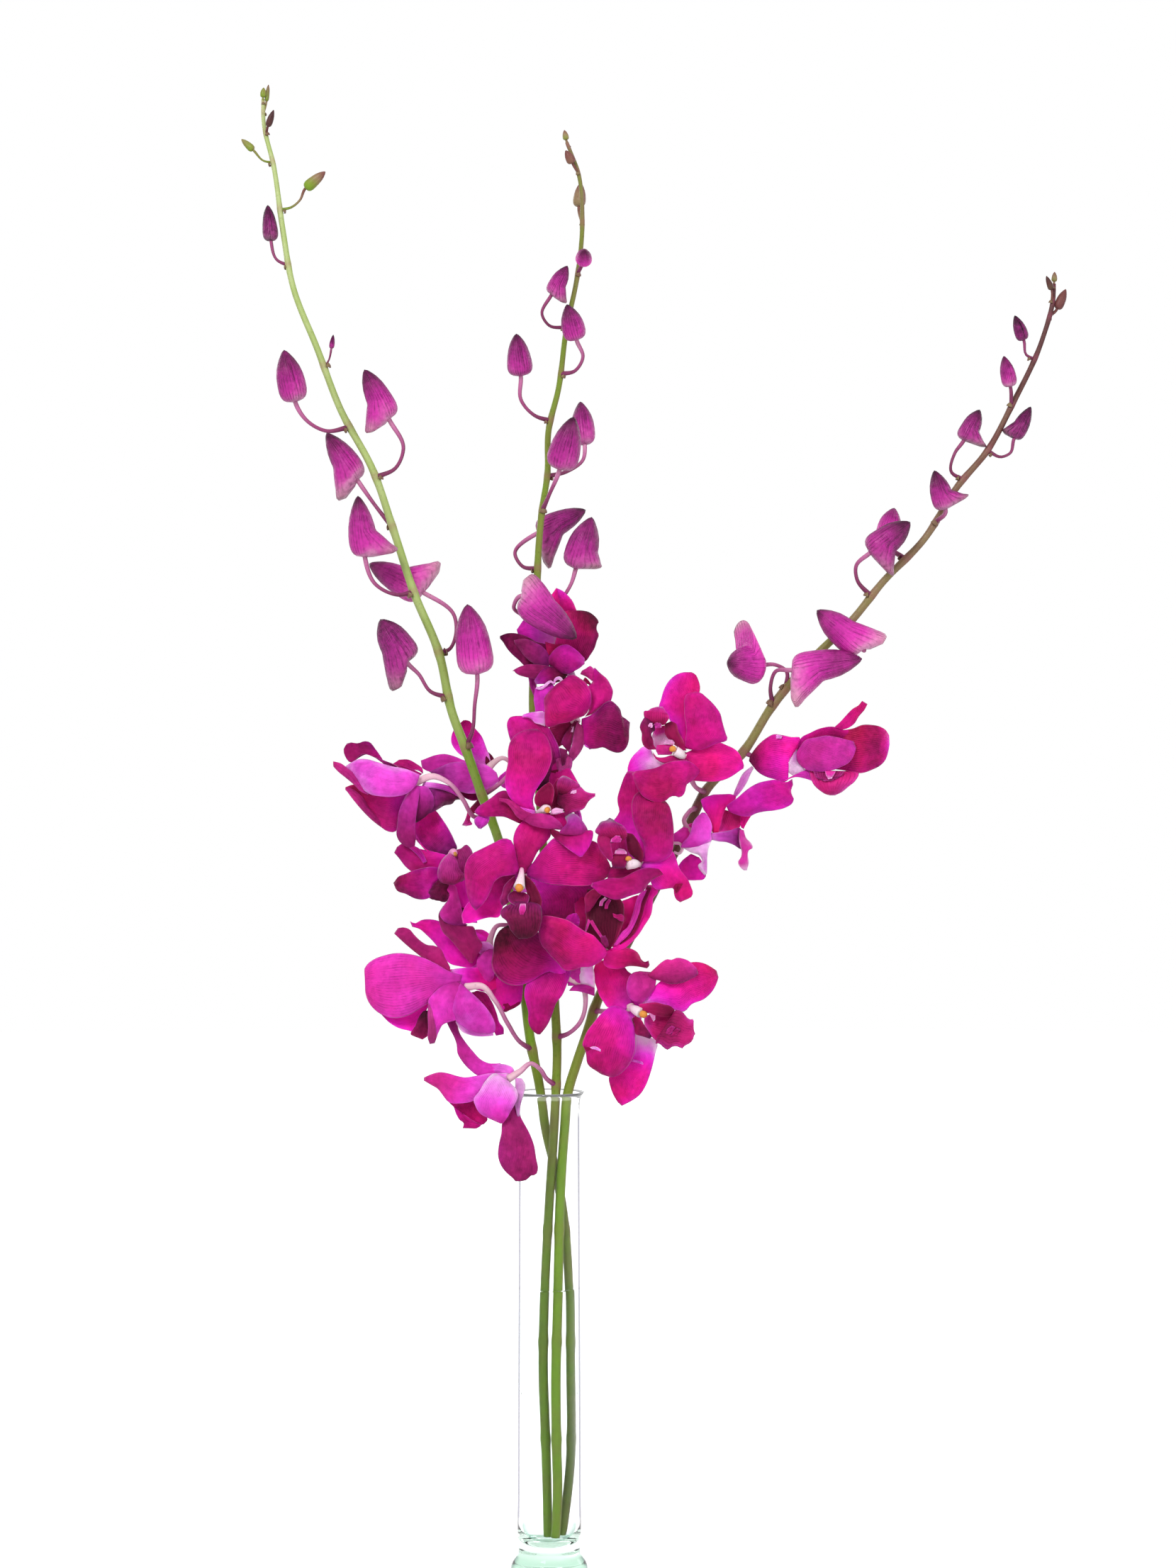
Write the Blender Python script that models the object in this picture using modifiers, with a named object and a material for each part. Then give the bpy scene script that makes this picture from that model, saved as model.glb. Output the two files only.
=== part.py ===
"""Dendrobium orchid in a vase: three flowering stems in a slim clear glass vase with water.

Places are given as they are seen from the front. A place is x and z in millimetres in the
upright plane through the vase's axis, and a depth behind that plane along the line of sight.
"""

import math

import bmesh
import bpy
from mathutils import Matrix, Vector

MM = 0.001

# The eye that the seen places are given from, in millimetres
EYE = Vector((19.1, -1750.0, 395.2))

# Vase, in millimetres
VASE_HEIGHT = 243.8
FOOT_RADIUS = 19.0
TUBE_RADIUS = 15.2
WALL = 1.4
FLOOR = 19.5
VASE_SIDES = 24

# Water, in millimetres
WATER_LEVEL = 146.0
CLEAR = 0.35

# Petals and lips, in millimetres
PETAL_THICKNESS = 0.8
LIP_THICKNESS = 0.9
PETAL_STEPS = 4
NARROW_PETAL = 19.0
HEART_RADIUS = 3.6
ROOT_START = 2.4
STALK_END = 0.8
STALK_RADIUS = 1.1
OVARY_RADII = [1.5, 2.0]
LIP_STEPS = 4
LIP_THROAT = 0.72

# Width from which a bud gets its full count of faces, in millimetres
LARGE_BUD = 7.0
LARGE_BUD_FACES = (5, 6)
SMALL_BUD_FACES = (3, 5)
SHARP_ANGLE = math.radians(50.0)

# Depth in millimetres that each stem gains from LEAN_FROM to LEAN_FROM + LEAN_OVER
LEAN = {"left": 46.0, "middle": -36.0, "right": 34.0}
LEAN_FROM = 460.0
LEAN_OVER = 285.0

# Half-width of a blade along its length: share at the root, slowness of its widening,
# place of the widest point, fullness of the far end and share at the very tip
FORMS = {
    "sepal": (0.28, 1.6, 0.46, 1.7, 0.16),
    "petal": (0.20, 1.8, 0.58, 2.6, 0.30),
    "round": (0.18, 2.3, 0.56, 3.4, 0.42),
}

# Stems from the cut end to the top: x, z, depth and radius
STEMS = {
    "left": (
        (6.2, 23.4, 2.6, 2.2), (8.9, 62.0, 2.8, 2.3), (10.1, 110.0, 3.0, 2.3), (9.9, 150.0, 3.6, 2.3),
        (8.1, 183.0, 4.4, 2.3), (3.5, 203.0, 4.6, 2.3), (-1.6, 224.0, 4.4, 2.3), (-4.6, 245.0, 4.0, 2.3),
        (-9.4, 269.5, 3.0, 2.4), (-12.6, 296.7, 2.0, 2.4), (-18.5, 335.0, 2.0, 2.4), (-25.0, 367.5, 3.0, 2.3),
        (-33.3, 390.0, 4.0, 2.3), (-41.0, 412.0, 4.0, 2.3), (-47.8, 430.0, 3.0, 2.2), (-54.5, 460.0, 1.0, 2.1),
        (-66.5, 489.0, -1.0, 2.0), (-76.7, 520.0, -3.0, 1.9), (-87.0, 550.0, -5.0, 1.8), (-103.0, 580.0, -6.0, 1.7),
        (-114.5, 610.0, -7.0, 1.6), (-126.3, 640.0, -8.0, 1.5), (-131.7, 670.0, -8.0, 1.4),
        (-136.0, 700.0, -8.0, 1.2), (-141.0, 722.0, -8.0, 1.0), (-141.3, 733.0, -8.0, 0.8),
    ),
    "middle": (
        (-2.2, 22.0, 3.0, 2.2), (-2.1, 42.0, 3.0, 2.2), (-2.6, 80.0, 2.0, 2.3), (-2.8, 102.0, 0.5, 2.3),
        (-2.3, 141.0, -1.0, 2.2), (0.0, 188.0, -1.5, 2.2), (2.3, 224.0, -1.4, 2.2), (3.3, 243.6, -1.0, 2.2),
        (3.9, 262.0, -0.5, 2.2), (2.9, 285.0, 0.0, 2.2), (-0.4, 330.0, 1.0, 2.1), (-4.5, 385.0, 2.0, 2.0),
        (-8.2, 435.0, 2.0, 1.9), (-6.0, 480.0, 3.0, 1.8), (-5.6, 505.0, 4.0, 1.7), (-3.3, 532.0, 5.0, 1.6),
        (-1.0, 547.0, 6.0, 1.5), (-0.3, 570.0, 7.0, 1.5), (4.5, 590.0, 8.0, 1.4), (8.5, 620.0, 9.0, 1.3),
        (13.7, 645.0, 10.0, 1.2), (16.3, 672.0, 10.0, 1.1), (14.3, 697.0, 10.0, 0.95), (8.6, 712.0, 10.0, 0.8),
    ),
    "right": (
        (-0.8, 22.0, -3.0, 2.2), (1.5, 46.0, -3.0, 2.3), (2.5, 70.0, -3.0, 2.3), (3.2, 102.0, -2.6, 2.3),
        (3.9, 132.0, -2.2, 2.3), (4.6, 159.0, -1.8, 2.3), (5.3, 188.0, -1.5, 2.3), (7.5, 224.0, -1.3, 2.3),
        (9.4, 243.6, -1.0, 2.4), (13.3, 256.6, -0.6, 2.4), (18.5, 272.0, 0.0, 2.4), (23.6, 287.6, 0.5, 2.4),
        (39.3, 318.0, 2.0, 2.4), (54.9, 348.0, 3.0, 2.3), (70.4, 378.0, 4.0, 2.3), (75.7, 389.5, 4.0, 2.2),
        (96.6, 412.0, 3.0, 2.2), (109.8, 433.2, 2.0, 2.1), (130.0, 457.0, 0.0, 2.0), (149.6, 476.2, -2.0, 1.9),
        (164.6, 494.8, -3.0, 1.8), (184.6, 515.5, -4.0, 1.7), (202.0, 542.7, -5.0, 1.6), (217.5, 558.4, -6.0, 1.5),
        (228.6, 581.2, -7.0, 1.4), (242.5, 614.8, -8.0, 1.2), (248.9, 636.3, -8.0, 1.0), (249.2, 642.0, -8.0, 0.8),
    ),
}


def bud(node, via, foot, tip, width, depth, tip_depth, chin=None):
    """A bud: height of its node on the stem, its stalk's bends, foot and tip, width and depths."""
    return dict(node=node, via=via, foot=foot, tip=tip, width=width, depth=depth, tip_depth=tip_depth, chin=chin)


BUDS = {
    "left": (
        bud(731.0, (), (-141.3, 734.0), (-141.0, 739.0), 3.0, -8, -8),
        bud(726.0, (), (-139.6, 732.0), (-138.6, 740.5), 2.4, -6, -5),
        bud(716.0, (), (-139.0, 719.5), (-136.0, 728.0), 3.4, -11, -12),
        bud(702.0, ((-141.0, 702.8),), (-146.0, 708.0), (-152.0, 713.5), 3.6, -7, -6),
        bud(678.5, ((-127.0, 680.0), (-123.0, 683.5)), (-120.5, 689.0), (-110.5, 697.5), 5.6, -9, -12),
        bud(651.0, ((-134.5, 654.0),), (-137.3, 663.0), (-139.0, 681.0), 8.0, -4, -2),
        bud(571.5, ((-110.0, 569.5), (-119.0, 574.0)), (-125.3, 583.5), (-131.0, 609.5), 14.0, -12, -16),
        bud(546.5, ((-76.0, 551.0), (-72.0, 561.0)), (-77.5, 575.0), (-90.5, 600.0), 14.0, -14, -18, (-86.0, 566.0)),
        bud(522.0, ((-86.0, 528.0),), (-93.0, 545.0), (-108.0, 569.0), 15.0, 4, 6, (-101.0, 532.0)),
        bud(490.0, ((-75.0, 488.6), (-86.0, 494.0)), (-91.0, 507.0), (-94.5, 537.5), 13.5, -14, -18, (-76.0, 506.0)),
        bud(464.5, ((-47.5, 468.0), (-46.5, 478.0)), (-60.0, 491.0), (-88.0, 505.5), 13.5, 13, 18, (-51.0, 502.0)),
        bud(413.0, ((-38.0, 421.0), (-36.8, 434.0)), (-35.5, 449.0), (-40.5, 484.0), 19.0, -8, -12),
        bud(438.0, ((-59.0, 441.0),), (-70.0, 455.0), (-83.5, 476.5), 18.0, -6, -10, (-73.5, 437.0)),
    ),
    "middle": (
        bud(710.0, (), (8.4, 713.0), (7.4, 718.0), 3.0, 10, 10),
        bud(697.0, (), (11.5, 701.5), (8.0, 708.0), 4.4, 7, 5),
        bud(672.0, (), (14.6, 680.0), (15.5, 692.0), 6.3, 15, 17),
        bud(647.0, (), (16.8, 653.0), (17.4, 658.5), 8.0, 4, -6),
        bud(620.5, ((0.0, 621.5), (-3.6, 627.0)), (-0.6, 636.0), (8.3, 651.0), 8.5, 4, 0, (5.5, 631.5)),
        bud(597.5, ((12.5, 599.0), (16.6, 606.0)), (13.5, 614.0), (8.7, 632.0), 11.5, -4, -8),
        bud(574.5, ((-7.0, 577.0), (-14.0, 585.0)), (-15.0, 596.5), (-16.3, 617.5), 12.0, 3, 0),
        bud(547.0, ((9.0, 549.5), (16.5, 555.0)), (17.5, 562.5), (15.3, 584.0), 12.0, 18, 22),
        bud(530.0, ((0.0, 538.0),), (5.0, 550.0), (12.0, 576.5), 15.0, -10, -16),
        bud(501.5, ((-13.0, 502.5), (-17.0, 509.0)), (-6.0, 519.0), (18.0, 530.5), 12.5, 16, 20, (-2.5, 502.0)),
        bud(484.0, ((4.0, 488.0),), (13.0, 501.0), (21.0, 527.0), 16.0, 3, 0),
        bud(481.0, ((-12.0, 478.5), (-17.5, 482.0)), (-13.0, 491.0), (14.0, 469.5), 18.0, -20, -27, (-15.0, 498.0)),
    ),
    "right": (
        bud(640.0, (), (249.2, 643.0), (249.4, 648.0), 2.8, -8, -8),
        bud(633.0, (), (248.0, 639.0), (245.3, 646.0), 3.0, -10, -11),
        bud(625.5, (), (250.6, 629.5), (255.0, 639.5), 5.0, -6, -5),
        bud(605.0, ((235.5, 607.0),), (234.3, 614.0), (229.7, 626.5), 6.5, -9, -10),
        bud(581.6, (), (227.7, 591.0), (224.3, 606.5), 8.0, -12, -14),
        bud(559.8, ((223.0, 556.6), (227.5, 558.5)), (229.4, 565.5), (237.7, 581.5), 8.2, -7, -6, (224.0, 567.6)),
        bud(545.5, ((198.6, 549.0), (199.2, 557.5)), (204.5, 564.5), (212.5, 580.0), 10.0, -5, -4, (214.5, 561.0)),
        bud(524.0, (), (195.7, 530.5), (190.0, 550.0), 10.2, -13, -16, (205.5, 537.5)),
        bud(506.2, (), (166.0, 516.0), (170.3, 531.5), 12.0, 9, 12),
        bud(487.8, ((152.0, 496.0), (151.5, 503.0)), (158.0, 509.0), (178.2, 524.5), 14.0, -12, -16, (167.0, 498.0)),
        bud(470.0, (), (150.5, 466.0), (134.0, 483.8), 14.0, -13, -16, (167.0, 466.0)),
        bud(434.0, ((109.2, 443.0), (112.0, 451.0)), (121.0, 453.5), (154.5, 458.6), 15.5, -14, -20, (122.5, 434.0)),
        bud(441.0, ((117.0, 451.0), (111.0, 454.2)), (104.0, 453.8), (89.5, 456.0), 17.5, 2, -8, (95.5, 477.0)),
    ),
}


def blade(form, x, z, depth, width, arch=0.08, sway=0.0, turn=0.0, cup=0.35, root=None):
    """A petal or sepal: form, tip place, width, bulge towards the face, sideways bend, turn and cup."""
    return dict(form=form, tip=(x, z, depth), width=width, arch=arch, sway=sway, turn=turn, cup=cup, root=root)


BLOOMS = {
    "left_1": dict(
        stem="left", node=389.5, heart=(-27, 400, 16), look=(-0.3, 0.95, 0.1),
        stalk=((-24.0, 394.5, 9), (-20.5, 400.0, 13), (-21.5, 405.5, 15)),
        blades=(
            blade("sepal", -44, 426, 20, 16),
            blade("sepal", -63, 405, 24, 10),
            blade("petal", -61, 398, 15, 15),
            blade("petal", -6, 405, 30, 14),
            blade("sepal", -47, 388, 13, 8),
        ),
        lip=(-41, 376, 25, 9),
        lip_root=(-29.6, 397.3, 19.8),
    ),
    "left_2": dict(
        stem="left", node=379.5, heart=(-66, 396, -12), look=(-0.6, 0.75, -0.3),
        stalk=((-37.0, 379.0, -3), (-43.0, 388.0, -9), (-50.0, 397.5, -14), (-57.0, 401.0, -15)),
        blades=(
            blade("petal", -105, 405, -18, 17),
            blade("petal", -97, 416, 6, 14),
            blade("round", -88, 376, 0, 25),
            blade("sepal", -68, 363, -17, 10),
            blade("petal", -50, 383, -17, 20),
            blade("sepal", -76, 406, 4, 7),
        ),
    ),
    "left_3": dict(
        stem="left", node=345.0, heart=(-50, 357, -14), look=(0.25, -0.95, 0.1),
        stalk=((-27.0, 349.0, -4), (-40.0, 356.0, -9)),
        blades=(
            blade("petal", -63, 382, 4, 19),
            blade("sepal", -76, 361.5, -8, 9),
            blade("petal", -77, 344, -16, 17),
            blade("sepal", -38.5, 307.5, -14, 16, sway=0.09),
            blade("petal", -24, 356, -6, 15),
        ),
        lip=(-47, 346, -27, 15),
        lip_root=(-48.4, 360.2, -17.0),
    ),
    "left_4": dict(
        stem="left", node=264.0, heart=(-41, 295, -24), look=(-0.35, 0.9, -0.2),
        stalk=((-14.5, 269.5, -5), (-21.0, 278.5, -13), (-27.0, 289.0, -21), (-33.5, 295.5, -25)),
        blades=(
            blade("round", -91, 301, -20, 31),
            blade("petal", -77, 276.5, -27, 17),
            blade("sepal", -75.5, 322, -14, 10),
            blade("petal", -57, 270, -27, 16),
            blade("petal", -27, 272.5, -24, 16),
            blade("sepal", -23, 272, -12, 9),
        ),
        lip=(-62, 269.5, 0, 13),
        lip_root=(-42.6, 293.2, -20.5),
    ),
    "left_5": dict(
        stem="left", node=325.0, heart=(-30, 310, -7), look=(-0.2, -0.9, 0.2),
        stalk=((-21.0, 325.6, -2), (-26.0, 325.0, -6), (-29.0, 319.0, -7)),
        blades=(
            blade("petal", -68, 326, -3, 14),
            blade("petal", -15.5, 285.5, -5, 19),
            blade("sepal", -49, 303, -8, 7),
            blade("sepal", -37, 323, 2, 8),
            blade("sepal", -20, 322, 8, 10),
        ),
    ),
    "middle_1": dict(
        stem="middle", node=451.0, heart=(1, 462, -7), look=(0.0, -1.0, 0.1),
        stalk=((-3.0, 455.0, -4),),
        blades=(
            blade("sepal", 4, 492, -5, 13),
            blade("round", 24.5, 471, -8, 22),
            blade("petal", -25, 468, -5, 14),
            blade("sepal", -17, 451.5, -9, 10),
            blade("sepal", 17, 454.5, -12, 12),
        ),
    ),
    "middle_2": dict(
        stem="middle", node=420.0, heart=(14, 427, -16), look=(0.1, -0.95, 0.2),
        stalk=((0.0, 421.5, -5),),
        blades=(
            blade("round", -2, 440, -23, 24),
            blade("petal", 22, 453.5, -14, 17),
            blade("round", 40, 419, -15, 25),
            blade("sepal", -9, 440, -8, 12),
            blade("sepal", 14, 407, -9, 8),
        ),
        lip=(5, 398, -23, 11),
        lip_root=(12.8, 422.7, -17.4),
    ),
    "middle_3": dict(
        stem="middle", node=372.0, heart=(-9, 383, -30), look=(0.3, -0.9, -0.2),
        stalk=((-6.0, 375.5, -10),),
        blades=(
            blade("round", -8.5, 423, -30, 22),
            blade("petal", -17, 428, -16, 19),
            blade("sepal", -35.5, 381, -25, 15, sway=0.05),
            blade("sepal", 8, 373, -40, 8, turn=50),
            blade("petal", 18, 361, -44, 14),
        ),
        lip=(22.5, 389.5, -36, 20),
        lip_root=(-4.5, 389.2, -31.8),
        column=(0.5, 382.6, -35.5, 4.8),
    ),
    "middle_4": dict(
        stem="middle", node=338.0, heart=(-13, 350, -34), look=(0.0, -1.0, 0.0),
        stalk=((-6.0, 343.0, -12),),
        blades=(
            blade("petal", -8, 378, -30, 18),
            blade("round", -42, 345, -37, 31),
            blade("round", 31, 354, -32, 24),
            blade("sepal", -43, 326.5, -32, 17),
            blade("sepal", 19, 331, -28, 19),
        ),
        lip=(-12.5, 319.5, -50, 20),
        lip_root=(-13.0, 344.2, -35.2),
        column=(-14, 344.4, -43.5, 6.0),
    ),
    "middle_5": dict(
        stem="middle", node=305.0, heart=(29, 314, -26), look=(0.1, -0.9, 0.4),
        stalk=((10.0, 308.0, -7), (22.0, 312.0, -15)),
        blades=(
            blade("round", -5, 321, -40, 27),
            blade("petal", 53, 345, -16, 15, cup=0.9),
            blade("sepal", 49, 306.5, -24, 9),
            blade("sepal", 12, 336, -17, 14),
        ),
        lip=(27, 340, -37, 18),
        lip_root=(30.2, 318.6, -29.5),
        column=(25.2, 319, -33, 4.6),
    ),
    "middle_6": dict(
        stem="middle", node=270.0, heart=(9, 300, -18), look=(-0.2, -0.95, -0.1),
        stalk=((9.5, 272.0, -5), (15.2, 277.5, -9), (17.8, 286.0, -13), (16.5, 295.0, -16)),
        blades=(
            blade("round", -27.5, 313, -24, 28),
            blade("petal", -6.5, 271.5, -22, 15),
            blade("sepal", 12, 331, -15, 12),
            blade("sepal", 24, 292, -15, 10),
        ),
    ),
    "middle_7": dict(
        stem="middle", node=246.5, heart=(-20.5, 249.5, -15), look=(-0.15, -0.95, -0.15),
        stalk=((-1.5, 250.0, -6), (-4.5, 254.5, -9), (-9.0, 257.3, -11), (-14.5, 253.3, -13.5)),
        blades=(
            blade("round", -29, 229.5, -25, 21),
            blade("petal", -61.5, 249.5, -12, 14, sway=-0.08),
            blade("sepal", -42, 226, -9, 15),
            blade("sepal", -47.5, 276.5, -17, 9, sway=-0.15),
            blade("round", -13, 200, -21, 18),
            blade("sepal", -15, 232, -17, 6),
        ),
    ),
    "right_1": dict(
        stem="right", node=411.0, heart=(121, 404, -6), look=(0.2, -0.95, -0.1),
        stalk=((101.0, 408.5, 2), (111.0, 405.5, 0)),
        blades=(
            blade("sepal", 99, 410, -8, 25),
            blade("round", 152, 411, -24, 19),
            blade("petal", 168.5, 415, -3, 24),
            blade("petal", 147, 423, 2, 12),
            blade("sepal", 156.5, 435.5, 6, 6),
        ),
        lip=(143, 390.5, -16, 20),
        lip_root=(125.0, 399.6, -7.6),
    ),
    "right_2": dict(
        stem="right", node=391.0, heart=(66, 410, -26), look=(-0.45, -0.85, 0.15),
        stalk=((72.0, 394.0, -7), (69.5, 399.0, -16)),
        blades=(
            blade("petal", 68, 450.5, -20, 23),
            blade("round", 82, 437, -32, 23, sway=0.07),
            blade("petal", 96.5, 405, -22, 20),
            blade("round", 50, 387, -40, 27),
            blade("sepal", 38.5, 402, -26, 14),
        ),
        lip=(45, 424, -42, 21),
        lip_root=(62.0, 413.0, -27.9),
        column=(60, 412.6, -36, 5.0),
    ),
    "right_3": dict(
        stem="right", node=383.5, heart=(80, 372, -8), look=(0.5, -0.8, 0.2),
        stalk=((69.0, 381.5, -4), (66.5, 377.0, -8), (70.0, 372.0, -9)),
        blades=(
            blade("petal", 120.5, 390, -8, 15, sway=-0.13),
            blade("petal", 83, 391, -13, 17),
            blade("sepal", 100, 403.5, -4, 6),
            blade("sepal", 61, 367, -12, 15),
            blade("sepal", 70, 348.5, -14, 15),
        ),
        lip=(98, 361, -22, 14),
        lip_root=(83.5, 371.1, -10.6),
    ),
    "right_4": dict(
        stem="right", node=350.0, heart=(44, 356, -34), look=(-0.35, -0.9, 0.15),
        stalk=((53.0, 352.5, -12),),
        blades=(
            blade("round", 53, 393, -29, 24, sway=0.05),
            blade("sepal", 36, 400, -15, 14),
            blade("petal", 69, 341, -32, 13),
            blade("sepal", 21, 343.5, -44, 17),
        ),
        lip=(23.5, 372, -50, 18),
        lip_root=(40.2, 359.2, -35.6),
        column=(37.5, 357.5, -43, 6.5),
    ),
    "right_5": dict(
        stem="right", node=283.0, heart=(41, 285, -24), look=(0.45, -0.85, -0.1),
        stalk=((27.5, 283.0, -7),),
        blades=(
            blade("round", 25, 309, -33, 18),
            blade("round", 25, 250.5, -30, 26),
            blade("petal", 37.5, 237.5, -20, 20, sway=-0.06),
            blade("petal", 84, 301, -14, 20),
            blade("petal", 76, 306, -32, 17, sway=-0.06),
        ),
        lip=(68.5, 269.5, -38, 22),
        lip_root=(46.0, 282.4, -25.5),
        column=(47.5, 281.5, -33, 6),
    ),
}


def clear_scene():
    """Remove what the scene starts with."""
    for old in list(bpy.data.objects):
        bpy.data.objects.remove(old, do_unlink=True)


def make_collection(name):
    """A collection in the scene."""
    group = bpy.data.collections.new(name)
    bpy.context.scene.collection.children.link(group)
    return group


def make_material(name, colour, roughness, metallic=0.0):
    """A Principled material in one colour."""
    material = bpy.data.materials.new(name)
    material.use_nodes = True
    shader = material.node_tree.nodes["Principled BSDF"]
    shader.inputs["Base Color"].default_value = (*colour, 1.0)
    shader.inputs["Roughness"].default_value = roughness
    shader.inputs["Metallic"].default_value = metallic
    material.diffuse_color = (*colour, 1.0)
    return material


def seen(x, z, depth):
    """The point seen at x, z from the front, at a depth behind the vase's plane, in metres."""
    slide = (depth - EYE.y) / -EYE.y
    return Vector((EYE.x + (x - EYE.x) * slide, depth, EYE.z + (z - EYE.z) * slide)) * MM


def smooth(mesh):
    """Shade a mesh smooth, but for its sharp edges."""
    mesh.shade_smooth()
    mesh.set_sharp_from_angle(angle=SHARP_ANGLE)


def add_object(name, mesh, group):
    """An object for a mesh in a collection."""
    thing = bpy.data.objects.new(name, mesh)
    group.objects.link(thing)
    return thing


def finished_mesh(thing):
    """The evaluated mesh of an object in world space, with doubled cap corners welded."""
    bpy.context.view_layer.update()
    evaluated = thing.evaluated_get(bpy.context.evaluated_depsgraph_get())
    mesh = bpy.data.meshes.new_from_object(evaluated)
    mesh.transform(thing.matrix_world)
    shape = bmesh.new()
    shape.from_mesh(mesh)
    bmesh.ops.remove_doubles(shape, verts=shape.verts, dist=1e-6)
    bmesh.ops.triangulate(shape, faces=[f for f in shape.faces if len(f.verts) > 3])
    shape.to_mesh(mesh)
    shape.free()
    return mesh


def tube(points, radii, sides_step, group):
    """A closed tube through points, as thick as the radii say, with 4 + 2 * sides_step sides."""
    curve = bpy.data.curves.new("tube", "CURVE")
    curve.dimensions = "3D"
    curve.bevel_depth = MM
    curve.bevel_resolution = sides_step
    curve.use_fill_caps = True
    spline = curve.splines.new("POLY")
    spline.points.add(len(points) - 1)
    for knot, point, radius in zip(spline.points, points, radii):
        knot.co = (*point, 1.0)
        knot.radius = radius
    guide = add_object("tube", curve, group)
    mesh = finished_mesh(guide)
    bpy.data.objects.remove(guide, do_unlink=True)
    return add_object("tube", mesh, group)


def outline(form, t):
    """Share of a blade's half-width at t along it, from 0 at the root to 1 at the tip."""
    root, slowness, peak, fullness, end = FORMS[form]
    if t < peak:
        return root + (1.0 - root) * math.sin(0.5 * math.pi * t / peak) ** slowness
    return end + (1.0 - end) * (1.0 - ((t - peak) / (1.0 - peak)) ** fullness)


def lip_outline(t):
    """Share of a lip's half-width: a claw, two side lobes, a waist and a broad front lobe."""
    claw = 0.22 + 0.62 * math.sin(math.pi * min(t / 0.7, 1.0)) ** 1.6
    front = 1.0 - abs((t - 0.80) / 0.26) ** 2.4 if abs(t - 0.80) < 0.26 else 0.0
    return max(claw, 0.5 * min(t / 0.6, 1.0) ** 2 + 0.5 * front) * (1.0 if t < 0.97 else 0.62)


def lay_blade(root, tip, look, spec, share_at, cup_at, place):
    """The point of a blade at t along and v across it, on a bent midrib with a cupped section."""
    t, v = place
    along = tip - root
    length = along.length
    along.normalize()
    face = (look - look.dot(along) * along).normalized()
    face = Matrix.Rotation(math.radians(spec["turn"]), 3, along) @ face
    side = along.cross(face)
    middle = (root + tip) / 2 + 2.0 * length * (spec["arch"] * face + spec["sway"] * side)
    point = (1 - t) ** 2 * root + 2 * t * (1 - t) * middle + t * t * tip
    run = (2 * (1 - t) * (middle - root) + 2 * t * (tip - middle)).normalized()
    out = (face - face.dot(run) * run).normalized()
    across = run.cross(out)
    half = 0.5 * spec["width"] * MM * share_at(t)
    bend = cup_at(t)
    return point + across * half * math.sin(bend * v) / bend + out * half * (1 - math.cos(bend * v)) / bend


def sheet(lay, across, thickness, group):
    """A thin closed blade: a triangulated grid laid by a formula and given its thickness."""
    shape = bmesh.new()
    bmesh.ops.create_grid(shape, x_segments=PETAL_STEPS, y_segments=across, size=1.0)
    for corner in shape.verts:
        corner.co = lay(((corner.co.x + 1.0) / 2.0, corner.co.y))
    bmesh.ops.triangulate(shape, faces=shape.faces[:])
    mesh = bpy.data.meshes.new("sheet")
    shape.to_mesh(mesh)
    shape.free()
    thing = add_object("sheet", mesh, group)
    solid = thing.modifiers.new("thickness", "SOLIDIFY")
    solid.thickness = thickness * MM
    solid.offset = 0.0
    thick = add_object("sheet", finished_mesh(thing), group)
    bpy.data.objects.remove(thing, do_unlink=True)
    return thick


def petal(root, look, spec, group):
    """One petal or sepal as a closed blade."""
    tip = seen(*spec["tip"])
    start = seen(*spec["root"]) if spec["root"] else root + (tip - root).normalized() * ROOT_START * MM
    across = 2 if spec["width"] < NARROW_PETAL else 3
    return sheet(
        lambda place: lay_blade(start, tip, look, spec, lambda t: outline(spec["form"], t),
                                lambda t: spec["cup"], place),
        across, PETAL_THICKNESS, group)


def bud_solid(foot, tip, width, chin, group):
    """A bud: a drop from foot to tip with a chin that bulges at its foot."""
    rings, sides = LARGE_BUD_FACES if width > LARGE_BUD else SMALL_BUD_FACES
    shape = bmesh.new()
    bmesh.ops.create_uvsphere(shape, u_segments=sides, v_segments=rings, radius=1.0)
    axis = (tip - foot).normalized()
    length = (tip - foot).length
    side = axis.orthogonal().normalized() if chin is None else (chin - foot).normalized()
    side = (side - side.dot(axis) * axis).normalized()
    other = axis.cross(side)
    for corner in shape.verts:
        t = (corner.co.z + 1.0) / 2.0
        girth = 0.5 * width * MM * math.sin(math.pi * t ** 0.8) ** 0.75 if 0.0 < t < 1.0 else 0.0
        flat = Vector((corner.co.x, corner.co.y, 0.0))
        flat = flat.normalized() if flat.length > 1e-6 else flat
        point = foot + axis * length * t + (side * flat.x + other * flat.y) * girth
        if chin is not None:
            pull = max(0.0, flat.x) * max(0.0, 1.0 - t / 0.45)
            point += (chin - foot) * 0.75 * pull
        corner.co = point
    mesh = bpy.data.meshes.new("bud")
    bmesh.ops.triangulate(shape, faces=shape.faces[:])
    shape.to_mesh(mesh)
    shape.free()
    return add_object("bud", mesh, group)


def ball(centre, radius, group):
    """A small round core that the petals grow from."""
    shape = bmesh.new()
    bmesh.ops.create_icosphere(shape, subdivisions=1, radius=radius * MM, matrix=Matrix.Translation(centre))
    mesh = bpy.data.meshes.new("ball")
    shape.to_mesh(mesh)
    shape.free()
    return add_object("ball", mesh, group)


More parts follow.
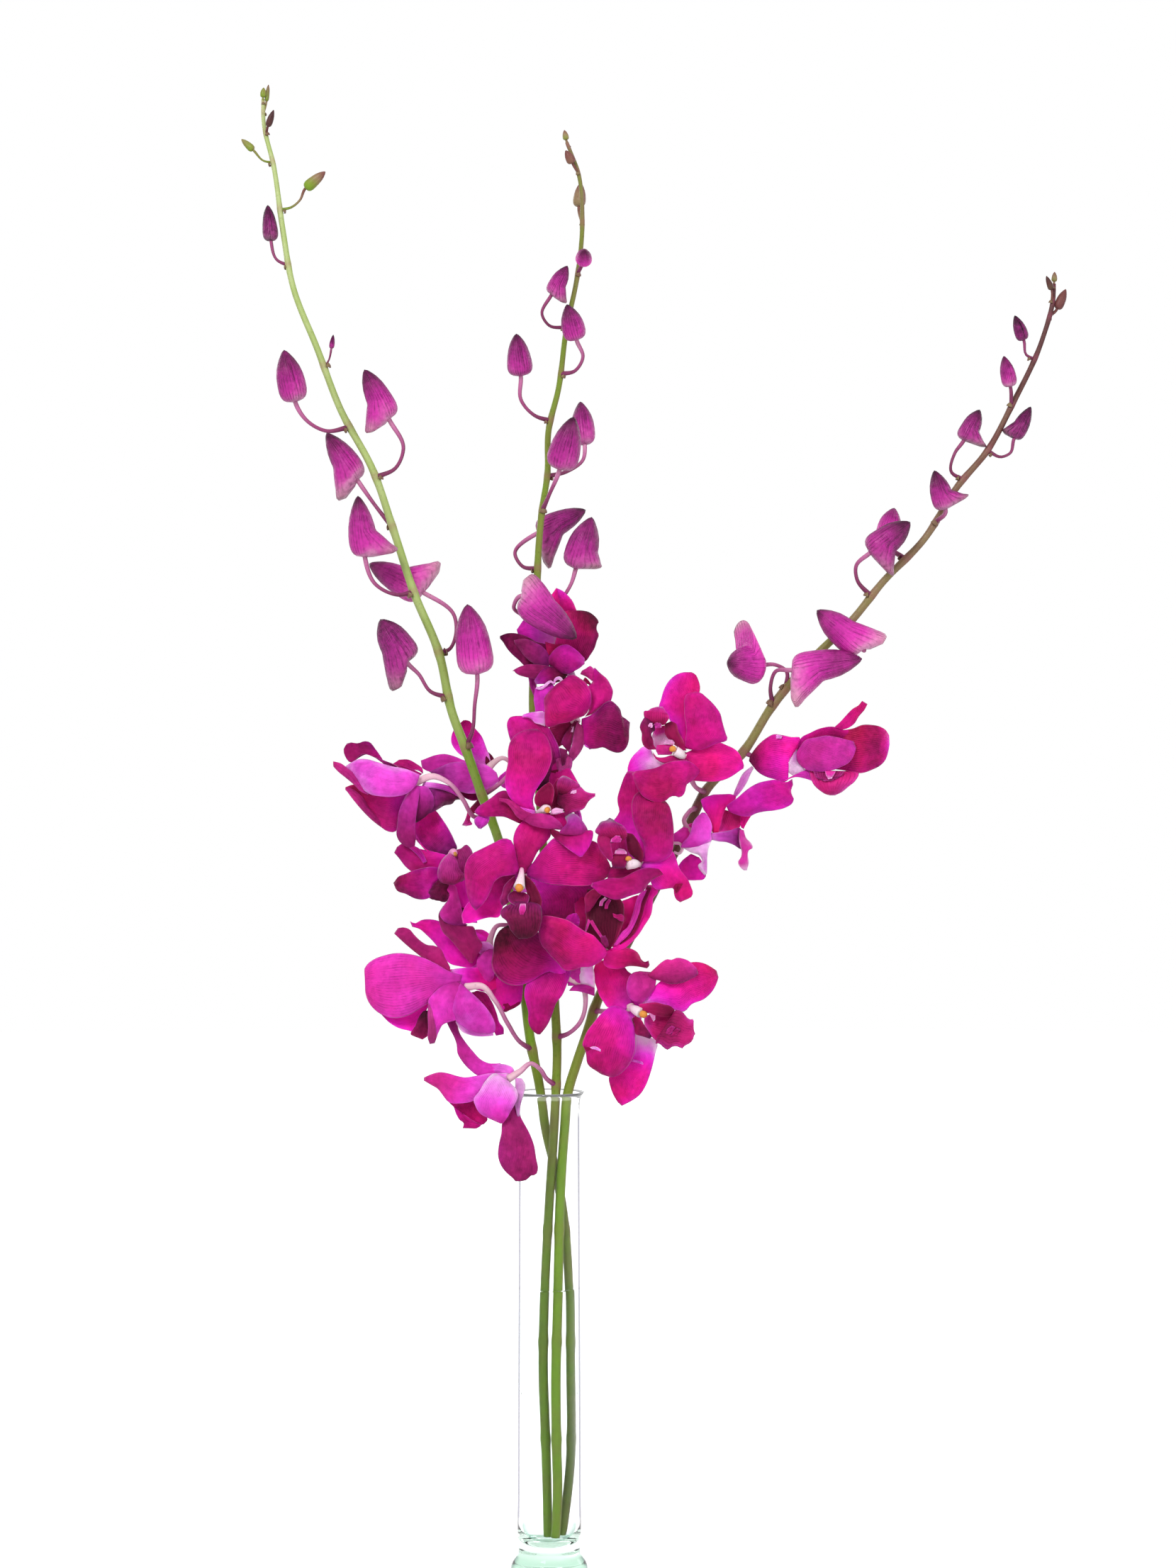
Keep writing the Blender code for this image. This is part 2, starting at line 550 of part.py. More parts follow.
def largest_shell(mesh):
    """Keep the largest connected shell: sealed hollows are filled and loose scraps dropped."""
    shape = bmesh.new()
    shape.from_mesh(mesh)
    bmesh.ops.remove_doubles(shape, verts=shape.verts, dist=2e-6)
    waiting = set(shape.verts)
    shells = []
    while waiting:
        shell = [waiting.pop()]
        for corner in shell:
            for edge in corner.link_edges:
                near = edge.other_vert(corner)
                if near in waiting:
                    waiting.remove(near)
                    shell.append(near)
        shells.append(shell)
    shells.sort(key=len)
    for shell in shells[:-1]:
        bmesh.ops.delete(shape, geom=shell, context="VERTS")
    bmesh.ops.triangulate(shape, faces=[f for f in shape.faces if len(f.verts) > 3])
    shape.to_mesh(mesh)
    shape.free()
    return mesh


def fuse(name, pieces, material, group):
    """Join overlapping pieces in one body with one Boolean union on a collection."""
    base = pieces[0]
    joining = make_collection("joining")
    for piece in pieces[1:]:
        joining.objects.link(piece)
        for home in list(piece.users_collection):
            if home is not joining:
                home.objects.unlink(piece)
    union = base.modifiers.new("union", "BOOLEAN")
    union.operation = "UNION"
    union.operand_type = "COLLECTION"
    union.collection = joining
    union.solver = "EXACT"
    mesh = largest_shell(finished_mesh(base))
    smooth(mesh)
    mesh.materials.clear()
    mesh.materials.append(material)
    for piece in pieces:
        bpy.data.objects.remove(piece, do_unlink=True)
    bpy.data.collections.remove(joining)
    return add_object(name, mesh, group)


def on_stem(stem, height):
    """The seen place and the radius of a stem at a height."""
    for low, high in zip(stem, stem[1:]):
        if low[1] <= height <= high[1]:
            share = (height - low[1]) / (high[1] - low[1])
            return [a + (b - a) * share for a, b in zip(low, high)]
    return list(stem[-1])


def lean(side, z):
    """The depth that a stem has gained at a height."""
    return LEAN[side] * (max(0.0, z - LEAN_FROM) / LEAN_OVER) ** 1.4


def spray(name, side, material, group):
    """A stem with the stalks and buds that grow on it, as one body."""
    stem = STEMS[side]
    middle = [seen(x, z, depth + lean(side, z)) for x, z, depth, _ in stem]
    pieces = [tube(middle, [row[3] for row in stem], 1, group)]
    for spec in BUDS[side]:
        x, z, depth, _ = on_stem(stem, spec["node"])
        steps = len(spec["via"]) + 1
        back = lean(side, z)
        route = [seen(x, z, depth + back)]
        for step, (via_x, via_z) in enumerate(spec["via"], 1):
            route.append(seen(via_x, via_z, back + depth + (spec["depth"] - depth) * step / steps))
        foot = seen(*spec["foot"], spec["depth"] + back)
        tip = seen(*spec["tip"], spec["tip_depth"] + back)
        inside = foot + (tip - foot) * 0.2
        route += [foot, inside]
        thick = min(1.0, 0.35 + spec["width"] / 20.0)
        radii = [thick] * (len(route) - 1) + [thick * 0.8]
        pieces.append(tube(route, radii, 0, group))
        chin = seen(*spec["chin"], spec["depth"] + back) if spec["chin"] else None
        pieces.append(bud_solid(foot, tip, spec["width"], chin, group))
    return fuse(name, pieces, material, group)


def bloom(name, spec, materials, group):
    """A flower: petals, sepals, column and stalk on a small core, and its lip as its own body."""
    heart = seen(*spec["heart"])
    look = Vector(spec["look"]).normalized()
    x, z, depth, radius = on_stem(STEMS[spec["stem"]], spec["node"])
    node = seen(x, z, depth)
    route = [seen(*place) for place in spec["stalk"]] + [heart]
    above = seen(*on_stem(STEMS[spec["stem"]], spec["node"] + 1.0)[:3])
    leave = (route[0] - node).normalized()
    slant = abs(leave.dot((above - node).normalized()))
    reach = (radius + CLEAR + STALK_END * slant) / math.sqrt(1.0 - slant * slant)
    route.insert(0, node + leave * reach * MM)
    radii = [STALK_END] + [STALK_RADIUS] * (len(route) - 3) + OVARY_RADII
    pieces = [ball(heart, HEART_RADIUS, group), tube(route, radii[-len(route):], 0, group)]
    pieces += [petal(heart, look, part, group) for part in spec["blades"]]
    if "column" in spec:
        column_x, column_z, column_depth, column_width = spec["column"]
        top = seen(column_x, column_z, column_depth)
        pieces.append(tube([heart, (heart + top) / 2, top], [column_width * s for s in (0.35, 0.42, 0.4)], 1, group))
    fuse("bloom_" + name, pieces, materials["petal"], group)
    if "lip" in spec:
        lip(name, spec, heart, look, materials["lip"], group)


def lip(name, spec, heart, look, material, group):
    """The lip of a bloom: a trough at its claw that opens in a broad front lobe."""
    tip_x, tip_z, tip_depth, width = spec["lip"]
    tip = seen(tip_x, tip_z, tip_depth)
    drop = (tip - heart) - (tip - heart).dot(look) * look
    rise = 0.4 if "column" in spec else 1.6
    start = heart + (drop.normalized() * (HEART_RADIUS + 0.9) + look * rise) * MM
    if "lip_root" in spec:
        start = seen(*spec["lip_root"])
    shape = blade("petal", tip_x, tip_z, tip_depth, width, arch=-0.12)
    body = sheet(
        lambda place: lay_blade(start, tip, look, shape, lip_outline,
                                lambda t: 1.5 - 1.9 * t if t < LIP_THROAT else 0.14, place),
        LIP_STEPS, LIP_THICKNESS, group)
    body.name = "lip_" + name
    smooth(body.data)
    body.data.materials.append(material)


def turned(name, profile, material, group):
    """A turned body: a profile of radius and height, swept round the upright axis."""
    mesh = bpy.data.meshes.new(name)
    corners = [(r * MM, 0.0, z * MM) for r, z in profile]
    mesh.from_pydata(corners, [(i, i + 1) for i in range(len(corners) - 1)], [])
    thing = add_object(name, mesh, group)
    screw = thing.modifiers.new("turn", "SCREW")
    screw.axis = "Z"
    screw.steps = VASE_SIDES
    screw.render_steps = VASE_SIDES
    screw.use_merge_vertices = True
    screw.merge_threshold = 0.00001
    screw.use_smooth_shade = True
    thing.data.materials.append(material)
    return thing


def vase(material, group):
    """A slim tube on a solid foot, with a flared rim and a rounded floor."""
    inner = TUBE_RADIUS - WALL
    profile = (
        (0.0, FLOOR), (6.0, FLOOR + 0.5), (10.2, FLOOR + 2.4), (inner - 0.8, FLOOR + 6.5), (inner, FLOOR + 12.0),
        (inner - 0.4, 236.0), (inner + 0.6, 240.6), (inner + 2.2, VASE_HEIGHT - 0.2),
        (inner + 3.0, VASE_HEIGHT), (inner + 3.6, VASE_HEIGHT - 0.7), (inner + 3.2, VASE_HEIGHT - 1.8),
        (TUBE_RADIUS + 0.3, 239.4), (TUBE_RADIUS - 0.3, 235.0), (TUBE_RADIUS - 0.2, 200.0),
        (TUBE_RADIUS + 0.4, 22.0), (TUBE_RADIUS, 18.5), (TUBE_RADIUS + 0.2, 16.0),
        (TUBE_RADIUS + 1.4, 13.6), (FOOT_RADIUS - 0.7, 11.0), (FOOT_RADIUS, 8.0), (FOOT_RADIUS, 1.6),
        (FOOT_RADIUS - 0.5, 0.4), (FOOT_RADIUS - 1.4, 0.0), (0.0, 0.0),
    )
    return turned("vase", profile, material, group)


def water(material, group, cutters):
    """The water in the vase, with a hole for each stem."""
    inner = TUBE_RADIUS - WALL - CLEAR
    profile = (
        (0.0, WATER_LEVEL), (inner - 1.2, WATER_LEVEL), (inner - 0.2, WATER_LEVEL + 0.9),
        (inner - 0.1, WATER_LEVEL), (inner, FLOOR + 12.4), (inner - 0.9, FLOOR + 7.1), (9.9, FLOOR + 3.0),
        (5.9, FLOOR + 1.0), (0.0, FLOOR + 0.5),
    )
    body = turned("water_whole", profile, material, group)
    whole = add_object("water", finished_mesh(body), group)
    smooth(whole.data)
    bpy.data.objects.remove(body, do_unlink=True)
    for stem in STEMS.values():
        low = [row for row in stem if row[1] < WATER_LEVEL + 45.0]
        foot = (low[0][0], low[0][1] - CLEAR, *low[0][2:])
        low = [foot] + low[1:]
        hole = tube([seen(x, z, y) for x, z, y, _ in low], [r + CLEAR + 0.2 for _, _, _, r in low], 1, cutters)
        hole.hide_render = True
        hole.display_type = "WIRE"
        cut = whole.modifiers.new("hole", "BOOLEAN")
        cut.operation = "DIFFERENCE"
        cut.object = hole
        cut.solver = "EXACT"
    return whole


def main():
    clear_scene()
    group = make_collection("dendrobium_orchid_in_vase")
    cutters = make_collection("cutters")
    stem_green = make_material("stem_green", (0.20, 0.32, 0.06), 0.5)
    materials = {
        "petal": make_material("petal_magenta", (0.55, 0.01, 0.22), 0.5),
        "lip": make_material("lip_crimson", (0.20, 0.005, 0.06), 0.5),
    }
    glass = make_material("vase_glass", (0.85, 0.95, 0.90), 0.05)
    clear_water = make_material("water_clear", (0.90, 0.96, 0.95), 0.05)
    vase(glass, group)
    water(clear_water, group, cutters)
    for side in STEMS:
        spray("spray_" + side, side, stem_green, group)
    for name, spec in BLOOMS.items():
        bloom(name, spec, materials, group)


main()
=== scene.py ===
"""Dendrobium orchid in a vase, dressed: petals, lips, buds, stems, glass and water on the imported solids.

Places are given as they are seen from the front: x and z in millimetres in the upright plane
through the vase's axis, and a depth behind that plane along the line of sight.
"""

import math

import bmesh
import bpy
import numpy as np
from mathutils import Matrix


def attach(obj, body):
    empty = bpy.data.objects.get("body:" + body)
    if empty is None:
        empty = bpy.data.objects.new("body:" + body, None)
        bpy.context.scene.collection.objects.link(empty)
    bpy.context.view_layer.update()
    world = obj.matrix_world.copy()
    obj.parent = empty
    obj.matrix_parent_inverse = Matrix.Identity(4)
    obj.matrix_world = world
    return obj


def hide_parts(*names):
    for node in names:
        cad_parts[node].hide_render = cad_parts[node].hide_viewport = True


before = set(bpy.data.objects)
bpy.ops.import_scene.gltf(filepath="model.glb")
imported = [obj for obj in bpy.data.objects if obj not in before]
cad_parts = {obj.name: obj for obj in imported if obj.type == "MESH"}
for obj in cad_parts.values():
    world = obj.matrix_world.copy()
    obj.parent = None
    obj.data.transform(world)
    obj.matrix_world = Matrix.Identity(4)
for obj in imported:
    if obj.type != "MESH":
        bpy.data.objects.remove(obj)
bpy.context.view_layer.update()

MM = 0.001
EYE = np.array((19.1, -1750.0, 395.2))
VALUES = ("along", "across", "hue", "shade", "back")

# How finely each kind of piece is made
PETAL_ROWS, PETAL_LINES = 30, 17
LIP_ROWS, LIP_LINES = 22, 13
BUD_RINGS, BUD_SIDES = 28, 60
SCALE_ROWS, SCALE_LINES = 7, 7
STEM_SIDES, STALK_SIDES, BUD_STALK_SIDES = 20, 16, 12
VASE_SIDES, GLASS_ROWS, WATER_ROWS = 120, 230, 150
FLOW_STEPS = 30

# Millimetres between the rings of a stem, a bud's stalk and a column
STEM_STEP, STALK_STEP, COLUMN_STEP = 1.5, 1.2, 0.7

# Millimetres that a petal is wider on each side than its traced edge, its thickness and its midline's fold
PETAL_EXTRA = 0.4
PETAL_THICK = 0.5
PETAL_CREASE = 0.35

# Metres within which corners are joined, and below which an edge is taken out
WELD = 4e-6
SLIVER = 2e-6

# Depth in millimetres that each stem gains from LEAN_FROM to LEAN_FROM + LEAN_OVER
LEAN = {"left": 46.0, "middle": -36.0, "right": 34.0}
LEAN_FROM = 460.0
LEAN_OVER = 285.0

# Level and radius of the water, and how strongly glass and water bend light
WATER_LEVEL = 146.0
WATER_RADIUS = 13.42
GLASS_BEND = 1.45
WATER_BEND = 1.03

# Bare joints of the stems below the flowers
BARE_JOINTS = [72.0, 120.0, 175.0]

CAMERA_LENS = 81.4
SENSOR_WIDTH = 36.0
AIM = (0.0, 0.0, 0.4)
FLOOR_RADIUS = 4.0
FLOOR_CORNERS = 96
FLOOR_DROP = 0.0005
SKY_ON_PIECES = 0.74

BLACK = (0.0, 0.0, 0.0, 1.0)
WHITE = (1.0, 1.0, 1.0, 1.0)

# Stems from the cut end to the top: x, z, depth and radius
STEMS = {
    "left": (
        (6.2, 23.4, 2.6, 2.2), (10.3, 62, 2.8, 2.3), (10.4, 110, 3, 2.3), (9.9, 150, 3.6, 2.3),
        (7.1, 183, 4.4, 2.3), (3.5, 203, 4.6, 2.3), (-1.6, 224, 4.4, 2.3), (-4.6, 245, 4, 2.3),
        (-9.4, 269.5, 3, 2.4), (-12.6, 296.7, 2, 2.4), (-18.5, 335, 2, 2.4), (-25, 367.5, 3, 2.3),
        (-33.3, 390, 4, 2.3), (-41, 412, 4, 2.3), (-47.8, 430, 3, 2.2), (-54.5, 460, 1, 2.1),
        (-66.5, 489, -1, 2), (-76.7, 520, -3, 1.9), (-87, 550, -5, 1.8), (-103, 580, -6, 1.7),
        (-114.5, 610, -7, 1.6), (-126.3, 640, -8, 1.5), (-131.7, 670, -8, 1.4),
        (-136, 700, -8, 1.2), (-141, 722, -8, 1), (-141.3, 733, -8, 0.8),
    ),
    "middle": (
        (-0.6, 22, 3, 2.2), (-0.9, 42, 3, 2.2), (-2, 80, 2, 2.3), (-2.8, 102, 0.5, 2.3),
        (-2.3, 141, -1, 2.2), (0, 188, -1.5, 2.2), (2.3, 224, -1.4, 2.2), (3.3, 243.6, -1, 2.2),
        (3.9, 262, -0.5, 2.2), (2.9, 285, 0, 2.2), (-0.4, 330, 1, 2.1), (-4.5, 385, 2, 2),
        (-8.2, 435, 2, 1.9), (-6, 480, 3, 1.8), (-5.6, 505, 4, 1.7), (-3.3, 532, 5, 1.6),
        (-1, 547, 6, 1.5), (-0.3, 570, 7, 1.5), (4.5, 590, 8, 1.4), (8.5, 620, 9, 1.3),
        (13.7, 645, 10, 1.2), (16.3, 672, 10, 1.1), (14.3, 697, 10, 0.95), (8.6, 712, 10, 0.8),
    ),
    "right": (
        (3, 22, -3, 2.2), (4, 46, -3, 2.3), (3.5, 70, -3, 2.3), (3.2, 102, -2.6, 2.3),
        (3.9, 132, -2.2, 2.3), (4.6, 159, -1.8, 2.3), (5.3, 188, -1.5, 2.3), (7.5, 224, -1.3, 2.3),
        (9.4, 243.6, -1, 2.4), (13.3, 256.6, -0.6, 2.4), (18.5, 272, 0, 2.4), (23.6, 287.6, 0.5, 2.4),
        (39.3, 318, 2, 2.4), (54.9, 348, 3, 2.3), (70.4, 378, 4, 2.3), (75.7, 389.5, 4, 2.2),
        (96.6, 412, 3, 2.2), (109.8, 433.2, 2, 2.1), (130, 457, 0, 2), (149.6, 476.2, -2, 1.9),
        (164.6, 494.8, -3, 1.8), (184.6, 515.5, -4, 1.7), (202, 542.7, -5, 1.6), (215.9, 559.2, -6, 1.5),
        (228.4, 582.2, -7, 1.4), (243.3, 614.4, -8, 1.2), (248.9, 636.3, -8, 1), (249.2, 642, -8, 0.8),
    ),
}

# Hue and shade of each stem by height: hue 0 pale green, 0.5 olive green, 1 purple brown
STEM_TINTS = {
    "left": (
        (20, 0.42, 0.3), (60, 0.46, 0.42), (120, 0.38, 0.12), (200, 0.5, 0.2), (240, 0.45, 0.1),
        (300, 0.34, 0.15), (400, 0.27, 0.1), (440, 0.16, 0), (540, 0.08, 0), (740, 0.05, 0),
    ),
    "middle": (
        (20, 0.4, 0.25), (60, 0.38, 0.22), (120, 0.38, 0.34), (185, 0.42, 0.35), (230, 0.5, 0.25),
        (258, 0.44, 0.02), (300, 0.43, 0.1), (430, 0.5, 0.15), (540, 0.45, 0.1), (650, 0.52, 0.15),
        (720, 0.62, 0.2),
    ),
    "right": (
        (20, 0.4, 0.05), (180, 0.38, 0), (240, 0.42, 0), (275, 0.5, 0.1), (305, 0.56, 0.25),
        (340, 0.7, 0.45), (388, 0.72, 0.42), (402, 0.62, 0.1), (450, 0.58, 0), (480, 0.62, 0.05),
        (540, 0.72, 0.15), (600, 0.86, 0.35), (650, 0.9, 0.45),
    ),
}


def bud(node, via, foot, tip, width, depth, tip_depth, shade, chin=None, green=None):
    """A bud: height of its node on the stem, its stalk's bends, foot and tip, width, depths and shade.

    chin is where its foot bulges to, and green the hues of an unripe bud from foot to tip.
    """
    return dict(node=node, via=via, foot=foot, tip=tip, width=width, depth=depth, tip_depth=tip_depth,
                shade=shade, chin=chin, green=green)


# Closed buds of each stem; the first of the left one is a bare stub. Each bud's shade is partly its own
# deeper colour and partly painted shade.
BUDS = {
    "left": (
        bud(601, ((-109, 604),), (-107.6, 610), (-106.6, 617), 2.6, -8, -8, 0.5),
        bud(731, (), (-141.3, 734), (-141, 739), 3, -8, -8, -0.12, green=(0.5, 0.6)),
        bud(726, (), (-139.6, 732), (-138.6, 740.5), 2.4, -6, -5, 0.19, green=(0.5, 0.75)),
        bud(716, (), (-139, 719.5), (-136, 728), 3.4, -11, -12, 0.51, green=(0.8, 0.95)),
        bud(702, ((-141, 702.8),), (-146, 708), (-152, 713.5), 3.6, -7, -6, -0.12, green=(0.5, 0.62)),
        bud(678.5, ((-127, 680), (-123, 683.5)), (-120.5, 689), (-110.5, 697.5), 5.6, -9, -12, -0.12,
            green=(0.42, 0.85)),
        bud(651, ((-134.5, 654),), (-137.3, 663), (-139, 681), 8, -4, -2, 0.72),
        bud(571.5, ((-110, 569.5), (-119, 574)), (-125.3, 583.5), (-131, 609.5), 14, -12, -16, 0.42),
        bud(546.5, ((-76, 551), (-72, 561)), (-79, 575), (-91.3, 599.8), 13.2, -14, -18, 0.33, (-87, 566)),
        bud(522, ((-85, 531.5),), (-94.5, 545), (-110, 568.5), 14, 4, 6, 0.38, (-100.5, 532)),
        bud(490, ((-75, 488.6), (-86, 494)), (-91, 507), (-94.5, 537.5), 13.5, -14, -18, 0.33, (-74.5, 508)),
        bud(460, ((-49.5, 461.5), (-46.3, 468), (-46.8, 478)), (-62, 489.5), (-89, 504), 15, 13, 18, 0.24,
            (-51, 502)),
        bud(413, ((-38, 421), (-36.8, 434)), (-35.5, 449), (-40.5, 484), 19, -8, -12, 0.23),
        bud(438, ((-58.5, 440.8), (-64.5, 449.5)), (-70, 455), (-83.5, 476.5), 18, -6, -10, 0.55,
            (-71, 437.5)),
    ),
    "middle": (
        bud(710, (), (8.4, 713), (7.4, 718), 3, 10, 10, -0.12, green=(0.5, 0.75)),
        bud(697, (), (11.5, 701.5), (8, 708), 4.4, 7, 5, 0.0, green=(0.8, 0.85)),
        bud(672, (), (14.6, 680), (15.5, 692), 6.3, 15, 17, 0.0, green=(0.62, 0.8)),
        bud(647, (), (16.8, 653), (17.4, 658.5), 8, 4, -6, -0.12),
        bud(620.5, ((0, 621.5), (-3.6, 627)), (1, 636.5), (9, 651), 8.5, 4, 0, 0.46, (6.5, 631.5)),
        bud(597.5, ((12.5, 599), (16.6, 606)), (13.5, 614), (8.7, 632), 11.5, -4, -8, 0.4),
        bud(574.5, ((-7, 577), (-14, 585)), (-14, 596.3), (-16.3, 617.5), 12, 3, 0, 0.46),
        bud(547, ((9, 549.5), (16.5, 555)), (17.5, 562.5), (15.3, 584), 12, 18, 22, 0.4),
        bud(530, ((0, 538),), (5, 550), (12, 576.5), 15, -10, -16, 0.45),
        bud(501.5, ((-13, 502.5), (-17, 509)), (-6, 519), (18, 530.5), 12.5, 16, 20, 0.53, (-3.5, 498.5)),
        bud(484, ((6, 487), (10.8, 494)), (13, 501), (21, 527), 16, 3, 0, 0.44, (21.5, 502)),
        bud(481, ((-12, 478.5), (-17.5, 482)), (-13.5, 488), (13.5, 467), 17, -20, -27, 0.34, (-15, 498)),
    ),
    "right": (
        bud(640, (), (249.2, 643), (249.4, 648), 2.8, -8, -8, 0.09, green=(0.55, 0.75)),
        bud(633, (), (248, 639), (245.3, 646), 3, -10, -11, 0.54, green=(0.75, 0.92)),
        bud(625.5, (), (250.6, 629.5), (255, 639.5), 5, -6, -5, -0.12, green=(0.88, 0.85)),
        bud(605, ((235.5, 607),), (234.3, 614), (229.7, 626.5), 6.5, -9, -10, 0.72),
        bud(581.6, (), (227.7, 591), (224.3, 606.5), 8, -12, -14, 0.41),
        bud(559.8, ((223, 556.6), (227.5, 558.5)), (229.4, 565.5), (237.7, 581.5), 8.2, -7, -6, 0.71,
            (224, 567.6)),
        bud(545.5, ((198.6, 549), (200.2, 558.5)), (204.5, 564.5), (212.5, 580), 10, -5, -4, 0.54,
            (214.5, 561)),
        bud(524, (), (195.7, 530.5), (190, 550), 11, -13, -16, 0.46, (207, 537)),
        bud(506.2, (), (166, 516), (170.3, 531.5), 12, 9, 12, 0.22),
        bud(487.8, ((152, 496), (151.5, 503)), (158, 509), (178.2, 524.5), 15, -12, -16, 0.5, (167, 498)),
        bud(470, (), (155, 461.5), (132, 481), 16.5, -13, -16, 0.19, (168.5, 462)),
        bud(434, ((109.2, 443), (112, 451)), (119.5, 451.5), (154.5, 457), 16.5, -14, -20, 0.2, (117, 433)),
        bud(441, ((117, 451), (111, 454.2)), (104, 453.8), (88, 455), 19, 2, -8, 0.17, (93.5, 475)),
    ),
}


def seen(x, z, depth):
    """Points seen at x, z from the front, at a depth behind the vase's plane, in metres."""
    x, z, depth = np.broadcast_arrays(np.asarray(x, float), z, depth)
    slide = (depth - EYE[1]) / -EYE[1]
    across = EYE[0] + (x - EYE[0]) * slide
    height = EYE[2] + (z - EYE[2]) * slide
    return np.stack([across, depth, height], axis=-1) * MM


def flow(rows, count):
    """Rows of numbers spaced evenly along a smooth curve through the given rows."""
    knots = np.array(rows, float)
    steps = np.maximum(np.linalg.norm(np.diff(knots, axis=0), axis=1), 1e-6)
    reach = np.concatenate([[0.0], np.cumsum(steps)])
    runs = np.diff(knots, axis=0) / steps[:, None]
    slopes = np.vstack([runs[:1], runs])
    if len(knots) > 2:
        before, after = steps[:-1, None], steps[1:, None]
        slopes[1:-1] = (runs[:-1] * after + runs[1:] * before) / (before + after)
    fine = np.linspace(0.0, reach[-1], FLOW_STEPS * len(knots))
    which = np.clip(np.searchsorted(reach, fine, side="right") - 1, 0, len(steps) - 1)
    length = steps[which]
    u = ((fine - reach[which]) / length)[:, None]
    length = length[:, None]
    line = ((2 * u**3 - 3 * u**2 + 1) * knots[which] + (u**3 - 2 * u**2 + u) * length * slopes[which]
            + (3 * u**2 - 2 * u**3) * knots[which + 1] + (u**3 - u**2) * length * slopes[which + 1])
    run = np.concatenate([[0.0], np.cumsum(np.linalg.norm(np.diff(line, axis=0), axis=1))])
    even = np.linspace(0.0, run[-1], count)
    return np.stack([np.interp(even, run, line[:, k]) for k in range(line.shape[1])], axis=1)


def unit(vectors):
    """Vectors scaled to length one."""
    return vectors / np.maximum(np.linalg.norm(vectors, axis=-1, keepdims=True), 1e-12)


def outward(corners, faces):
    """The faces of a closed part, turned over where they would make it inside out."""
    fans = [(face[0], face[k], face[k + 1]) for face in faces for k in range(1, len(face) - 1)]
    first, second, third = (corners - corners.mean(axis=0))[np.array(fans).T]
    volume = (first * np.cross(second, third)).sum()
    return [face[::-1] for face in faces] if volume < 0 else faces


class Piece:
    """One piece of the bunch, gathered part by part: corners, faces, skins and painted values."""

    def __init__(self):
        self.corners, self.faces, self.skins = [], [], []
        self.values = {value: [] for value in VALUES}
        self.count = 0

    def add(self, corners, faces, skin=0, **values):
        """Add a part with its skin number and the values painted on its corners."""
        corners = np.asarray(corners).reshape(-1, 3)
        faces = outward(corners, faces)
        self.corners.append(corners)
        self.faces += [tuple(corner + self.count for corner in face) for face in faces]
        self.skins += [skin] * len(faces)
        for value in VALUES:
            given = np.asarray(values.get(value, 0.0), float)
            self.values[value].append(np.broadcast_to(given.reshape(-1), (len(corners),)))
        self.count += len(corners)

    def make(self, name, materials, slot, node):
        """The finished mesh object, which stands for the CAD node that is named."""
        mesh = bpy.data.meshes.new(name)
        mesh.from_pydata(np.concatenate(self.corners).tolist(), [], self.faces)
        mesh.polygons.foreach_set("material_index", self.skins)
        for value, numbers in self.values.items():
            layer = mesh.attributes.new(value, "FLOAT", "POINT")
            layer.data.foreach_set("value", np.concatenate(numbers).astype(np.float32))
        shape = bmesh.new()
        shape.from_mesh(mesh)
        bmesh.ops.remove_doubles(shape, verts=shape.verts, dist=WELD)
        bmesh.ops.dissolve_degenerate(shape, edges=shape.edges, dist=SLIVER)
        shape.to_mesh(mesh)
        shape.free()
        mesh.shade_smooth()
        for material in materials:
            mesh.materials.append(material)
        thing = bpy.data.objects.new(name, mesh)
        bpy.context.scene.collection.objects.link(thing)
        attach(thing, "root")
        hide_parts(node)


def grid_faces(rows, lines, closed=False):
    """Faces of a grid of corners, row by row; closed joins its last line to its first."""
    faces = []
    for row in range(rows - 1):
        for line in range(lines if closed else lines - 1):
            a = row * lines + line
            b = row * lines + (line + 1) % lines
            faces.append((a, b, b + lines, a + lines))
    return faces


def plate_faces(rows, lines):
    """Faces of a thin plate: a front sheet, a back sheet and the rim that joins them."""
    count = rows * lines
    front = grid_faces(rows, lines)
    behind = [tuple(corner + count for corner in face[::-1]) for face in front]
    ring = list(range(lines)) + [row * lines + lines - 1 for row in range(1, rows)]
    ring += [(rows - 1) * lines + line for line in range(lines - 2, -1, -1)]
    ring += [row * lines for row in range(rows - 2, 0, -1)]
    return front + behind + [(b, a, a + count, b + count) for a, b in zip(ring, ring[1:] + ring[:1])]


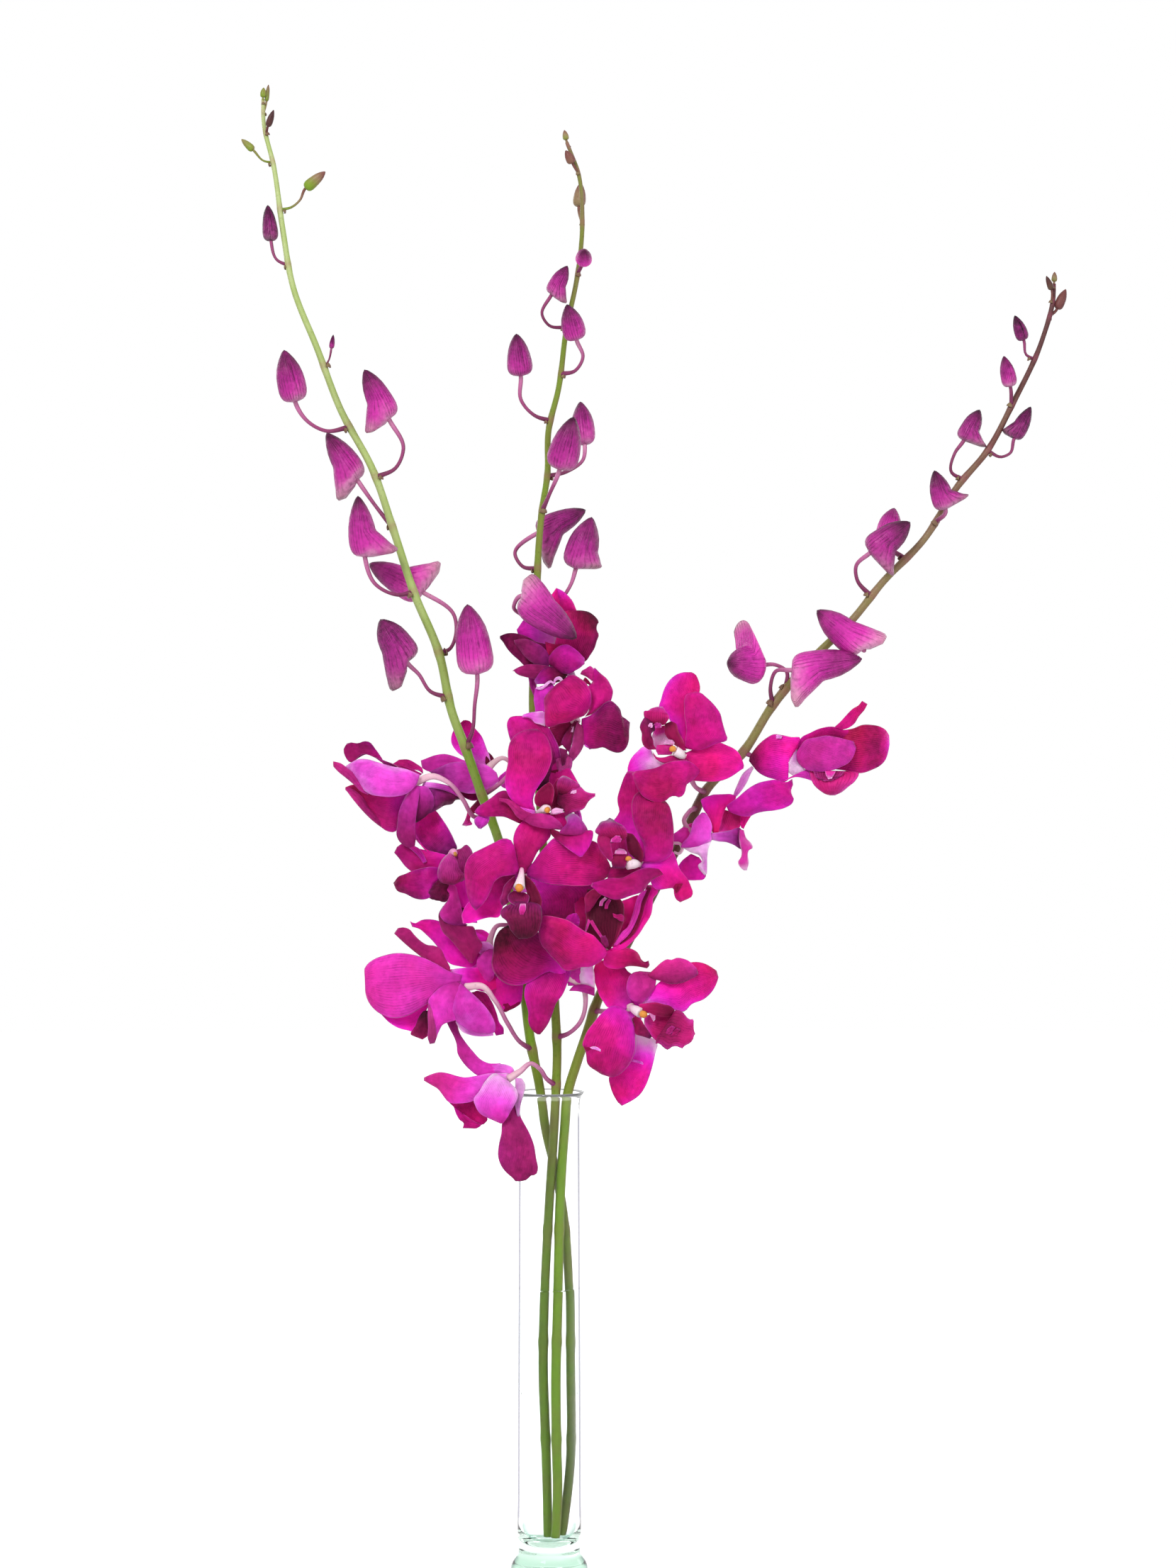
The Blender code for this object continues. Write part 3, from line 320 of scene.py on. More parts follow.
def leaf(piece, rng, left, right, depth, hue, shade, back=False, bulge=2.0, tilt=0.0, curl=0.0, wave=0.6,
         turn=0.0, dim=0.0, rows=PETAL_ROWS, lines=PETAL_LINES):
    """A petal, sepal or lobe between a left and a right edge, both from its root to its tip.

    depth holds the depths from root to tip, bulge how far the middle comes forward, tilt how
    much deeper the left edge lies, curl how far the rims roll back, turn and dim how much hue
    and shade rise from the left edge to the right one. back says that its back is in sight.
    """
    left_edge = flow(np.reshape(left, (-1, 2)), rows)
    right_edge = flow(np.reshape(right, (-1, 2)), rows)
    t = np.linspace(0.0, 1.0, rows)[:, None]
    out = unit(right_edge - left_edge) * PETAL_EXTRA
    reach = unit(left_edge[-1] + right_edge[-1] - left_edge[-5] - right_edge[-5]) * PETAL_EXTRA * t**8
    left_edge, right_edge = left_edge - out + reach, right_edge + out + reach
    v = np.linspace(-1.0, 1.0, lines)[None, :]
    v = np.sin(v * 0.5 * math.pi * 0.9) / math.sin(0.45 * math.pi)
    share = (v + 1.0) / 2.0
    x = left_edge[:, :1] * (1 - share) + right_edge[:, :1] * share
    z = left_edge[:, 1:] * (1 - share) + right_edge[:, 1:] * share
    depths = np.asarray(depth, float)
    line = np.polyfit(np.linspace(0, 1, len(depths)), depths, len(depths) - 1)
    swell = np.sin(math.pi * np.clip(t * 0.92 + 0.06, 0, 1)) ** 0.7
    back_by = np.polyval(line, t) - tilt * v * 0.5 * swell
    back_by = back_by - bulge * (1.0 - v**2) * swell + curl * np.abs(v) ** 5 * swell
    back_by = back_by + PETAL_CREASE * np.exp(-((v / 0.09) ** 2)) * swell
    for edge in (-1.0, 1.0):
        ripple = 0.0
        for number in (1.4, 2.7, 4.4):
            size, start = rng.uniform(0.5, 1.0), rng.uniform(0.0, 2.0)
            ripple = ripple + size * np.sin(math.pi * 2 * (number * t + start)) / number**0.6
        back_by = back_by + wave * ripple * np.clip(v * edge, 0, 1) ** 1.8 * swell
    roll = rng.uniform(0, 6.28, 3)
    back_by = back_by + 0.35 * wave * np.sin(5.5 * t + 3.0 * v + roll[0])
    back_by = back_by + 0.2 * wave * np.sin(9 * t - 5 * v + roll[1])
    middle = seen(x, z, back_by)
    normal = unit(np.cross(np.gradient(middle, axis=1), np.gradient(middle, axis=0)))
    if (normal * (middle - EYE * MM)).sum() > 0:
        normal = -normal
    rim = np.clip(1.0 - np.maximum(np.abs(v) ** 6, np.clip((t - 0.9) / 0.1, 0, 1) ** 2), 0.25, 1.0)
    half = (0.5 * PETAL_THICK * MM * rim)[..., None]
    count = rows * lines
    looks = dict(
        along=np.broadcast_to(t, x.shape),
        across=np.broadcast_to(v, x.shape),
        hue=np.interp(t, np.linspace(0, 1, len(hue)), hue) + turn * v / 2,
        shade=np.interp(t, np.linspace(0, 1, len(shade)), shade) + dim * v / 2,
    )
    doubled = {name: np.concatenate([value.ravel(), value.ravel()]) for name, value in looks.items()}
    doubled["back"] = np.concatenate([np.full(count, float(back)), np.full(count, float(not back))])
    piece.add([middle + normal * half, middle - normal * half], plate_faces(rows, lines), **doubled)


def rod(piece, rows, sides, step, hue, shade, skin=0, ridges=0, ridge=0.0, back=0.0):
    """A round stalk through rows of x, z, depth and radius, as seen, with lengthwise ridges."""
    rows = np.array(rows, float)
    length = np.linalg.norm(np.diff(rows[:, :3], axis=0), axis=1).sum()
    path = flow(rows, max(6, int(length / step)))
    centre = seen(path[:, 0], path[:, 1], path[:, 2])
    radius = path[:, 3] * MM
    run = unit(np.gradient(centre, axis=0))
    side = np.empty_like(run)
    start = np.cross(run[0], (0.0, 1.0, 0.0))
    side[0] = unit(start if np.linalg.norm(start) > 0.1 else np.cross(run[0], (1.0, 0.0, 0.0)))
    for k in range(1, len(run)):
        side[k] = unit(side[k - 1] - run[k] * np.dot(side[k - 1], run[k]))
    other = np.cross(run, side)
    angle = np.linspace(0, 2 * math.pi, sides, endpoint=False)
    swell = 1.0 + ridge * np.cos(ridges * angle)
    ring = (side[:, None] * np.cos(angle)[None, :, None] + other[:, None] * np.sin(angle)[None, :, None])
    skin_points = centre[:, None] + ring * (radius[:, None] * swell)[..., None]
    count = len(path)
    t = np.linspace(0, 1, count)
    corners = np.concatenate([skin_points.reshape(-1, 3), centre[:1], centre[-1:]])
    faces = grid_faces(count, sides, closed=True)
    for k in range(sides):
        faces.append((count * sides, (k + 1) % sides, k))
        faces.append((count * sides + 1, (count - 1) * sides + k, (count - 1) * sides + (k + 1) % sides))

    def spread(values):
        return np.concatenate([np.repeat(values, sides), values[:1], values[-1:]])

    piece.add(corners, faces, skin, along=spread(t),
              across=np.concatenate([np.tile(np.abs(angle / math.pi - 1.0), count), [0.0, 0.0]]),
              hue=spread(np.interp(t, np.linspace(0, 1, len(hue)), hue)),
              shade=spread(np.interp(t, np.linspace(0, 1, len(shade)), shade)),
              back=spread(np.interp(t, np.linspace(0, 1, np.size(back)), np.ravel(back))))


def on_stem(side, height):
    """The seen place, depth and radius of a stem at a height, with its lean."""
    stem = np.array(STEMS[side])
    x, depth, radius = (np.interp(height, stem[:, 1], stem[:, k]) for k in (0, 2, 3))
    return x, height, depth + lean(side, height), radius


def lean(side, z):
    """The depth that a stem has gained at a height."""
    return LEAN[side] * (max(0.0, z - LEAN_FROM) / LEAN_OVER) ** 1.4


def tree_group(name, inputs, outputs):
    """An empty shader group with number inputs and outputs, and its in and out nodes."""
    group = bpy.data.node_groups.new(name, "ShaderNodeTree")
    for label, value in inputs.items():
        group.interface.new_socket(label, in_out="INPUT", socket_type="NodeSocketFloat").default_value = value
    for label in outputs:
        group.interface.new_socket(label, in_out="OUTPUT", socket_type="NodeSocketFloat")
    return group, group.nodes.new("NodeGroupInput"), group.nodes.new("NodeGroupOutput")


def put(tree, kind, **settings):
    """A new shader node with its settings; numbers name its inputs by place as i0, i1 and so on."""
    node = tree.nodes.new("ShaderNode" + kind)
    for label, value in settings.items():
        if label[0] == "i" and label[1:].isdigit():
            fill(tree, node.inputs[int(label[1:])], value)
        else:
            setattr(node, label, value)
    return node


def fill(tree, socket, value):
    """Give an input a plain value or the output that feeds it."""
    if isinstance(value, bpy.types.NodeSocket):
        tree.links.new(value, socket)
    else:
        socket.default_value = value


def feed(tree, node, inputs):
    """Give a node's inputs, named by their labels, plain values or the outputs that feed them."""
    for label, value in inputs.items():
        fill(tree, node.inputs[label], value)


def sums(tree, operation, *values, clamp=False):
    """The output of a math node."""
    settings = {f"i{k}": value for k, value in enumerate(values)}
    return put(tree, "Math", operation=operation, use_clamp=clamp, **settings).outputs[0]


def plus(tree, value, other, times=1.0, clamp=False):
    """A value plus another one, which is first multiplied where times is given."""
    if times != 1.0:
        other = sums(tree, "MULTIPLY", other, times)
    return sums(tree, "ADD", value, other, clamp=clamp)


def minus(tree, value, other):
    """A value less another one."""
    return sums(tree, "SUBTRACT", value, other)


def ease(tree, value, low, high, start=0.0, end=1.0):
    """A value that eases from start to end as another goes from low to high."""
    node = put(tree, "MapRange", interpolation_type="SMOOTHSTEP", i0=value, i1=low, i2=high, i3=start, i4=end)
    return node.outputs[0]


def painted(tree, name):
    """A value painted on the corners."""
    return put(tree, "Attribute", attribute_name=name).outputs["Fac"]


def ramp(tree, value, stops):
    """A colour ramp with its stops as place and colour."""
    node = put(tree, "ValToRGB", i0=value)
    band = node.color_ramp
    while len(band.elements) > 1:
        band.elements.remove(band.elements[-1])
    band.elements[0].position = stops[0][0]
    band.elements[0].color = (*stops[0][1], 1.0)
    for place, colour in stops[1:]:
        band.elements.new(place).color = (*colour, 1.0)
    return node.outputs[0]


def blend(tree, share, first, second, kind="MIX"):
    """The output of a colour mix."""
    node = put(tree, "Mix", data_type="RGBA", blend_type=kind)
    fill(tree, node.inputs[0], share)
    fill(tree, node.inputs[6], first)
    fill(tree, node.inputs[7], second)
    return node.outputs[2]


def noise(tree, place, scale, detail=2.0):
    """The output of a noise texture."""
    node = put(tree, "TexNoise", i0=place)
    feed(tree, node, {"Scale": scale, "Detail": detail})
    return node.outputs[0]


def darker(tree, colour, dark, power=1.0):
    """A colour darkened by a value from zero to one."""
    light = sums(tree, "SUBTRACT", 1.0, dark, clamp=True)
    if power != 1.0:
        light = sums(tree, "POWER", light, power)
    grey = put(tree, "CombineColor", i0=light, i1=light, i2=light).outputs[0]
    return blend(tree, 1.0, colour, grey, "MULTIPLY")


def turned_away(tree):
    """How far a surface is turned away from the viewer."""
    node = put(tree, "LayerWeight")
    node.inputs["Blend"].default_value = 0.5
    return node.outputs["Facing"]


def relief(tree, shader, height, strength, distance):
    """Give a shader fine relief from a height, over a distance in millimetres."""
    bump = put(tree, "Bump")
    feed(tree, bump, {"Strength": strength, "Distance": distance * MM, "Height": height})
    fill(tree, shader.inputs["Normal"], bump.outputs[0])


def vein_group():
    """Fine veins that run the length of a petal and branch half way."""
    group, given, made = tree_group("fine veins", {"Along": 0.0, "Across": 0.0, "Count": 9.0, "Wander": 0.5},
                                    ("Vein", "Height"))
    along, across, count, wander = (given.outputs[label] for label in ("Along", "Across", "Count", "Wander"))
    place = put(group, "TexCoord").outputs["Object"]
    sway = sums(group, "MULTIPLY", minus(group, noise(group, place, 95.0), 0.5), wander)
    course = plus(group, sums(group, "MULTIPLY", across, count), sway)
    lines = []
    for times, shift in ((1.0, 20.0), (2.3, 20.37)):
        turn = sums(group, "FRACT", plus(group, sums(group, "MULTIPLY", course, times), shift))
        lines.append(ease(group, sums(group, "ABSOLUTE", minus(group, turn, 0.5)), 0.3, 0.5))
    branch = sums(group, "MULTIPLY", lines[1], ease(group, along, 0.25, 0.6, 0.0, 0.8))
    fade = ease(group, noise(group, place, 210.0), 0.36, 0.62, 0.25, 1.0)
    vein = sums(group, "MULTIPLY", sums(group, "MAXIMUM", lines[0], branch), fade)
    height = plus(group, sums(group, "MULTIPLY", vein, -1.0), noise(group, place, 1400.0), 0.35)
    feed(group, made, {"Vein": vein, "Height": height})
    return group


def patch_group():
    """Soft cloudy patches of a given size, and a finer mottle."""
    group, given, made = tree_group("soft patches", {"Scale": 40.0, "Low": 0.35, "High": 0.65},
                                    ("Patch", "Mottle"))
    scale, low, high = (given.outputs[label] for label in ("Scale", "Low", "High"))
    place = put(group, "TexCoord").outputs["Object"]
    patch = ease(group, noise(group, place, scale, 3.0), low, high)
    mottle = noise(group, place, sums(group, "MULTIPLY", scale, 9.0))
    feed(group, made, {"Patch": patch, "Mottle": mottle})
    return group


VEINS = vein_group()
PATCHES = patch_group()


def placed(tree, group, **values):
    """A shared group placed in a material with its own values."""
    node = tree.nodes.new("ShaderNodeGroup")
    node.node_tree = group
    feed(tree, node, values)
    return node


def bare_material(name, roughness, specular):
    """A material with its shader's plain values, its tree and its shader."""
    material = bpy.data.materials.new(name)
    material.use_nodes = True
    shader = material.node_tree.nodes["Principled BSDF"]
    feed(material.node_tree, shader, {"Roughness": roughness, "Specular IOR Level": specular})
    return material, material.node_tree, shader


def petal_material(name, stops, back_stops, vein_count, rim, depth):
    """Satin petal: hue runs along a ramp on each side, with veins, patches and a pale thin rim."""
    material, tree, shader = bare_material(name, 0.5, 0.1)
    along, across = painted(tree, "along"), painted(tree, "across")
    aside = sums(tree, "ABSOLUTE", across)
    veins = placed(tree, VEINS, Along=along, Across=across, Count=vein_count, Wander=0.9).outputs
    patches = placed(tree, PATCHES, Scale=55.0, Low=0.38, High=0.62).outputs
    small = placed(tree, PATCHES, Scale=90.0, Low=0.40, High=0.60).outputs
    edge = sums(tree, "MAXIMUM", ease(tree, aside, 0.955, 0.99), ease(tree, along, 0.972, 0.995))
    near = sums(tree, "MAXIMUM", ease(tree, aside, 0.6, 1.0), ease(tree, along, 0.8, 1.0))
    hue = plus(tree, plus(tree, painted(tree, "hue"), 0.02), minus(tree, patches["Patch"], 0.4), 0.12)
    hue = plus(tree, hue, near, rim, clamp=True)
    colour = blend(tree, painted(tree, "back"), ramp(tree, hue, stops), ramp(tree, hue, back_stops))
    dark = plus(tree, painted(tree, "shade"), veins["Vein"], 0.13)
    dark = plus(tree, dark, minus(tree, patches["Mottle"], 0.5), 0.25)
    dark = plus(tree, dark, minus(tree, small["Patch"], 0.4), 0.09)
    colour = darker(tree, colour, dark, 1.6)
    feed(tree, shader, {
        "Base Color": blend(tree, sums(tree, "MULTIPLY", edge, 0.11), colour, (*stops[-1][1], 1.0)),
        "Roughness": ease(tree, patches["Mottle"], 0.2, 0.8, 0.42, 0.62),
        "Sheen Weight": 0.03,
        "Sheen Roughness": 0.5,
        "Sheen Tint": (1.0, 0.45, 0.85, 1.0),
    })
    relief(tree, shader, veins["Height"], 0.6, depth)
    return material


PETAL = petal_material(
    "satin magenta petal",
    ((0.0, (0.64, 0.003, 0.10)), (0.2, (0.76, 0.005, 0.19)), (0.4, (0.86, 0.006, 0.33)),
     (0.6, (0.90, 0.012, 0.56)),
     (0.75, (0.92, 0.05, 0.74)), (0.88, (0.95, 0.22, 0.85)), (1.0, (0.96, 0.60, 0.91))),
    ((0.0, (0.52, 0.012, 0.17)), (0.2, (0.66, 0.020, 0.26)), (0.4, (0.78, 0.026, 0.39)),
     (0.6, (0.86, 0.040, 0.58)),
     (0.75, (0.90, 0.09, 0.75)), (0.88, (0.95, 0.28, 0.88)), (1.0, (0.96, 0.64, 0.93))),
    11.0, 0.10, 0.4)
LIP = petal_material(
    "velvet crimson lip",
    ((0.0, (0.10, 0.001, 0.022)), (0.25, (0.30, 0.004, 0.07)), (0.5, (0.58, 0.010, 0.18)),
     (0.75, (0.74, 0.04, 0.40)),
     (1.0, (0.94, 0.48, 0.82))),
    ((0.0, (0.12, 0.001, 0.04)), (0.25, (0.30, 0.010, 0.10)), (0.5, (0.48, 0.035, 0.22)),
     (0.75, (0.64, 0.08, 0.44)),
     (1.0, (0.92, 0.5, 0.84))),
    6.0, 0.16, 0.4)


def bud_material():
    """Waxy closed bud: dark tip, pink foot and chin, lengthwise veins, pale seams, and painted shade on the
    sides turned away.
    """
    material, tree, shader = bare_material("waxy purple bud", 0.42, 0.2)
    along, across = painted(tree, "along"), painted(tree, "across")
    veins = placed(tree, VEINS, Along=along, Across=across, Count=14.0, Wander=0.9).outputs
    patches = placed(tree, PATCHES, Scale=60.0).outputs
    tip = plus(tree, along, minus(tree, patches["Patch"], 0.5), 0.2)
    colour = ramp(tree, plus(tree, tip, painted(tree, "hue")), (
        (0.0, (0.86, 0.30, 0.60)), (0.08, (0.78, 0.11, 0.49)), (0.25, (0.68, 0.035, 0.41)),
        (0.52, (0.54, 0.02, 0.33)), (0.70, (0.41, 0.02, 0.24)), (0.86, (0.26, 0.016, 0.15)),
        (1.0, (0.13, 0.008, 0.07))))
    colour = blend(tree, painted(tree, "back"), colour, (0.66, 0.34, 0.42, 1.0))
    dark = plus(tree, painted(tree, "shade"), veins["Vein"], 0.16)
    # Painted shade: the sides that turn away from the viewer are darkened
    dark = plus(tree, dark, ease(tree, turned_away(tree), 0.3, 0.9, 0.0, 0.15))
    dark = plus(tree, dark, minus(tree, patches["Mottle"], 0.5), 0.5)
    feed(tree, shader, {
        "Base Color": darker(tree, colour, dark),
        "Roughness": ease(tree, patches["Mottle"], 0.2, 0.8, 0.32, 0.5),
    })
    relief(tree, shader, veins["Height"], 0.9, 0.35)
    return material


def stalk_material(name, stops, roughness, right_side_shade):
    """Smooth stalk or stem: hue along a ramp, with fibres, flecks, patches and painted shade that darkens its
    right side.
    """
    material, tree, shader = bare_material(name, roughness, 0.22)
    patches = placed(tree, PATCHES, Scale=70.0).outputs
    veins = placed(tree, VEINS, Along=0.0, Across=painted(tree, "across"), Count=7.0, Wander=0.4).outputs
    hue = plus(tree, painted(tree, "hue"), patches["Patch"], 0.08)
    # Painted shade: the side facing right is moved along the ramp toward darker purple-brown
    right = put(tree, "SeparateXYZ", i0=put(tree, "NewGeometry").outputs["Normal"]).outputs[0]
    colour = ramp(tree, plus(tree, hue, ease(tree, right, 0.3, 0.95, 0.0, right_side_shade)), stops)
    dark = plus(tree, painted(tree, "shade"), veins["Vein"], 0.10)
    dark = plus(tree, dark, ease(tree, patches["Mottle"], 0.60, 0.72, 0.0, 0.18))
    colour = darker(tree, colour, dark)
    feed(tree, shader, {
        "Base Color": blend(tree, painted(tree, "back"), colour, (0.30, 0.05, 0.11, 1.0)),
        "Roughness": ease(tree, patches["Mottle"], 0.3, 0.7, roughness - 0.06, roughness + 0.1),
    })
    relief(tree, shader, veins["Height"], 0.35, 0.12)
    return material


BUD = bud_material()
STEM = stalk_material(
    "smooth green stem",
    ((0.0, (0.44, 0.50, 0.24)), (0.1, (0.34, 0.42, 0.15)), (0.25, (0.24, 0.33, 0.07)),
     (0.4, (0.15, 0.29, 0.010)),
     (0.55, (0.19, 0.22, 0.035)), (0.7, (0.24, 0.165, 0.085)), (0.85, (0.17, 0.06, 0.05)),
     (1.0, (0.10, 0.025, 0.03))),
    0.42, 0.10)
STALK = stalk_material(
    "mauve flower stalk",
    ((0.0, (0.72, 0.52, 0.54)), (0.25, (0.64, 0.33, 0.46)), (0.5, (0.48, 0.14, 0.31)),
     (0.75, (0.31, 0.055, 0.17)),
     (1.0, (0.15, 0.022, 0.07))),
    0.4, 0.25)
COLUMN = stalk_material(
    "waxy column",
    ((0.0, (0.76, 0.68, 0.71)), (0.3, (0.76, 0.46, 0.60)), (0.6, (0.68, 0.20, 0.45)),
     (0.8, (0.66, 0.30, 0.06)),
     (1.0, (0.56, 0.17, 0.02))),
    0.35, 0.0)


def pulse(tree, value, low, high, soft):
    """One between low and high, fading to nothing over soft on each side."""
    rise, fall = ease(tree, value, low - soft, low), ease(tree, value, high, high + soft, 1.0, 0.0)
    return sums(tree, "MULTIPLY", rise, fall)


def make_clear(tree, shader, bend):
    """Let light through a shader, which bends it and gleams only dimly."""
    feed(tree, shader, {"Transmission Weight": 1.0, "IOR": bend, "Specular Tint": (0.2, 0.2, 0.2, 1.0)})


def glass_material():
    """Clear polished glass: green in the thick foot, with painted shade greyer at the wall's edge, teal in
    the foot's curves and grey at the rim, and a faint painted glow along the rim.
    """
    material, tree, shader = bare_material("clear polished glass", 0.0, 0.2)
    height = put(tree, "SeparateXYZ", i0=put(tree, "TexCoord").outputs["Object"]).outputs[2]
    outside = painted(tree, "hue")
    inside = minus(tree, 1.0, outside)
    away = turned_away(tree)
    streak = placed(tree, PATCHES, Scale=30.0).outputs
    foot = ease(tree, height, 0.012, 0.021, 1.0, 0.0)
    colour = blend(tree, foot, (0.99, 0.995, 0.995, 1.0), (0.54, 0.80, 0.65, 1.0))
    # Painted shade and reflection, by side of the wall, how far it turns away, and height: wall, foot's
    # corner, foot, floor, rim
    for side, turn, band, painted_shade_tint in (
        (outside, (0.62, 0.70), (0.035, 0.230, 0.006), (0.08, 0.075, 0.13)),
        (outside, (0.45, 0.8), (0.0090, 0.0140, 0.0015), (0.03, 0.10, 0.08)),
        (outside, (0.5, 0.9), (0.0165, 0.0195, 0.002), (0.55, 0.62, 0.62)),
        (inside, (0.2, 0.7), (0.0215, 0.028, 0.004), (0.22, 0.44, 0.35)),
        (inside, (0.0, 0.3), (0.2410, 0.2430, 0.0008), (0.80, 0.80, 0.82)),
    ):
        share = sums(tree, "MULTIPLY", side, ease(tree, away, *turn))
        share = sums(tree, "MULTIPLY", share, pulse(tree, height, *band))
        colour = blend(tree, share, colour, (*painted_shade_tint, 1.0))
    # Painted highlight: a faint glow along the rim, though nothing lights it there
    painted_rim_glow = pulse(tree, height, 0.2405, 0.2440, 0.0008)
    feed(tree, shader, {
        "Base Color": colour,
        "Emission Color": blend(tree, painted_rim_glow, BLACK, (0.09, 0.09, 0.092, 1.0)),
        "Emission Strength": 1.0,
        "Roughness": ease(tree, streak["Mottle"], 0.6, 0.95, 0.0, 0.03),
    })
    make_clear(tree, shader, GLASS_BEND)
    relief(tree, shader, streak["Patch"], 0.08, 0.2)
    return material


def water_material():
    """Clear still water with a trace of green, whose surface has a slight ripple."""
    material, tree, shader = bare_material("clear still water", 0.0, 0.1)
    ripple = placed(tree, PATCHES, Scale=60.0).outputs
    feed(tree, shader, {
        "Base Color": blend(tree, ripple["Patch"], (0.96, 0.99, 0.98, 1.0), (0.94, 0.985, 0.965, 1.0)),
        "Roughness": ease(tree, ripple["Mottle"], 0.3, 0.8, 0.0, 0.03),
    })
    make_clear(tree, shader, WATER_BEND)
    relief(tree, shader, ripple["Patch"], 0.1, 0.3)
    return material


def turned_piece(name, profile, count, material, slot, node):
    """A body turned round the upright axis from a profile of radius and height."""
    rows = flow(profile, count)
    rows[:, 0] = np.maximum(rows[:, 0], 0.0)
    rows[0, 0] = rows[-1, 0] = 0.0
    angle = np.linspace(0, 2 * math.pi, VASE_SIDES, endpoint=False)
    radius, height = rows[:, :1] * MM, rows[:, 1:] * MM
    corners = np.stack([radius * np.cos(angle), radius * np.sin(angle), height + 0 * angle], axis=-1)
    piece = Piece()
    outside = np.arange(count) > rows[:, 1].argmax()
    piece.add(corners, grid_faces(count, VASE_SIDES, closed=True), hue=np.repeat(outside, VASE_SIDES))
    piece.make(name, [material], slot, node)


def make_vase():
    """The slim tube on its solid foot, with a flared rim and a rounded floor."""
    profile = (
        (0.0, 19.5), (3.0, 19.6), (6.0, 20.0), (10.2, 21.9), (13.0, 26.0), (13.7, 30.0), (13.8, 34.0),
        (13.8, 45.0),
        (13.5, 228.0), (13.6, 236.0), (14.1, 239.6), (15.1, 241.9), (16.1, 243.3), (16.7, 243.7),
        (17.2, 243.5),
        (17.2, 243.1), (16.8, 242.6), (15.9, 241.3), (15.2, 239.4), (14.95, 235.0), (14.9, 228.0),
        (15.0, 200.0),
        (15.6, 45.0),
        (15.6, 24.0), (15.4, 20.5), (15.1, 18.0), (15.5, 15.6), (16.6, 13.6), (18.2, 11.4), (18.9, 9.4),
        (19.0, 7.5),
        (19.0, 2.2), (18.9, 1.2), (18.4, 0.4), (17.6, 0.0), (16.6, 0.0), (8.0, 0.0), (0.0, 0.0),
    )
    turned_piece("bud_vase", profile, GLASS_ROWS, glass_material(), "glass", "vase")


def make_water():
    """The water, which climbs a little where it meets the glass."""
    level, side = WATER_LEVEL, WATER_RADIUS
    profile = (
        (0.0, level), (9.0, level), (side - 1.6, level + 0.05), (side - 0.5, level + 0.5),
        (side - 0.12, level + 1.1), (side - 0.02, level - 0.4), (side, level - 3.0), (side + 0.05, 40.0),
        (side, 33.0), (12.5, 26.8), (9.9, 22.5), (5.9, 20.5), (0.0, 20.0),
    )
    turned_piece("still_water", profile, WATER_ROWS, water_material(), "water", "water")


def scale_leaf(piece, base, run, out, length, width):
    """A small pointed scale that hugs a stem at a joint."""
    rows, lines = SCALE_ROWS, SCALE_LINES
    run = unit(run)
    out = unit(out - run * np.dot(out, run))
    side = np.cross(run, out)
    t = np.linspace(0, 1, rows)[:, None]
    v = np.linspace(-1, 1, lines)[None, :]
    half = 0.5 * width * MM * (1.0 - t**2.2)
    place = (base + run * (t * length * MM)[..., None] + side * (half * np.sin(v * 1.25))[..., None]
             + out * (half * np.cos(v * 1.25) + 0.35 * MM + 0.6 * MM * t**2)[..., None])
    inner = place - out * 0.25 * MM
    piece.add([place, inner], plate_faces(rows, lines), along=np.tile(np.repeat(t, lines), 2),
              across=np.tile(np.abs(v.ravel()), 2 * rows), hue=0.7, shade=0.2)


def bud_body(piece, foot, tip, width, chin, rng, shade, green):
    """A closed bud: three sepals meeting at a point, with seams between them and a chin at the foot."""
    rings, sides = BUD_RINGS, BUD_SIDES
    axis = unit(tip - foot)
    length = np.linalg.norm(tip - foot)
    toward = np.array((0.2, -1.0, 0.1)) if chin is None else chin - foot
    side = unit(toward - axis * np.dot(toward, axis))
    other = np.cross(axis, side)
    t = np.linspace(0, 1, rings)[:, None]
    angle = np.linspace(0, 2 * math.pi, sides, endpoint=False)[None, :]
    girth = np.interp(t, (0, 0.02, 0.06, 0.13, 0.23, 0.36, 0.52, 0.67, 0.81, 0.91, 0.97, 1.0),
                      (0.0, 0.46, 0.75, 0.93, 1.0, 0.99, 0.92, 0.79, 0.57, 0.34, 0.17, 0.0))
    girth = 0.5 * width * MM * girth
    eye_angle = math.atan2(np.dot((0.0, -1.0, 0.0), other), np.dot((0.0, -1.0, 0.0), side))
    seam, line = 0.0, 0.0
    for turn in (0.35, 2.45, 4.55):
        away = np.abs((angle - eye_angle - turn + math.pi) % (2 * math.pi) - math.pi)
        seam = np.maximum(seam, np.exp(-((away / 0.2) ** 2)))
        line = np.maximum(line, np.exp(-((away / 0.07) ** 2)))
    reach = np.clip((t - 0.2) / 0.2, 0, 1)
    seam, line = seam * reach, line * reach * np.clip((0.9 - t) / 0.2, 0, 1)
    wobble = 1.0 + 0.03 * np.sin(2 * angle + rng.uniform(0, 6)) + 0.025 * np.sin(7 * t + rng.uniform(0, 6))
    girth = girth * wobble * (1.0 - 0.07 * seam)
    place = foot + axis * (length * t)[..., None] + side * (girth * np.cos(angle))[..., None]
    place = place + other * (girth * np.sin(angle))[..., None]
    pull = np.zeros_like(girth * np.cos(angle))
    if chin is not None:
        pull = np.interp(t, (0, 0.03, 0.09, 0.2, 0.42), (0.35, 0.85, 1.0, 0.55, 0.0))
        pull = np.clip(1.7 * np.cos(angle), 0, 1) * pull
        place = place + (chin - foot) * 0.70 * pull[..., None]
    hue = -0.08 * seam if green is None else np.interp(t, (0.2, 0.9), green) + 0 * line
    piece.add(place.reshape(-1, 3), grid_faces(rings, sides, closed=True), 0 if green is None else 1,
              along=np.repeat(t.ravel(), sides),
              across=np.tile(np.abs(angle.ravel() / math.pi - 1.0), rings),
              hue=hue.ravel(), shade=(shade - 0.1 * seam + 0.4 * line).ravel(),
              back=np.clip(pull * 1.3 - 0.55, 0, 0.8).ravel())


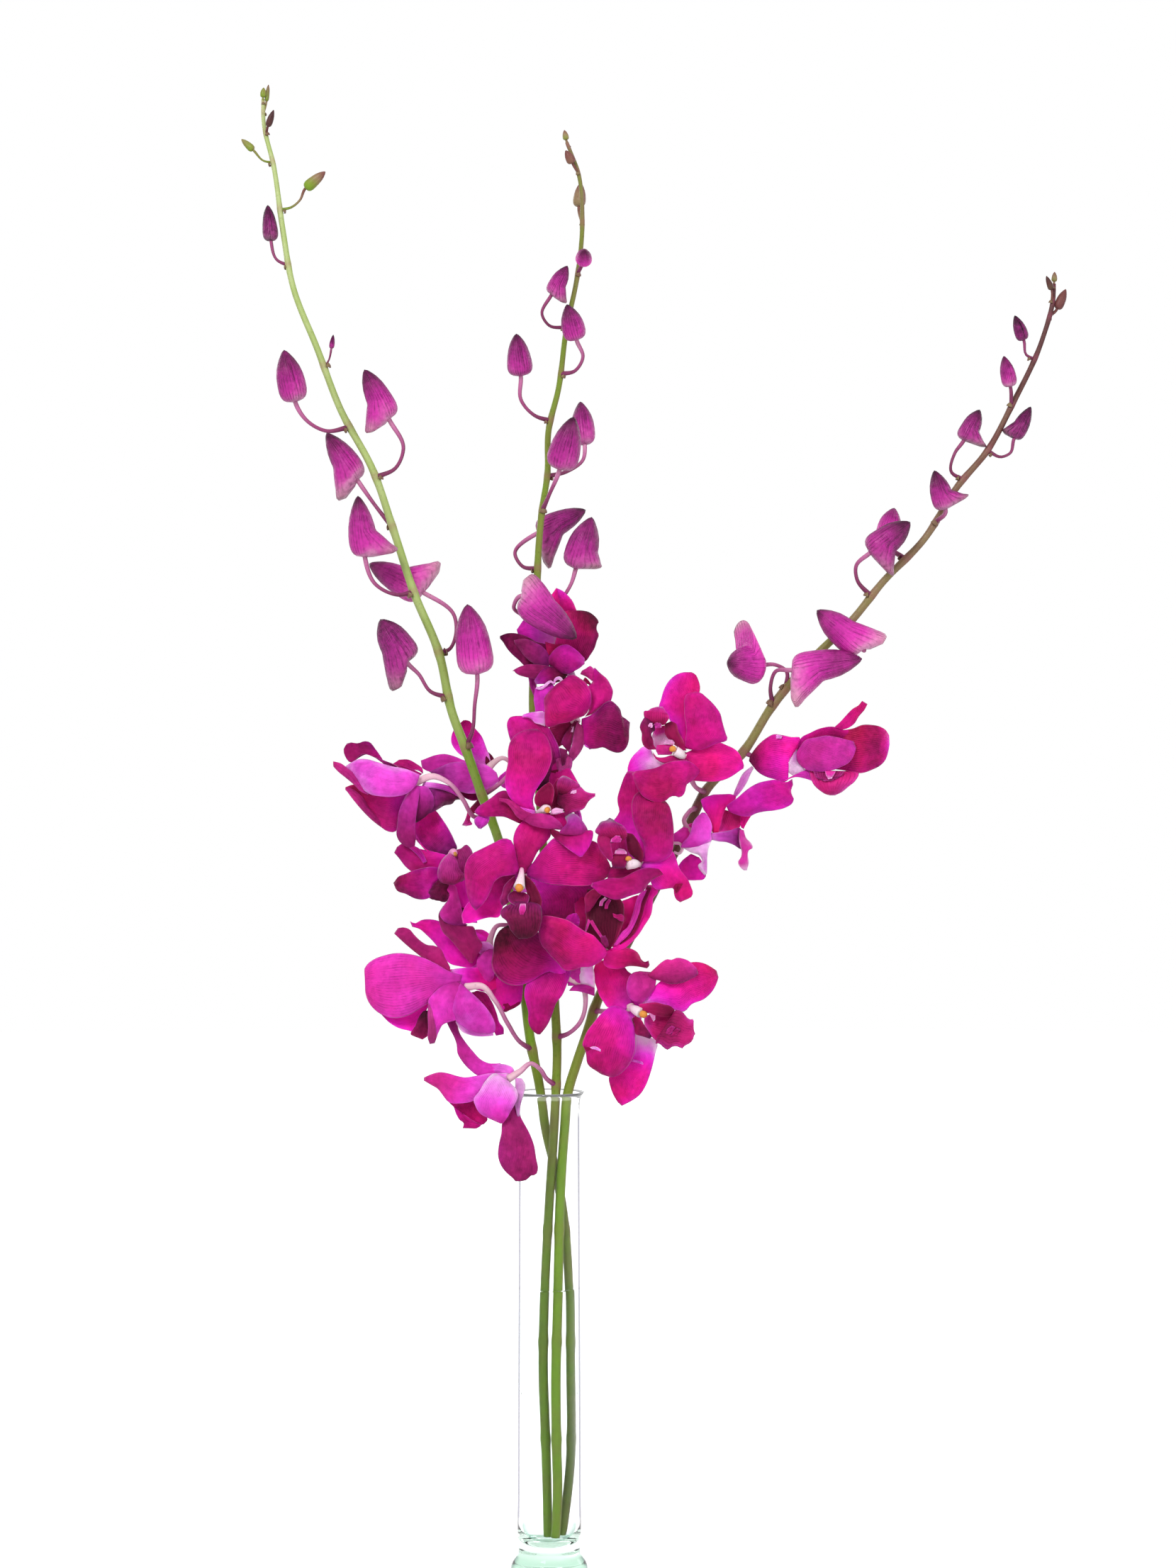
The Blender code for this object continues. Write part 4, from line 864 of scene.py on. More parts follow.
def make_spray(side):
    """A stem with its joints and scales, its bud stalks and its buds."""
    rng = np.random.default_rng(sum(map(ord, side)))
    stem = [(x, z, depth + lean(side, z), radius) for x, z, depth, radius in STEMS[side]]
    tints = np.array(STEM_TINTS[side])
    green, stalks, buds = Piece(), Piece(), Piece()
    flower_joints = [joint for stem_of, joint, *_ in STALKS.values() if stem_of == side]
    joints = sorted([spec["node"] for spec in BUDS[side]] + flower_joints)
    path = flow(stem, int((stem[-1][1] - stem[0][1]) / STEM_STEP))
    height = path[:, 1]
    for joint in joints + BARE_JOINTS:
        path[:, 3] += 0.28 * np.exp(-(((height - joint) / 3.0) ** 2)) * (path[:, 3] / 2.3)
    dark_joints = sum(np.exp(-(((height - joint - 0.5) / 1.6) ** 2)) for joint in joints)
    hue, shade = (np.interp(height, tints[:, 0], tints[:, k]) for k in (1, 2))
    rod(green, path, STEM_SIDES, STEM_STEP, hue, shade, ridges=5, ridge=0.02,
        back=np.clip(0.35 * dark_joints, 0, 0.5))
    for spec in BUDS[side]:
        x, z, depth, radius = on_stem(side, spec["node"])
        gain = lean(side, z)
        own = depth - gain
        thick = min(1.0, 0.35 + spec["width"] / 20.0)
        foot_at, tip_at = (*spec["foot"], spec["depth"] + gain), (*spec["tip"], spec["tip_depth"] + gain)
        rows = [(x, z, depth, thick * 1.35)]
        for step, bend in enumerate(spec["via"], 1):
            share = step / (len(spec["via"]) + 1)
            rows.append((*bend, gain + own + (spec["depth"] - own) * share, thick * 0.95))
        inside = [start + (end - start) * 0.2 for start, end in zip(foot_at, tip_at)]
        rows += [(*foot_at, thick * 1.15), (*inside, thick)]
        mauve = (0.95, 0.85, 0.68, 0.45, 0.25) if spec["width"] > 10 else (0.95, 0.9, 0.85, 0.78, 0.7)
        rod(stalks, rows, BUD_STALK_SIDES, STALK_STEP, spec["green"] or mauve, (0.1, 0.05),
            skin=1 if spec["green"] else 0, ridges=3, ridge=0.05)
        chin = seen(*spec["chin"], spec["depth"] + gain) if spec["chin"] else None
        bud_body(buds, seen(*foot_at), seen(*tip_at), spec["width"], chin, rng, spec["shade"], spec["green"])
        start = seen(x, z, depth)
        run = unit(seen(*on_stem(side, z + 1.0)[:3]) - start)
        leave = seen(*rows[1][:3]) - start
        base = start - run * 1.2 * MM + unit(leave) * radius * 0.6 * MM
        scale_leaf(green, base, run + 0.6 * unit(leave), leave, 1.7 * radius, 2.6 * radius)
    green.make("stem_" + side, [STEM], "stem", "spray_" + side)
    stalks.make("bud_stalks_" + side, [STALK, STEM], "stem", "spray_" + side)
    buds.make("closed_buds_" + side, [BUD, STEM], "stem", "spray_" + side)


# Each flower's stem, the height of its joint, its heart and the bends of its stalk
STALKS = {
    "left_1": ("left", 389.5, (-30, 403, 16),
               ((-26.0, 394.0, 9), (-21.0, 398.5, 13), (-18.0, 402.0, 16), (-19.5, 406.0, 18),
                (-23.0, 408.0, 17),
                (-27.0, 406.0, 17))),
    "left_2": ("left", 379.5, (-66, 396, -12),
               ((-37.0, 379.0, -3), (-43.0, 388.0, -9), (-50.0, 396.0, -14), (-57.0, 399.0, -15))),
    "left_3": ("left", 345.0, (-50, 357, -14), ((-27.0, 349.0, -4), (-40.0, 356.0, -9))),
    "left_4": ("left", 264.0, (-41, 295, -24),
               ((-15.0, 268.5, -5), (-20.5, 277.0, -13), (-27.0, 288.6, -24), (-33.0, 295.4, -28))),
    "left_5": ("left", 325.0, (-30, 310, -7), ((-21.0, 325.6, -2), (-26.0, 325.0, -6), (-29.0, 319.0, -7))),
    "middle_1": ("middle", 451.0, (1, 462, -7), ((-3.0, 455.0, -4),)),
    "middle_2": ("middle", 420.0, (14, 427, -16), ((0.0, 421.5, -5),)),
    "middle_3": ("middle", 372.0, (-9, 383, -30), ((-6.0, 375.5, -10),)),
    "middle_4": ("middle", 338.0, (-13, 350, -34), ((-6.0, 343.0, -12),)),
    "middle_5": ("middle", 305.0, (29, 314, -26), ((10.0, 308.0, -7), (22.0, 312.0, -15))),
    "middle_6": ("middle", 270.0, (9, 300, -18),
                 ((9.5, 272.0, -5), (15.2, 277.5, -9), (17.8, 286.0, -13), (16.5, 295.0, -16))),
    "middle_7": ("middle", 246.5, (-20.5, 249.5, -15),
                 ((-1.5, 250.0, -6), (-4.5, 254.5, -9), (-9.0, 257.3, -11), (-14.5, 253.3, -13.5))),
    "right_1": ("right", 411.0, (121, 404, -6), ((101.0, 408.5, 2), (111.0, 405.5, 0))),
    "right_2": ("right", 391.0, (66, 410, -26), ((72.0, 394.0, -7), (69.5, 399.0, -16))),
    "right_3": ("right", 383.5, (80, 372, -8), ((69.0, 381.5, -4), (66.5, 377.0, -8), (70.0, 372.0, -9))),
    "right_4": ("right", 350.0, (44, 356, -34), ((53.0, 352.5, -12),)),
    "right_5": ("right", 283.0, (41, 285, -24), ((27.5, 283.0, -7),)),
}


def petal(left, right, depth, hue=0.4, shade=0.1, **looks):
    """A petal's edges, each from root to tip as x, z, x, z from the flower's heart, its depths and looks."""
    return left, right, depth, dict(hue=np.ravel(hue), shade=np.ravel(shade), **looks)


# Each petal's shade is partly its own deeper colour and partly painted shade in folds and hollows; dim paints
# shade or light across it
BLOOMS = {
    "left_1": dict(petals=(
        petal((-8, -3, -10, 4, -15, 8, -18, 13, -17.6, 17, -15, 21, -12, 23.3), (-1, -3, 0.5, 4, -1.5, 10, -4,
          16, -7, 19.5, -10, 23, -11.6, 23.3), (17, 20, 19), (0.95, 0.19), (-0.02, 0.21), bulge=-2, wave=0.8),
        petal((-3, 2.4, -12, 3.5, -17, 5.5, -22, 6.6, -27, 5.8, -31, 4.2, -33, 3.4), (-3, -3, -12, -1, -20,
          -0.5, -27, -1.5, -30, -1, -32.5, 0.5), (16, 18, 17), (0.6, 0.39), (0.08, 0.18), bulge=1.5,
          back=True, wave=0.4),
        petal((4, -2.5, 0, 0.6, -5, 2.5, -12, 2.8, -19, 2.2, -24, 0, -28.5, -2), (5, -6, 1, -9.4, -6, -12,
          -13, -11.5, -17, -9.6, -22, -5.6, -28, -2.3), (15, 11, 13), (0.62, 0.54), (-0.08, 0.52), bulge=3,
          back=True, wave=0.7),
        petal((6, -3.5, 8, -2, 13, 1.5, 20, 6, 24, 4), (4, -6, 8, -9.5, 14, -8, 20, -5, 24.5, 1), (16, 24,
          30), (0.59, 0.34), (0.1, 0.2)),
        petal((2, -5, -3, -10, -10, -11, -16, -10), (3, -7, -3, -14.4, -8, -15.6, -12, -14, -15.6, -11), (16,
          17, 16), (0.42, 0.21), (0.45, 0.6), bulge=1, curl=-1.2, wave=0.5),
        petal((-1.5, 2.5, -0.6, 6.3, 0.4, 7.2), (1, -1, 2.6, 2.6, 2, 5.4, 0.6, 7), (18, 19, 20), 0.08, 0.6,
          bulge=0.5, wave=0.2),
    ), lip=(
        petal((-4, -14.5, -6.5, -17.4, -8.5, -19.6, -10, -21.6), (-2.4, -16.4, -4.5, -20, -6.5, -21.6, -8.6,
          -22.6), (18, 20, 22), (0.1, 0.15), 0.1, bulge=0.8, wave=0.5),
        petal((-10, -21.4, -11, -25, -12.4, -28), (-8.7, -22.4, -9.4, -25.4, -8.4, -27.5, -11, -28.3), (21,
          23, 25), (0.3, 0.8), 0, bulge=0.6, curl=-0.6),
    )),
    "left_2": dict(petals=(
        petal((0, 2, -9, 8, -18, 11.5, -26, 14, -32, 10, -34.4, 13, -35, 16.4, -33.2, 19), (3, 4, -6, 8,
          -14.3, 8, -17, 12, -20.4, 16.6, -23, 19.6, -25.5, 20, -28.5, 19, -32, 19.3), (-10, -2, 5), (0.39,
          0.33), (0.37, 0.52), bulge=-1, wave=0.8),
        petal((2, 6, -2, 6.6, -8, 8.4, -11, 9), (3.4, 4.6, 3, 6.6, 0, 9, -4, 11, -8, 11), (-4, 1, 4), (0.42,
          0.29), 0.29, bulge=1, wave=0.3, curl=-1),
        petal((0, -2, -10, -5, -20, -5, -27, -1.6, -31, -1.6, -34.3, -3), (-2, -5, -6.5, -12, -9, -20, -10,
          -24, -13, -24, -19, -20, -25, -14, -30, -8, -34.3, -3.4), (-11, -7, -1), (0.66, 0.03), (0.37, 0.18),
          bulge=2.5, tilt=-3, wave=1),
        petal((-33.5, -2.6, -30, -4.4, -26, -8, -23, -13, -19, -17.4, -13, -21.6, -11, -23), (-34.4, -3, -31,
          -7.6, -26, -13.6, -20, -19.4, -14.6, -23, -12, -24), (-5, -7, -4), (0.17, 0.21), (0.18, 0.33),
          bulge=1.2, back=True, wave=0.3),
        petal((4, 0, 9, -1, 16, -2.8, 20, -4.8, 23, -7.4), (2, -4, 4, -10.5, 5.5, -15, 10, -13.6, 14.5, -11,
          18.4, -10, 19.4, -8.6, 23, -8), (-13, -10, -6), (0.77, 0), (0.45, 0.68), bulge=3, back=True,
          wave=1.1),
        petal((5, 0, 12, -1, 18, -2.8, 22.5, -7), (4, -2.2, 12, -3, 18, -5, 22.4, -7.6), (-15, -13, -8),
          (0.76, 0.47), (0.13, 0.28), bulge=0.8, back=True, wave=0.2),
        petal((0, -1.5, -0.6, -10, -1, -17, 0.6, -19.4), (5.5, -2, 8.5, -7, 8.5, -12, 6, -15.4, 1.4, -19),
          (-15, -14, -12), (0.58, 0.22), (0.25, 0.75), back=True),
        petal((-1.5, -2, -5.2, -8, -7.7, -14, -8.6, -21, -9, -26, -7.6, -29, -5, -31, -2.5, -32.2), (2, -2, 1,
          -9, 0, -16, -0.6, -22, -0.4, -28, -1, -31.6), (-16, -18, -14), (0.56, 0.24), (0.3, 0.44), back=True,
          wave=0.5),
        petal((-3.5, -31.4, -1, -33.6, 2, -36.6, 4, -39.4), (-2, -31, 1.5, -33, 3.4, -35.6, 5, -39), (-14,
          -15, -16), (0.42, 0.59), (0.55, 0.3), bulge=0.6, wave=0.2, curl=-0.6),
        petal((-40.4, 8, -38, 5.6, -34, 2.4, -30, -1, -27, -4, -23.6, -5.6), (-40.6, 10, -37, 9, -34, 6.8,
          -31, 4.4, -28.6, 1, -26, -3, -23, -4.6), (-14, -19, -18), (0.1, 0.31), (0.24, 0.16), bulge=1.4,
          back=True, wave=0.3),
        petal((0.4, -1, -4, -5, -10, -6.6, -17, -6.5, -22, -5.6, -25.6, -3.4, -29, 0.4, -33, 5), (2, 3.4, -4,
          6, -12, 7.6, -19, 9.6, -24, 11, -28, 11, -31.6, 9.4, -34.6, 7), (-17, -21, -14), 0.7, 0.12,
          bulge=4.5, back=True, wave=0.7, tilt=-2),
    )),
    "left_3": dict(petals=(
        petal((-2, 2.6, -6, 3, -10, 5, -13.6, 9, -16, 13.5, -16, 19, -14, 23, -10, 26.5), (2, 4.4, 4, 6, 2.8,
          10, 0.4, 15, -3.4, 21, -6.6, 25, -9, 26.6), (-14, -8, 3), (0.56, 0.26), (0.85, -0.08), bulge=-2.5,
          curl=-1.5, wave=0.8),
        petal((-2, 0, -9, 4, -13, 8, -16, 13, -16.5, 11), (-1, 1, -6, 3.6, -11, 6, -14.6, 9.6, -16.5, 12),
          (-14, -12, -8), (0.38, 0.42), 0, bulge=0.5, wave=0.3),
        petal((-1, -2.4, -8, -3.6, -13, -5, -17, -5, -20.4, -2.6, -24, 2, -26, 4.6), (0, 2.6, -8, 4.6, -13,
          5.6, -18, 6.8, -22, 8.6, -25, 6.6), (-14, -12, -8), (0.39, 0.29), (0.13, 0.44), wave=0.7),
        petal((-4, -9, -7.6, -14, -9, -17.4, -12, -18.4, -16, -18, -21, -15.6, -25, -14, -26, -12), (-3, -4,
          -8, -3, -13, -3.8, -17, -4.8, -21, -6.6, -24.4, -8, -26.4, -11), (-16, -18, -16), (0.55, 0.19),
          (0.35, 0.53), wave=1.3),
        petal((2, -9, 3.4, -14, 5.6, -20, 7, -26, 7.6, -29.6), (10, -7, 11, -14, 12.4, -21, 13.6, -27, 14,
          -30), (-13, -13, -12), (0.53, 0.62), -0.08, bulge=-1, wave=0.4),
        petal((-2, -22, -4.2, -26, -3.6, -31, -2, -35, 1.6, -38.6, 6.6, -44.4, 11, -49.6), (8, -23, 7.6, -29,
          9, -32, 11.6, -32, 14, -37, 16.6, -41.4, 14, -46, 11.6, -49.8), (-13, -15, -14), 0, (0.6, 0.07),
          bulge=2.5, wave=0.8, back=True),
        petal((-4.6, -9.4, -1.4, -14.6, 0, -18.4, -2, -22, -3.8, -26, -2, -29, 4, -31.6, 7.4, -32), (-2.4,
          -10, 3.8, -13, 4.4, -16, 6, -21.6, 6.8, -26, 6.8, -29.4, 9, -31.4), (-16, -18, -15), 0.4, (-0.08,
          0.45), back=True, wave=0.5),
    ), lip=(
        petal((-4, -9, -8, -13, -9.4, -16, -8.6, -18.4, -6, -19), (0, -9, 0, -14, 0, -17.4, -1.6, -20, -5,
          -19), (-20, -19, -18), (0.37, 0.55), 0.64, bulge=1.5, wave=1.6),
        petal((4, 5.6, 6.4, 6.2, 8.6, 8, 11, 6, 12, 3, 11.4, 0, 10, -5, 8, -8.6), (1.4, 4, 2.4, 0, 2.6, -5, 4,
          -8.6, 7, -9.4), (-21, -24, -23), (0.5, 0.65), (0.39, 0.49), wave=0.7),
        petal((1.6, 4.6, -2, 1.6, -4.4, -3, -4.8, -7, -3.4, -10, 0.4, -11), (3.8, 4, 5, 0, 6.6, -5, 8.6, -7.4,
          7, -9, 3, -11), (-21, -26, -25), (0.72, 0.45), (0.16, 0.47), bulge=3, wave=0.5, curl=0.5),
    ), column=(
        (((1, 3.6, -18, 1.2), (2.6, 4.6, -22, 1.8), (3.6, 4, -26, 1.2)), (0.35, 0.5)),
        (((3.4, 4.2, -26, 0.8), (3.8, 3, -27.4, 0.8)), (0.75, 0.8), 0.25),
    )),
    "left_4": dict(petals=(
        petal((-8, 6, -7.4, 7.5, -2, 9, 6, 9.4, 13, 13), (-6, 3, 0, 0.5, 5, -1, 10, -2, 16, 0), (-17, -14,
          -9), (0.94, 0.13), (0.14, -0.01), bulge=1, wave=0.4),
        petal((-8, 7.6, -13, 10.6, -19, 13, -23, 16, -28, 20, -32, 23.6, -35, 26.6), (-8, 9.4, -10.6, 14, -13,
          18.6, -16, 20, -19.4, 20.4, -23, 22.6, -26, 25.6, -28, 28, -31, 29, -33.6, 28.6), (-20, -17, -14),
          (0.11, 0), 0.24, bulge=1.5, back=True, wave=0.5),
        petal((-19, -10, -21, -14, -24, -19, -25.4, -21.6, -29, -21, -33, -20, -38, -17, -41.4, -13.4), (-17,
          -5, -25, -8, -33, -11, -39, -12, -41.4, -12.6), (-20, -19, -18), (0.58, 0.48), -0.08, bulge=-1.5),
        petal((-2, 5.4, -9, 7.6, -14, 10.6, -21, 14, -29, 16, -35, 16.3, -41, 15, -45.4, 13.3, -49, 10.4,
          -50.2, 8, -49.2, 5, -48.6, 2.6), (-3, 2, -13, -2, -18, -7, -23, -10.4, -29, -13.7, -36, -15, -41,
          -13.6, -46, -10, -49, -5.2, -49.6, -2, -49, 1), (-22, -26, -18), (0.56, 0.29), (0.24, 0.04),
          bulge=3, back=True, wave=0.9, curl=1.2),
        petal((3, -2.6, 5, -5, 10, -11, 13, -16, 13.6, -20.6, 15, -23.6), (5.4, -2, 9, -3, 12, -7, 14.6, -13,
          16, -17.6, 18, -20.4, 18, -23), (-19, -16, -13), (0.29, 0.42), (0.4, 0.3), bulge=-1),
        petal((-5, -17, -2, -21.6, 3, -23.6, 9, -24, 13, -23.6), (-1, -14, 3, -18, 8, -20.6, 13, -21.4), (-21,
          -21, -22), 0.81, 0, bulge=0.6, back=True, wave=0.5),
        petal((-5, 2.6, -12, 0, -16, -3.4, -18.3, -6.5, -17.6, -12, -16.4, -17.4, -15.6, -22, -14.6, -24.6),
          (0, 0.6, -3.6, -5, -5, -11, -5.4, -16, -8.6, -17, -12, -18.6, -14, -22.6), (-24, -28, -25), (0.47,
          0.62), (0.28, -0.08), bulge=2.5, back=True),
        petal((-2.6, 1.6, -5.6, -5, -6.4, -11, -5.2, -16, -2, -19, 3, -22, 7.6, -23), (0.4, -1, 4, -4.4, 9,
          -9.6, 12.6, -15, 14, -19, 13.6, -22, 10, -23), (-25, -29, -24), (0.57, 0.65), (0.19, 0.22), bulge=3,
          back=True, wave=0.9),
    ), lip=(
        petal((-21, -12, -23, -15, -24.6, -19, -27, -23.4, -24, -24.6), (-19, -11.6, -18.4, -16, -18.4, -21,
          -19.4, -24, -22, -25.4), (-22, -23, -22), (0.53, 0.39), (0.85, 0.19), bulge=1.5, wave=1.3),
        petal((-18.4, -6.6, -18.6, -14, -18.4, -21, -18.6, -25, -17.6, -27.7), (-16.6, -7, -16.6, -14, -15.6,
          -20, -15, -24.6, -16, -27.4), (-27, -29, -28), (0.6, 0.44), 0.14, bulge=1, wave=0.3, back=True),
    )),
    "left_5": dict(petals=(
        petal((-6.5, 12.5, -7.5, 6, -6, -2, -2, -12, 3, -20, 8, -24.5), (1.5, 8, 3, 2, 8, -4, 14, -10, 16,
          -16, 15, -21, 10, -24.7), (-5, -5, -4), 0.6, 0.1, bulge=1, wave=0.4),
        petal((-6.6, -5.6, -13, -4.6, -19, -3, -22, 0, -24, 3.6, -27, 7.6, -30.4, 11, -34, 14, -37.4, 15),
          (-3, 1, -8, 4, -14, 9, -19, 14.6, -24, 17, -29, 18, -33, 17.6, -36, 16, -38.2, 17), (-6, -4, -1),
          (0.61, 0.39), (0.04, 0.09), wave=0.8),
        petal((0, 5, -4, 6.4, -7, 8, -7.6, 11, -7.2, 13), (2, 5, 1.6, 9, 0, 11, -3.4, 13, -6.6, 13), (-6, -2,
          2), (0.54, 0.43), -0.08, bulge=1, wave=0.5),
        petal((1.6, 3, -1, 1, -5, 2.4, -6.4, 4.4), (2.4, 4.4, 0.4, 6.6, -3, 7, -6, 6.2), (-8, -9, -8), (0.81,
          0.76), 0, bulge=0.8, back=True, wave=0.3),
        petal((-0.6, 1, -4, -5, -7, -9.6, -12, -12, -16, -9.6, -19.4, -7), (1.6, 4, -3, -0.6, -7, -4.8, -11,
          -6.5, -15, -6.7, -19.4, -6.8), (-8, -9, -8), (0.8, 0.5), -0.08, bulge=1.5, back=True, wave=0.5),
        petal((-1.4, 1, -2.6, -7, -2, -13, 1.4, -19, 5.6, -24, 8, -27), (5, 2, 12, -4, 16.4, -11, 16.4, -18,
          15.4, -23, 11.4, -25.4, 8.4, -27), (-7, -8, -5), (0.52, 0.36), (0.35, -0.04), wave=1),
        petal((8, -21.4, 7.4, -24.6, 8, -27), (9.4, -21.4, 15.6, -23, 13, -25, 8.4, -27), (-8, -7, -6), 0.13,
          0.45, bulge=0.5, wave=0.3, curl=-0.6),
        petal((0.6, 3.6, -3, 1.6, -5.4, -2.4, -4.8, -7, -3.4, -11, -1, -13.6), (2.6, 3.6, 3.8, -1, 3.2, -6,
          2.2, -10, 0, -13.4), (-10, -13, -10), (0.4, 0.46), (0.39, 0.02), back=True),
    )),
    "middle_7": dict(petals=(
        petal((-3.5, 3, -9.5, 2.7, -14, 2, -18.5, 5, -22.5, 9.5, -24.5, 13, -25, 17.5, -26.3, 21.3, -28, 24.5,
          -29.7, 28), (-3.5, 7.5, -9.5, 7.5, -13, 9, -17.5, 13.5, -21.5, 18.5, -24, 22.5, -25, 26, -25.5,
          29.5), (-13, -15, -18), (0.64, 0.26), (-0.01, 0.4), bulge=1.5, back=True, wave=0.5),
        petal((-0.5, 0.5, -3.5, 2.5, -8.5, 3.5, -11.5, 5), (3.3, 3, 2, 5.5, -0.5, 6.7, -4.5, 7.3, -10.5, 7.3),
          (-12, -13, -13), (0.83, 0.79), 0.03, bulge=1.2, back=True, wave=0.4),
        petal((0.5, -0.5, -11.5, -5.5, -17.5, -10.5, -22.5, -11.5, -29, -11, -32, -7.5, -34.5, -4.3, -37.5,
          -2.5, -41, -0.3), (0.5, 2.5, -9.5, 2.5, -15.5, 1.3, -21.5, 0.5, -25.5, 1.3, -29.5, 2.5, -33.5, 3,
          -37.5, 2, -41, 0.3), (-14, -16, -12), (0.91, 0.11), 0.06, bulge=2.5, wave=0.8, back=True),
        petal((-1.5, -2.5, -9.5, -5.5, -17.5, -7.5, -23.5, -9.5, -29, -10.7, -26, -14, -21.5, -18, -16.5,
          -21.3, -13.5, -22.3), (-1.5, -6.5, -7.5, -13.5, -11, -17, -10.5, -20, -12.5, -22), (-13, -12, -11),
          (0.23, 0.27), (0.46, 0.21), bulge=-1.5),
        petal((-26.3, -14, -25, -17.5, -23.5, -20, -21.3, -22, -21.5, -24), (-21.5, -17.5, -16.5, -21, -13.5,
          -22.5, -15.5, -24, -19, -24), (-12, -11, -10), (0.41, 0.36), 0.29, bulge=0.8, curl=-0.8, wave=0.3),
        petal((1.7, -11.5, 0, -17.5, -2.3, -21.5, -2.7, -26.5, -4, -32.5, -4.3, -38.5, -2.5, -43.3, 0, -46.3,
          2.5, -48.3, 4.3, -50), (4, -11.5, 5.5, -17.5, 7.5, -21.5, 10, -26, 12.5, -32.5, 13.5, -38.5, 14.3,
          -45.3, 13.5, -47, 11.3, -47.3, 9, -49.3, 5.5, -50), (-14, -20, -21), (0.3, 0.09), 0.38, bulge=1.5,
          wave=1, back=True),
        petal((4, 0.5, 4, -4.5, 3.3, -9.5, 4, -13.5, 5, -18), (6.7, 0.3, 8.3, -3, 7.5, -7.5, 6, -12.5, 5.3,
          -18), (-15, -17, -17), (0.87, 0.83), 0.17, bulge=1.2, back=True, wave=0.3),
        petal((-2, 1, -6.5, 2.7, -10.5, -0.7, -14, -6.5, -16.5, -9.7, -15.5, -13.5, -13.5, -16.7, -9.5, -19,
          -6, -20.5, -3.5, -21.5), (1, -1.7, 4, -5, 4.7, -8, 3, -12.5, 1, -16, -1, -19.3, -3, -21.5), (-17,
          -22, -21), (0.91, 0.4), (0.18, 0.02), bulge=3.5, back=True, wave=0.9),
    )),
    "middle_6": dict(petals=(
        petal((-13, 3, -17, -0.4, -20, -3.6, -21, -9, -20, -13.4, -19, -17.4, -19, -22, -17.6, -25.4, -16,
          -27, -14.4, -28), (2, 4, -0.4, -3, -3, -9, -6, -13, -7.8, -18, -10, -23, -12.4, -26.4, -14, -28),
          (-19, -23, -21), (0.48, 0.21), (0.31, 0.36), wave=0.9),
        petal((-1, -2, -9, 3, -14, 0.4, -18, -2, -24, -4, -29, -3.5, -34, -0.3, -37.2, 6, -36.4, 12, -35.6,
          18.6, -33, 23, -29.6, 25), (-1, 4, -5, 13, -11, 19, -17, 23, -24, 25, -29, 25.4), (-19, -25, -24),
          (0.61, 0), (0.08, 0.85), wave=0.9, curl=-1),
        petal((-1, 5, 0, 0, 0.6, -4), (7, 6.5, 6.8, 1, 6.6, -4), (-16, -18, -17), (0.32, 0.45), (0.19, 0.06),
          back=True, bulge=1.5),
        petal((6, 6.5, 6, 1, 6.2, -3.6), (12, 6.6, 13, 0, 13, -5.4), (-15, -18, -17), (0.93, 0.89), -0.08,
          back=True, bulge=2.5, dim=0.1),
        petal((1, -6.6, 5, -6.7, 9, -7.6, 13, -9), (3, -4.5, 6.3, -4, 9.6, -4.4, 13, -5.8), (-18, -20, -18),
          0.4, 0.15, back=True, bulge=1.2, wave=0.3),
    )),
    "middle_3": dict(petals=(
        petal((3, 9, -5, 21, -9.4, 32.6, -11, 38, -11.4, 42.4, -10, 44.8, -7, 45.4), (12, 7, 14.4, 19, 14, 28,
          11, 35.6, 8, 40.2, 4, 42, 0.6, 43.8, -3, 45.5), (-24, -20, -14), (0.39, 0.33), (0.85, 0.09),
          bulge=1.5, wave=0.8),
        petal((9, 3, 9, 12, 10, 20, 12.4, 27), (18, 5, 23.6, 10.6, 21.6, 15, 19, 19.6, 16.6, 25, 14, 28.4),
          (-28, -24, -20), (0.17, 0.38), (0.07, 0.32), bulge=1, wave=0.5),
        petal((0, -3.6, -4.6, -7, -9, -5.4, -13, -3.7, -19, -3.5, -24, -3.4, -27, -2.2), (1, -1, -5, 1, -9.6,
          5, -12.6, 8.6, -15.6, 8, -19.6, 5, -23, 2.6, -25.4, 1, -27.4, -1.6), (-30, -29, -24), (0.05, 0.38),
          (0.6, 0.26), bulge=1.5, wave=0.7),
        petal((-25, -3, -27.6, -5.4, -27.4, -7.4, -25.6, -9.4), (-21, -3.4, -21, -5.6, -22.6, -8, -25, -9.5),
          (-23, -23, -22), (0.7, 0.75), 0.24, bulge=1.5, wave=0.2),
        petal((2, -1, -3, -0.4, -8, 3, -11, 7, -12.6, 13, -12, 18, -11, 23, -11, 29, -9.4, 34, -6, 37.2, -2,
          38.8, 0.6, 39), (2, -2, 1, 1, 0.6, 4, 1.6, 8, 4, 12, 7, 16.4, 8.6, 20, 10, 25, 9.6, 29, 8.4, 33, 6,
          36.8, 2.4, 39), (-31, -38, -30), (0.52, 0.39, 0.26, 0.27), (0.09, 0.22, 0.42), bulge=3, wave=0.7,
          tilt=2),
        petal((2, -2.6, -2, -2.2, -5, 0, -8, 3.4), (2, -1.4, -2, 0.4, -6, 3, -8, 4), (-33, -34, -33), (0.84,
          0.63), 0, bulge=0.6, wave=0.2, back=True),
        petal((-15.6, 4.2, -12, 3, -9, -0.4, -6.8, -3.6, -4, -5.4, -2, -5.2), (-15.6, 4.7, -11, 4.2, -7, 1.4,
          -3, -1.4, 0, -2.7, 0.4, -3.8), (-32, -36, -34), (0.04, 0.21), (0.19, 0.12), bulge=1.2, back=True,
          wave=0.5),
        petal((3, -3, 9, -4.4, 12, -6.6, 14, -9, 15.6, -11), (4, -2, 11, -2.2, 16, -2, 18, -5, 17.6, -8.4, 16,
          -11), (-32, -34, -34), (0.27, 0.35), 0.2, bulge=0.5, wave=0.5),
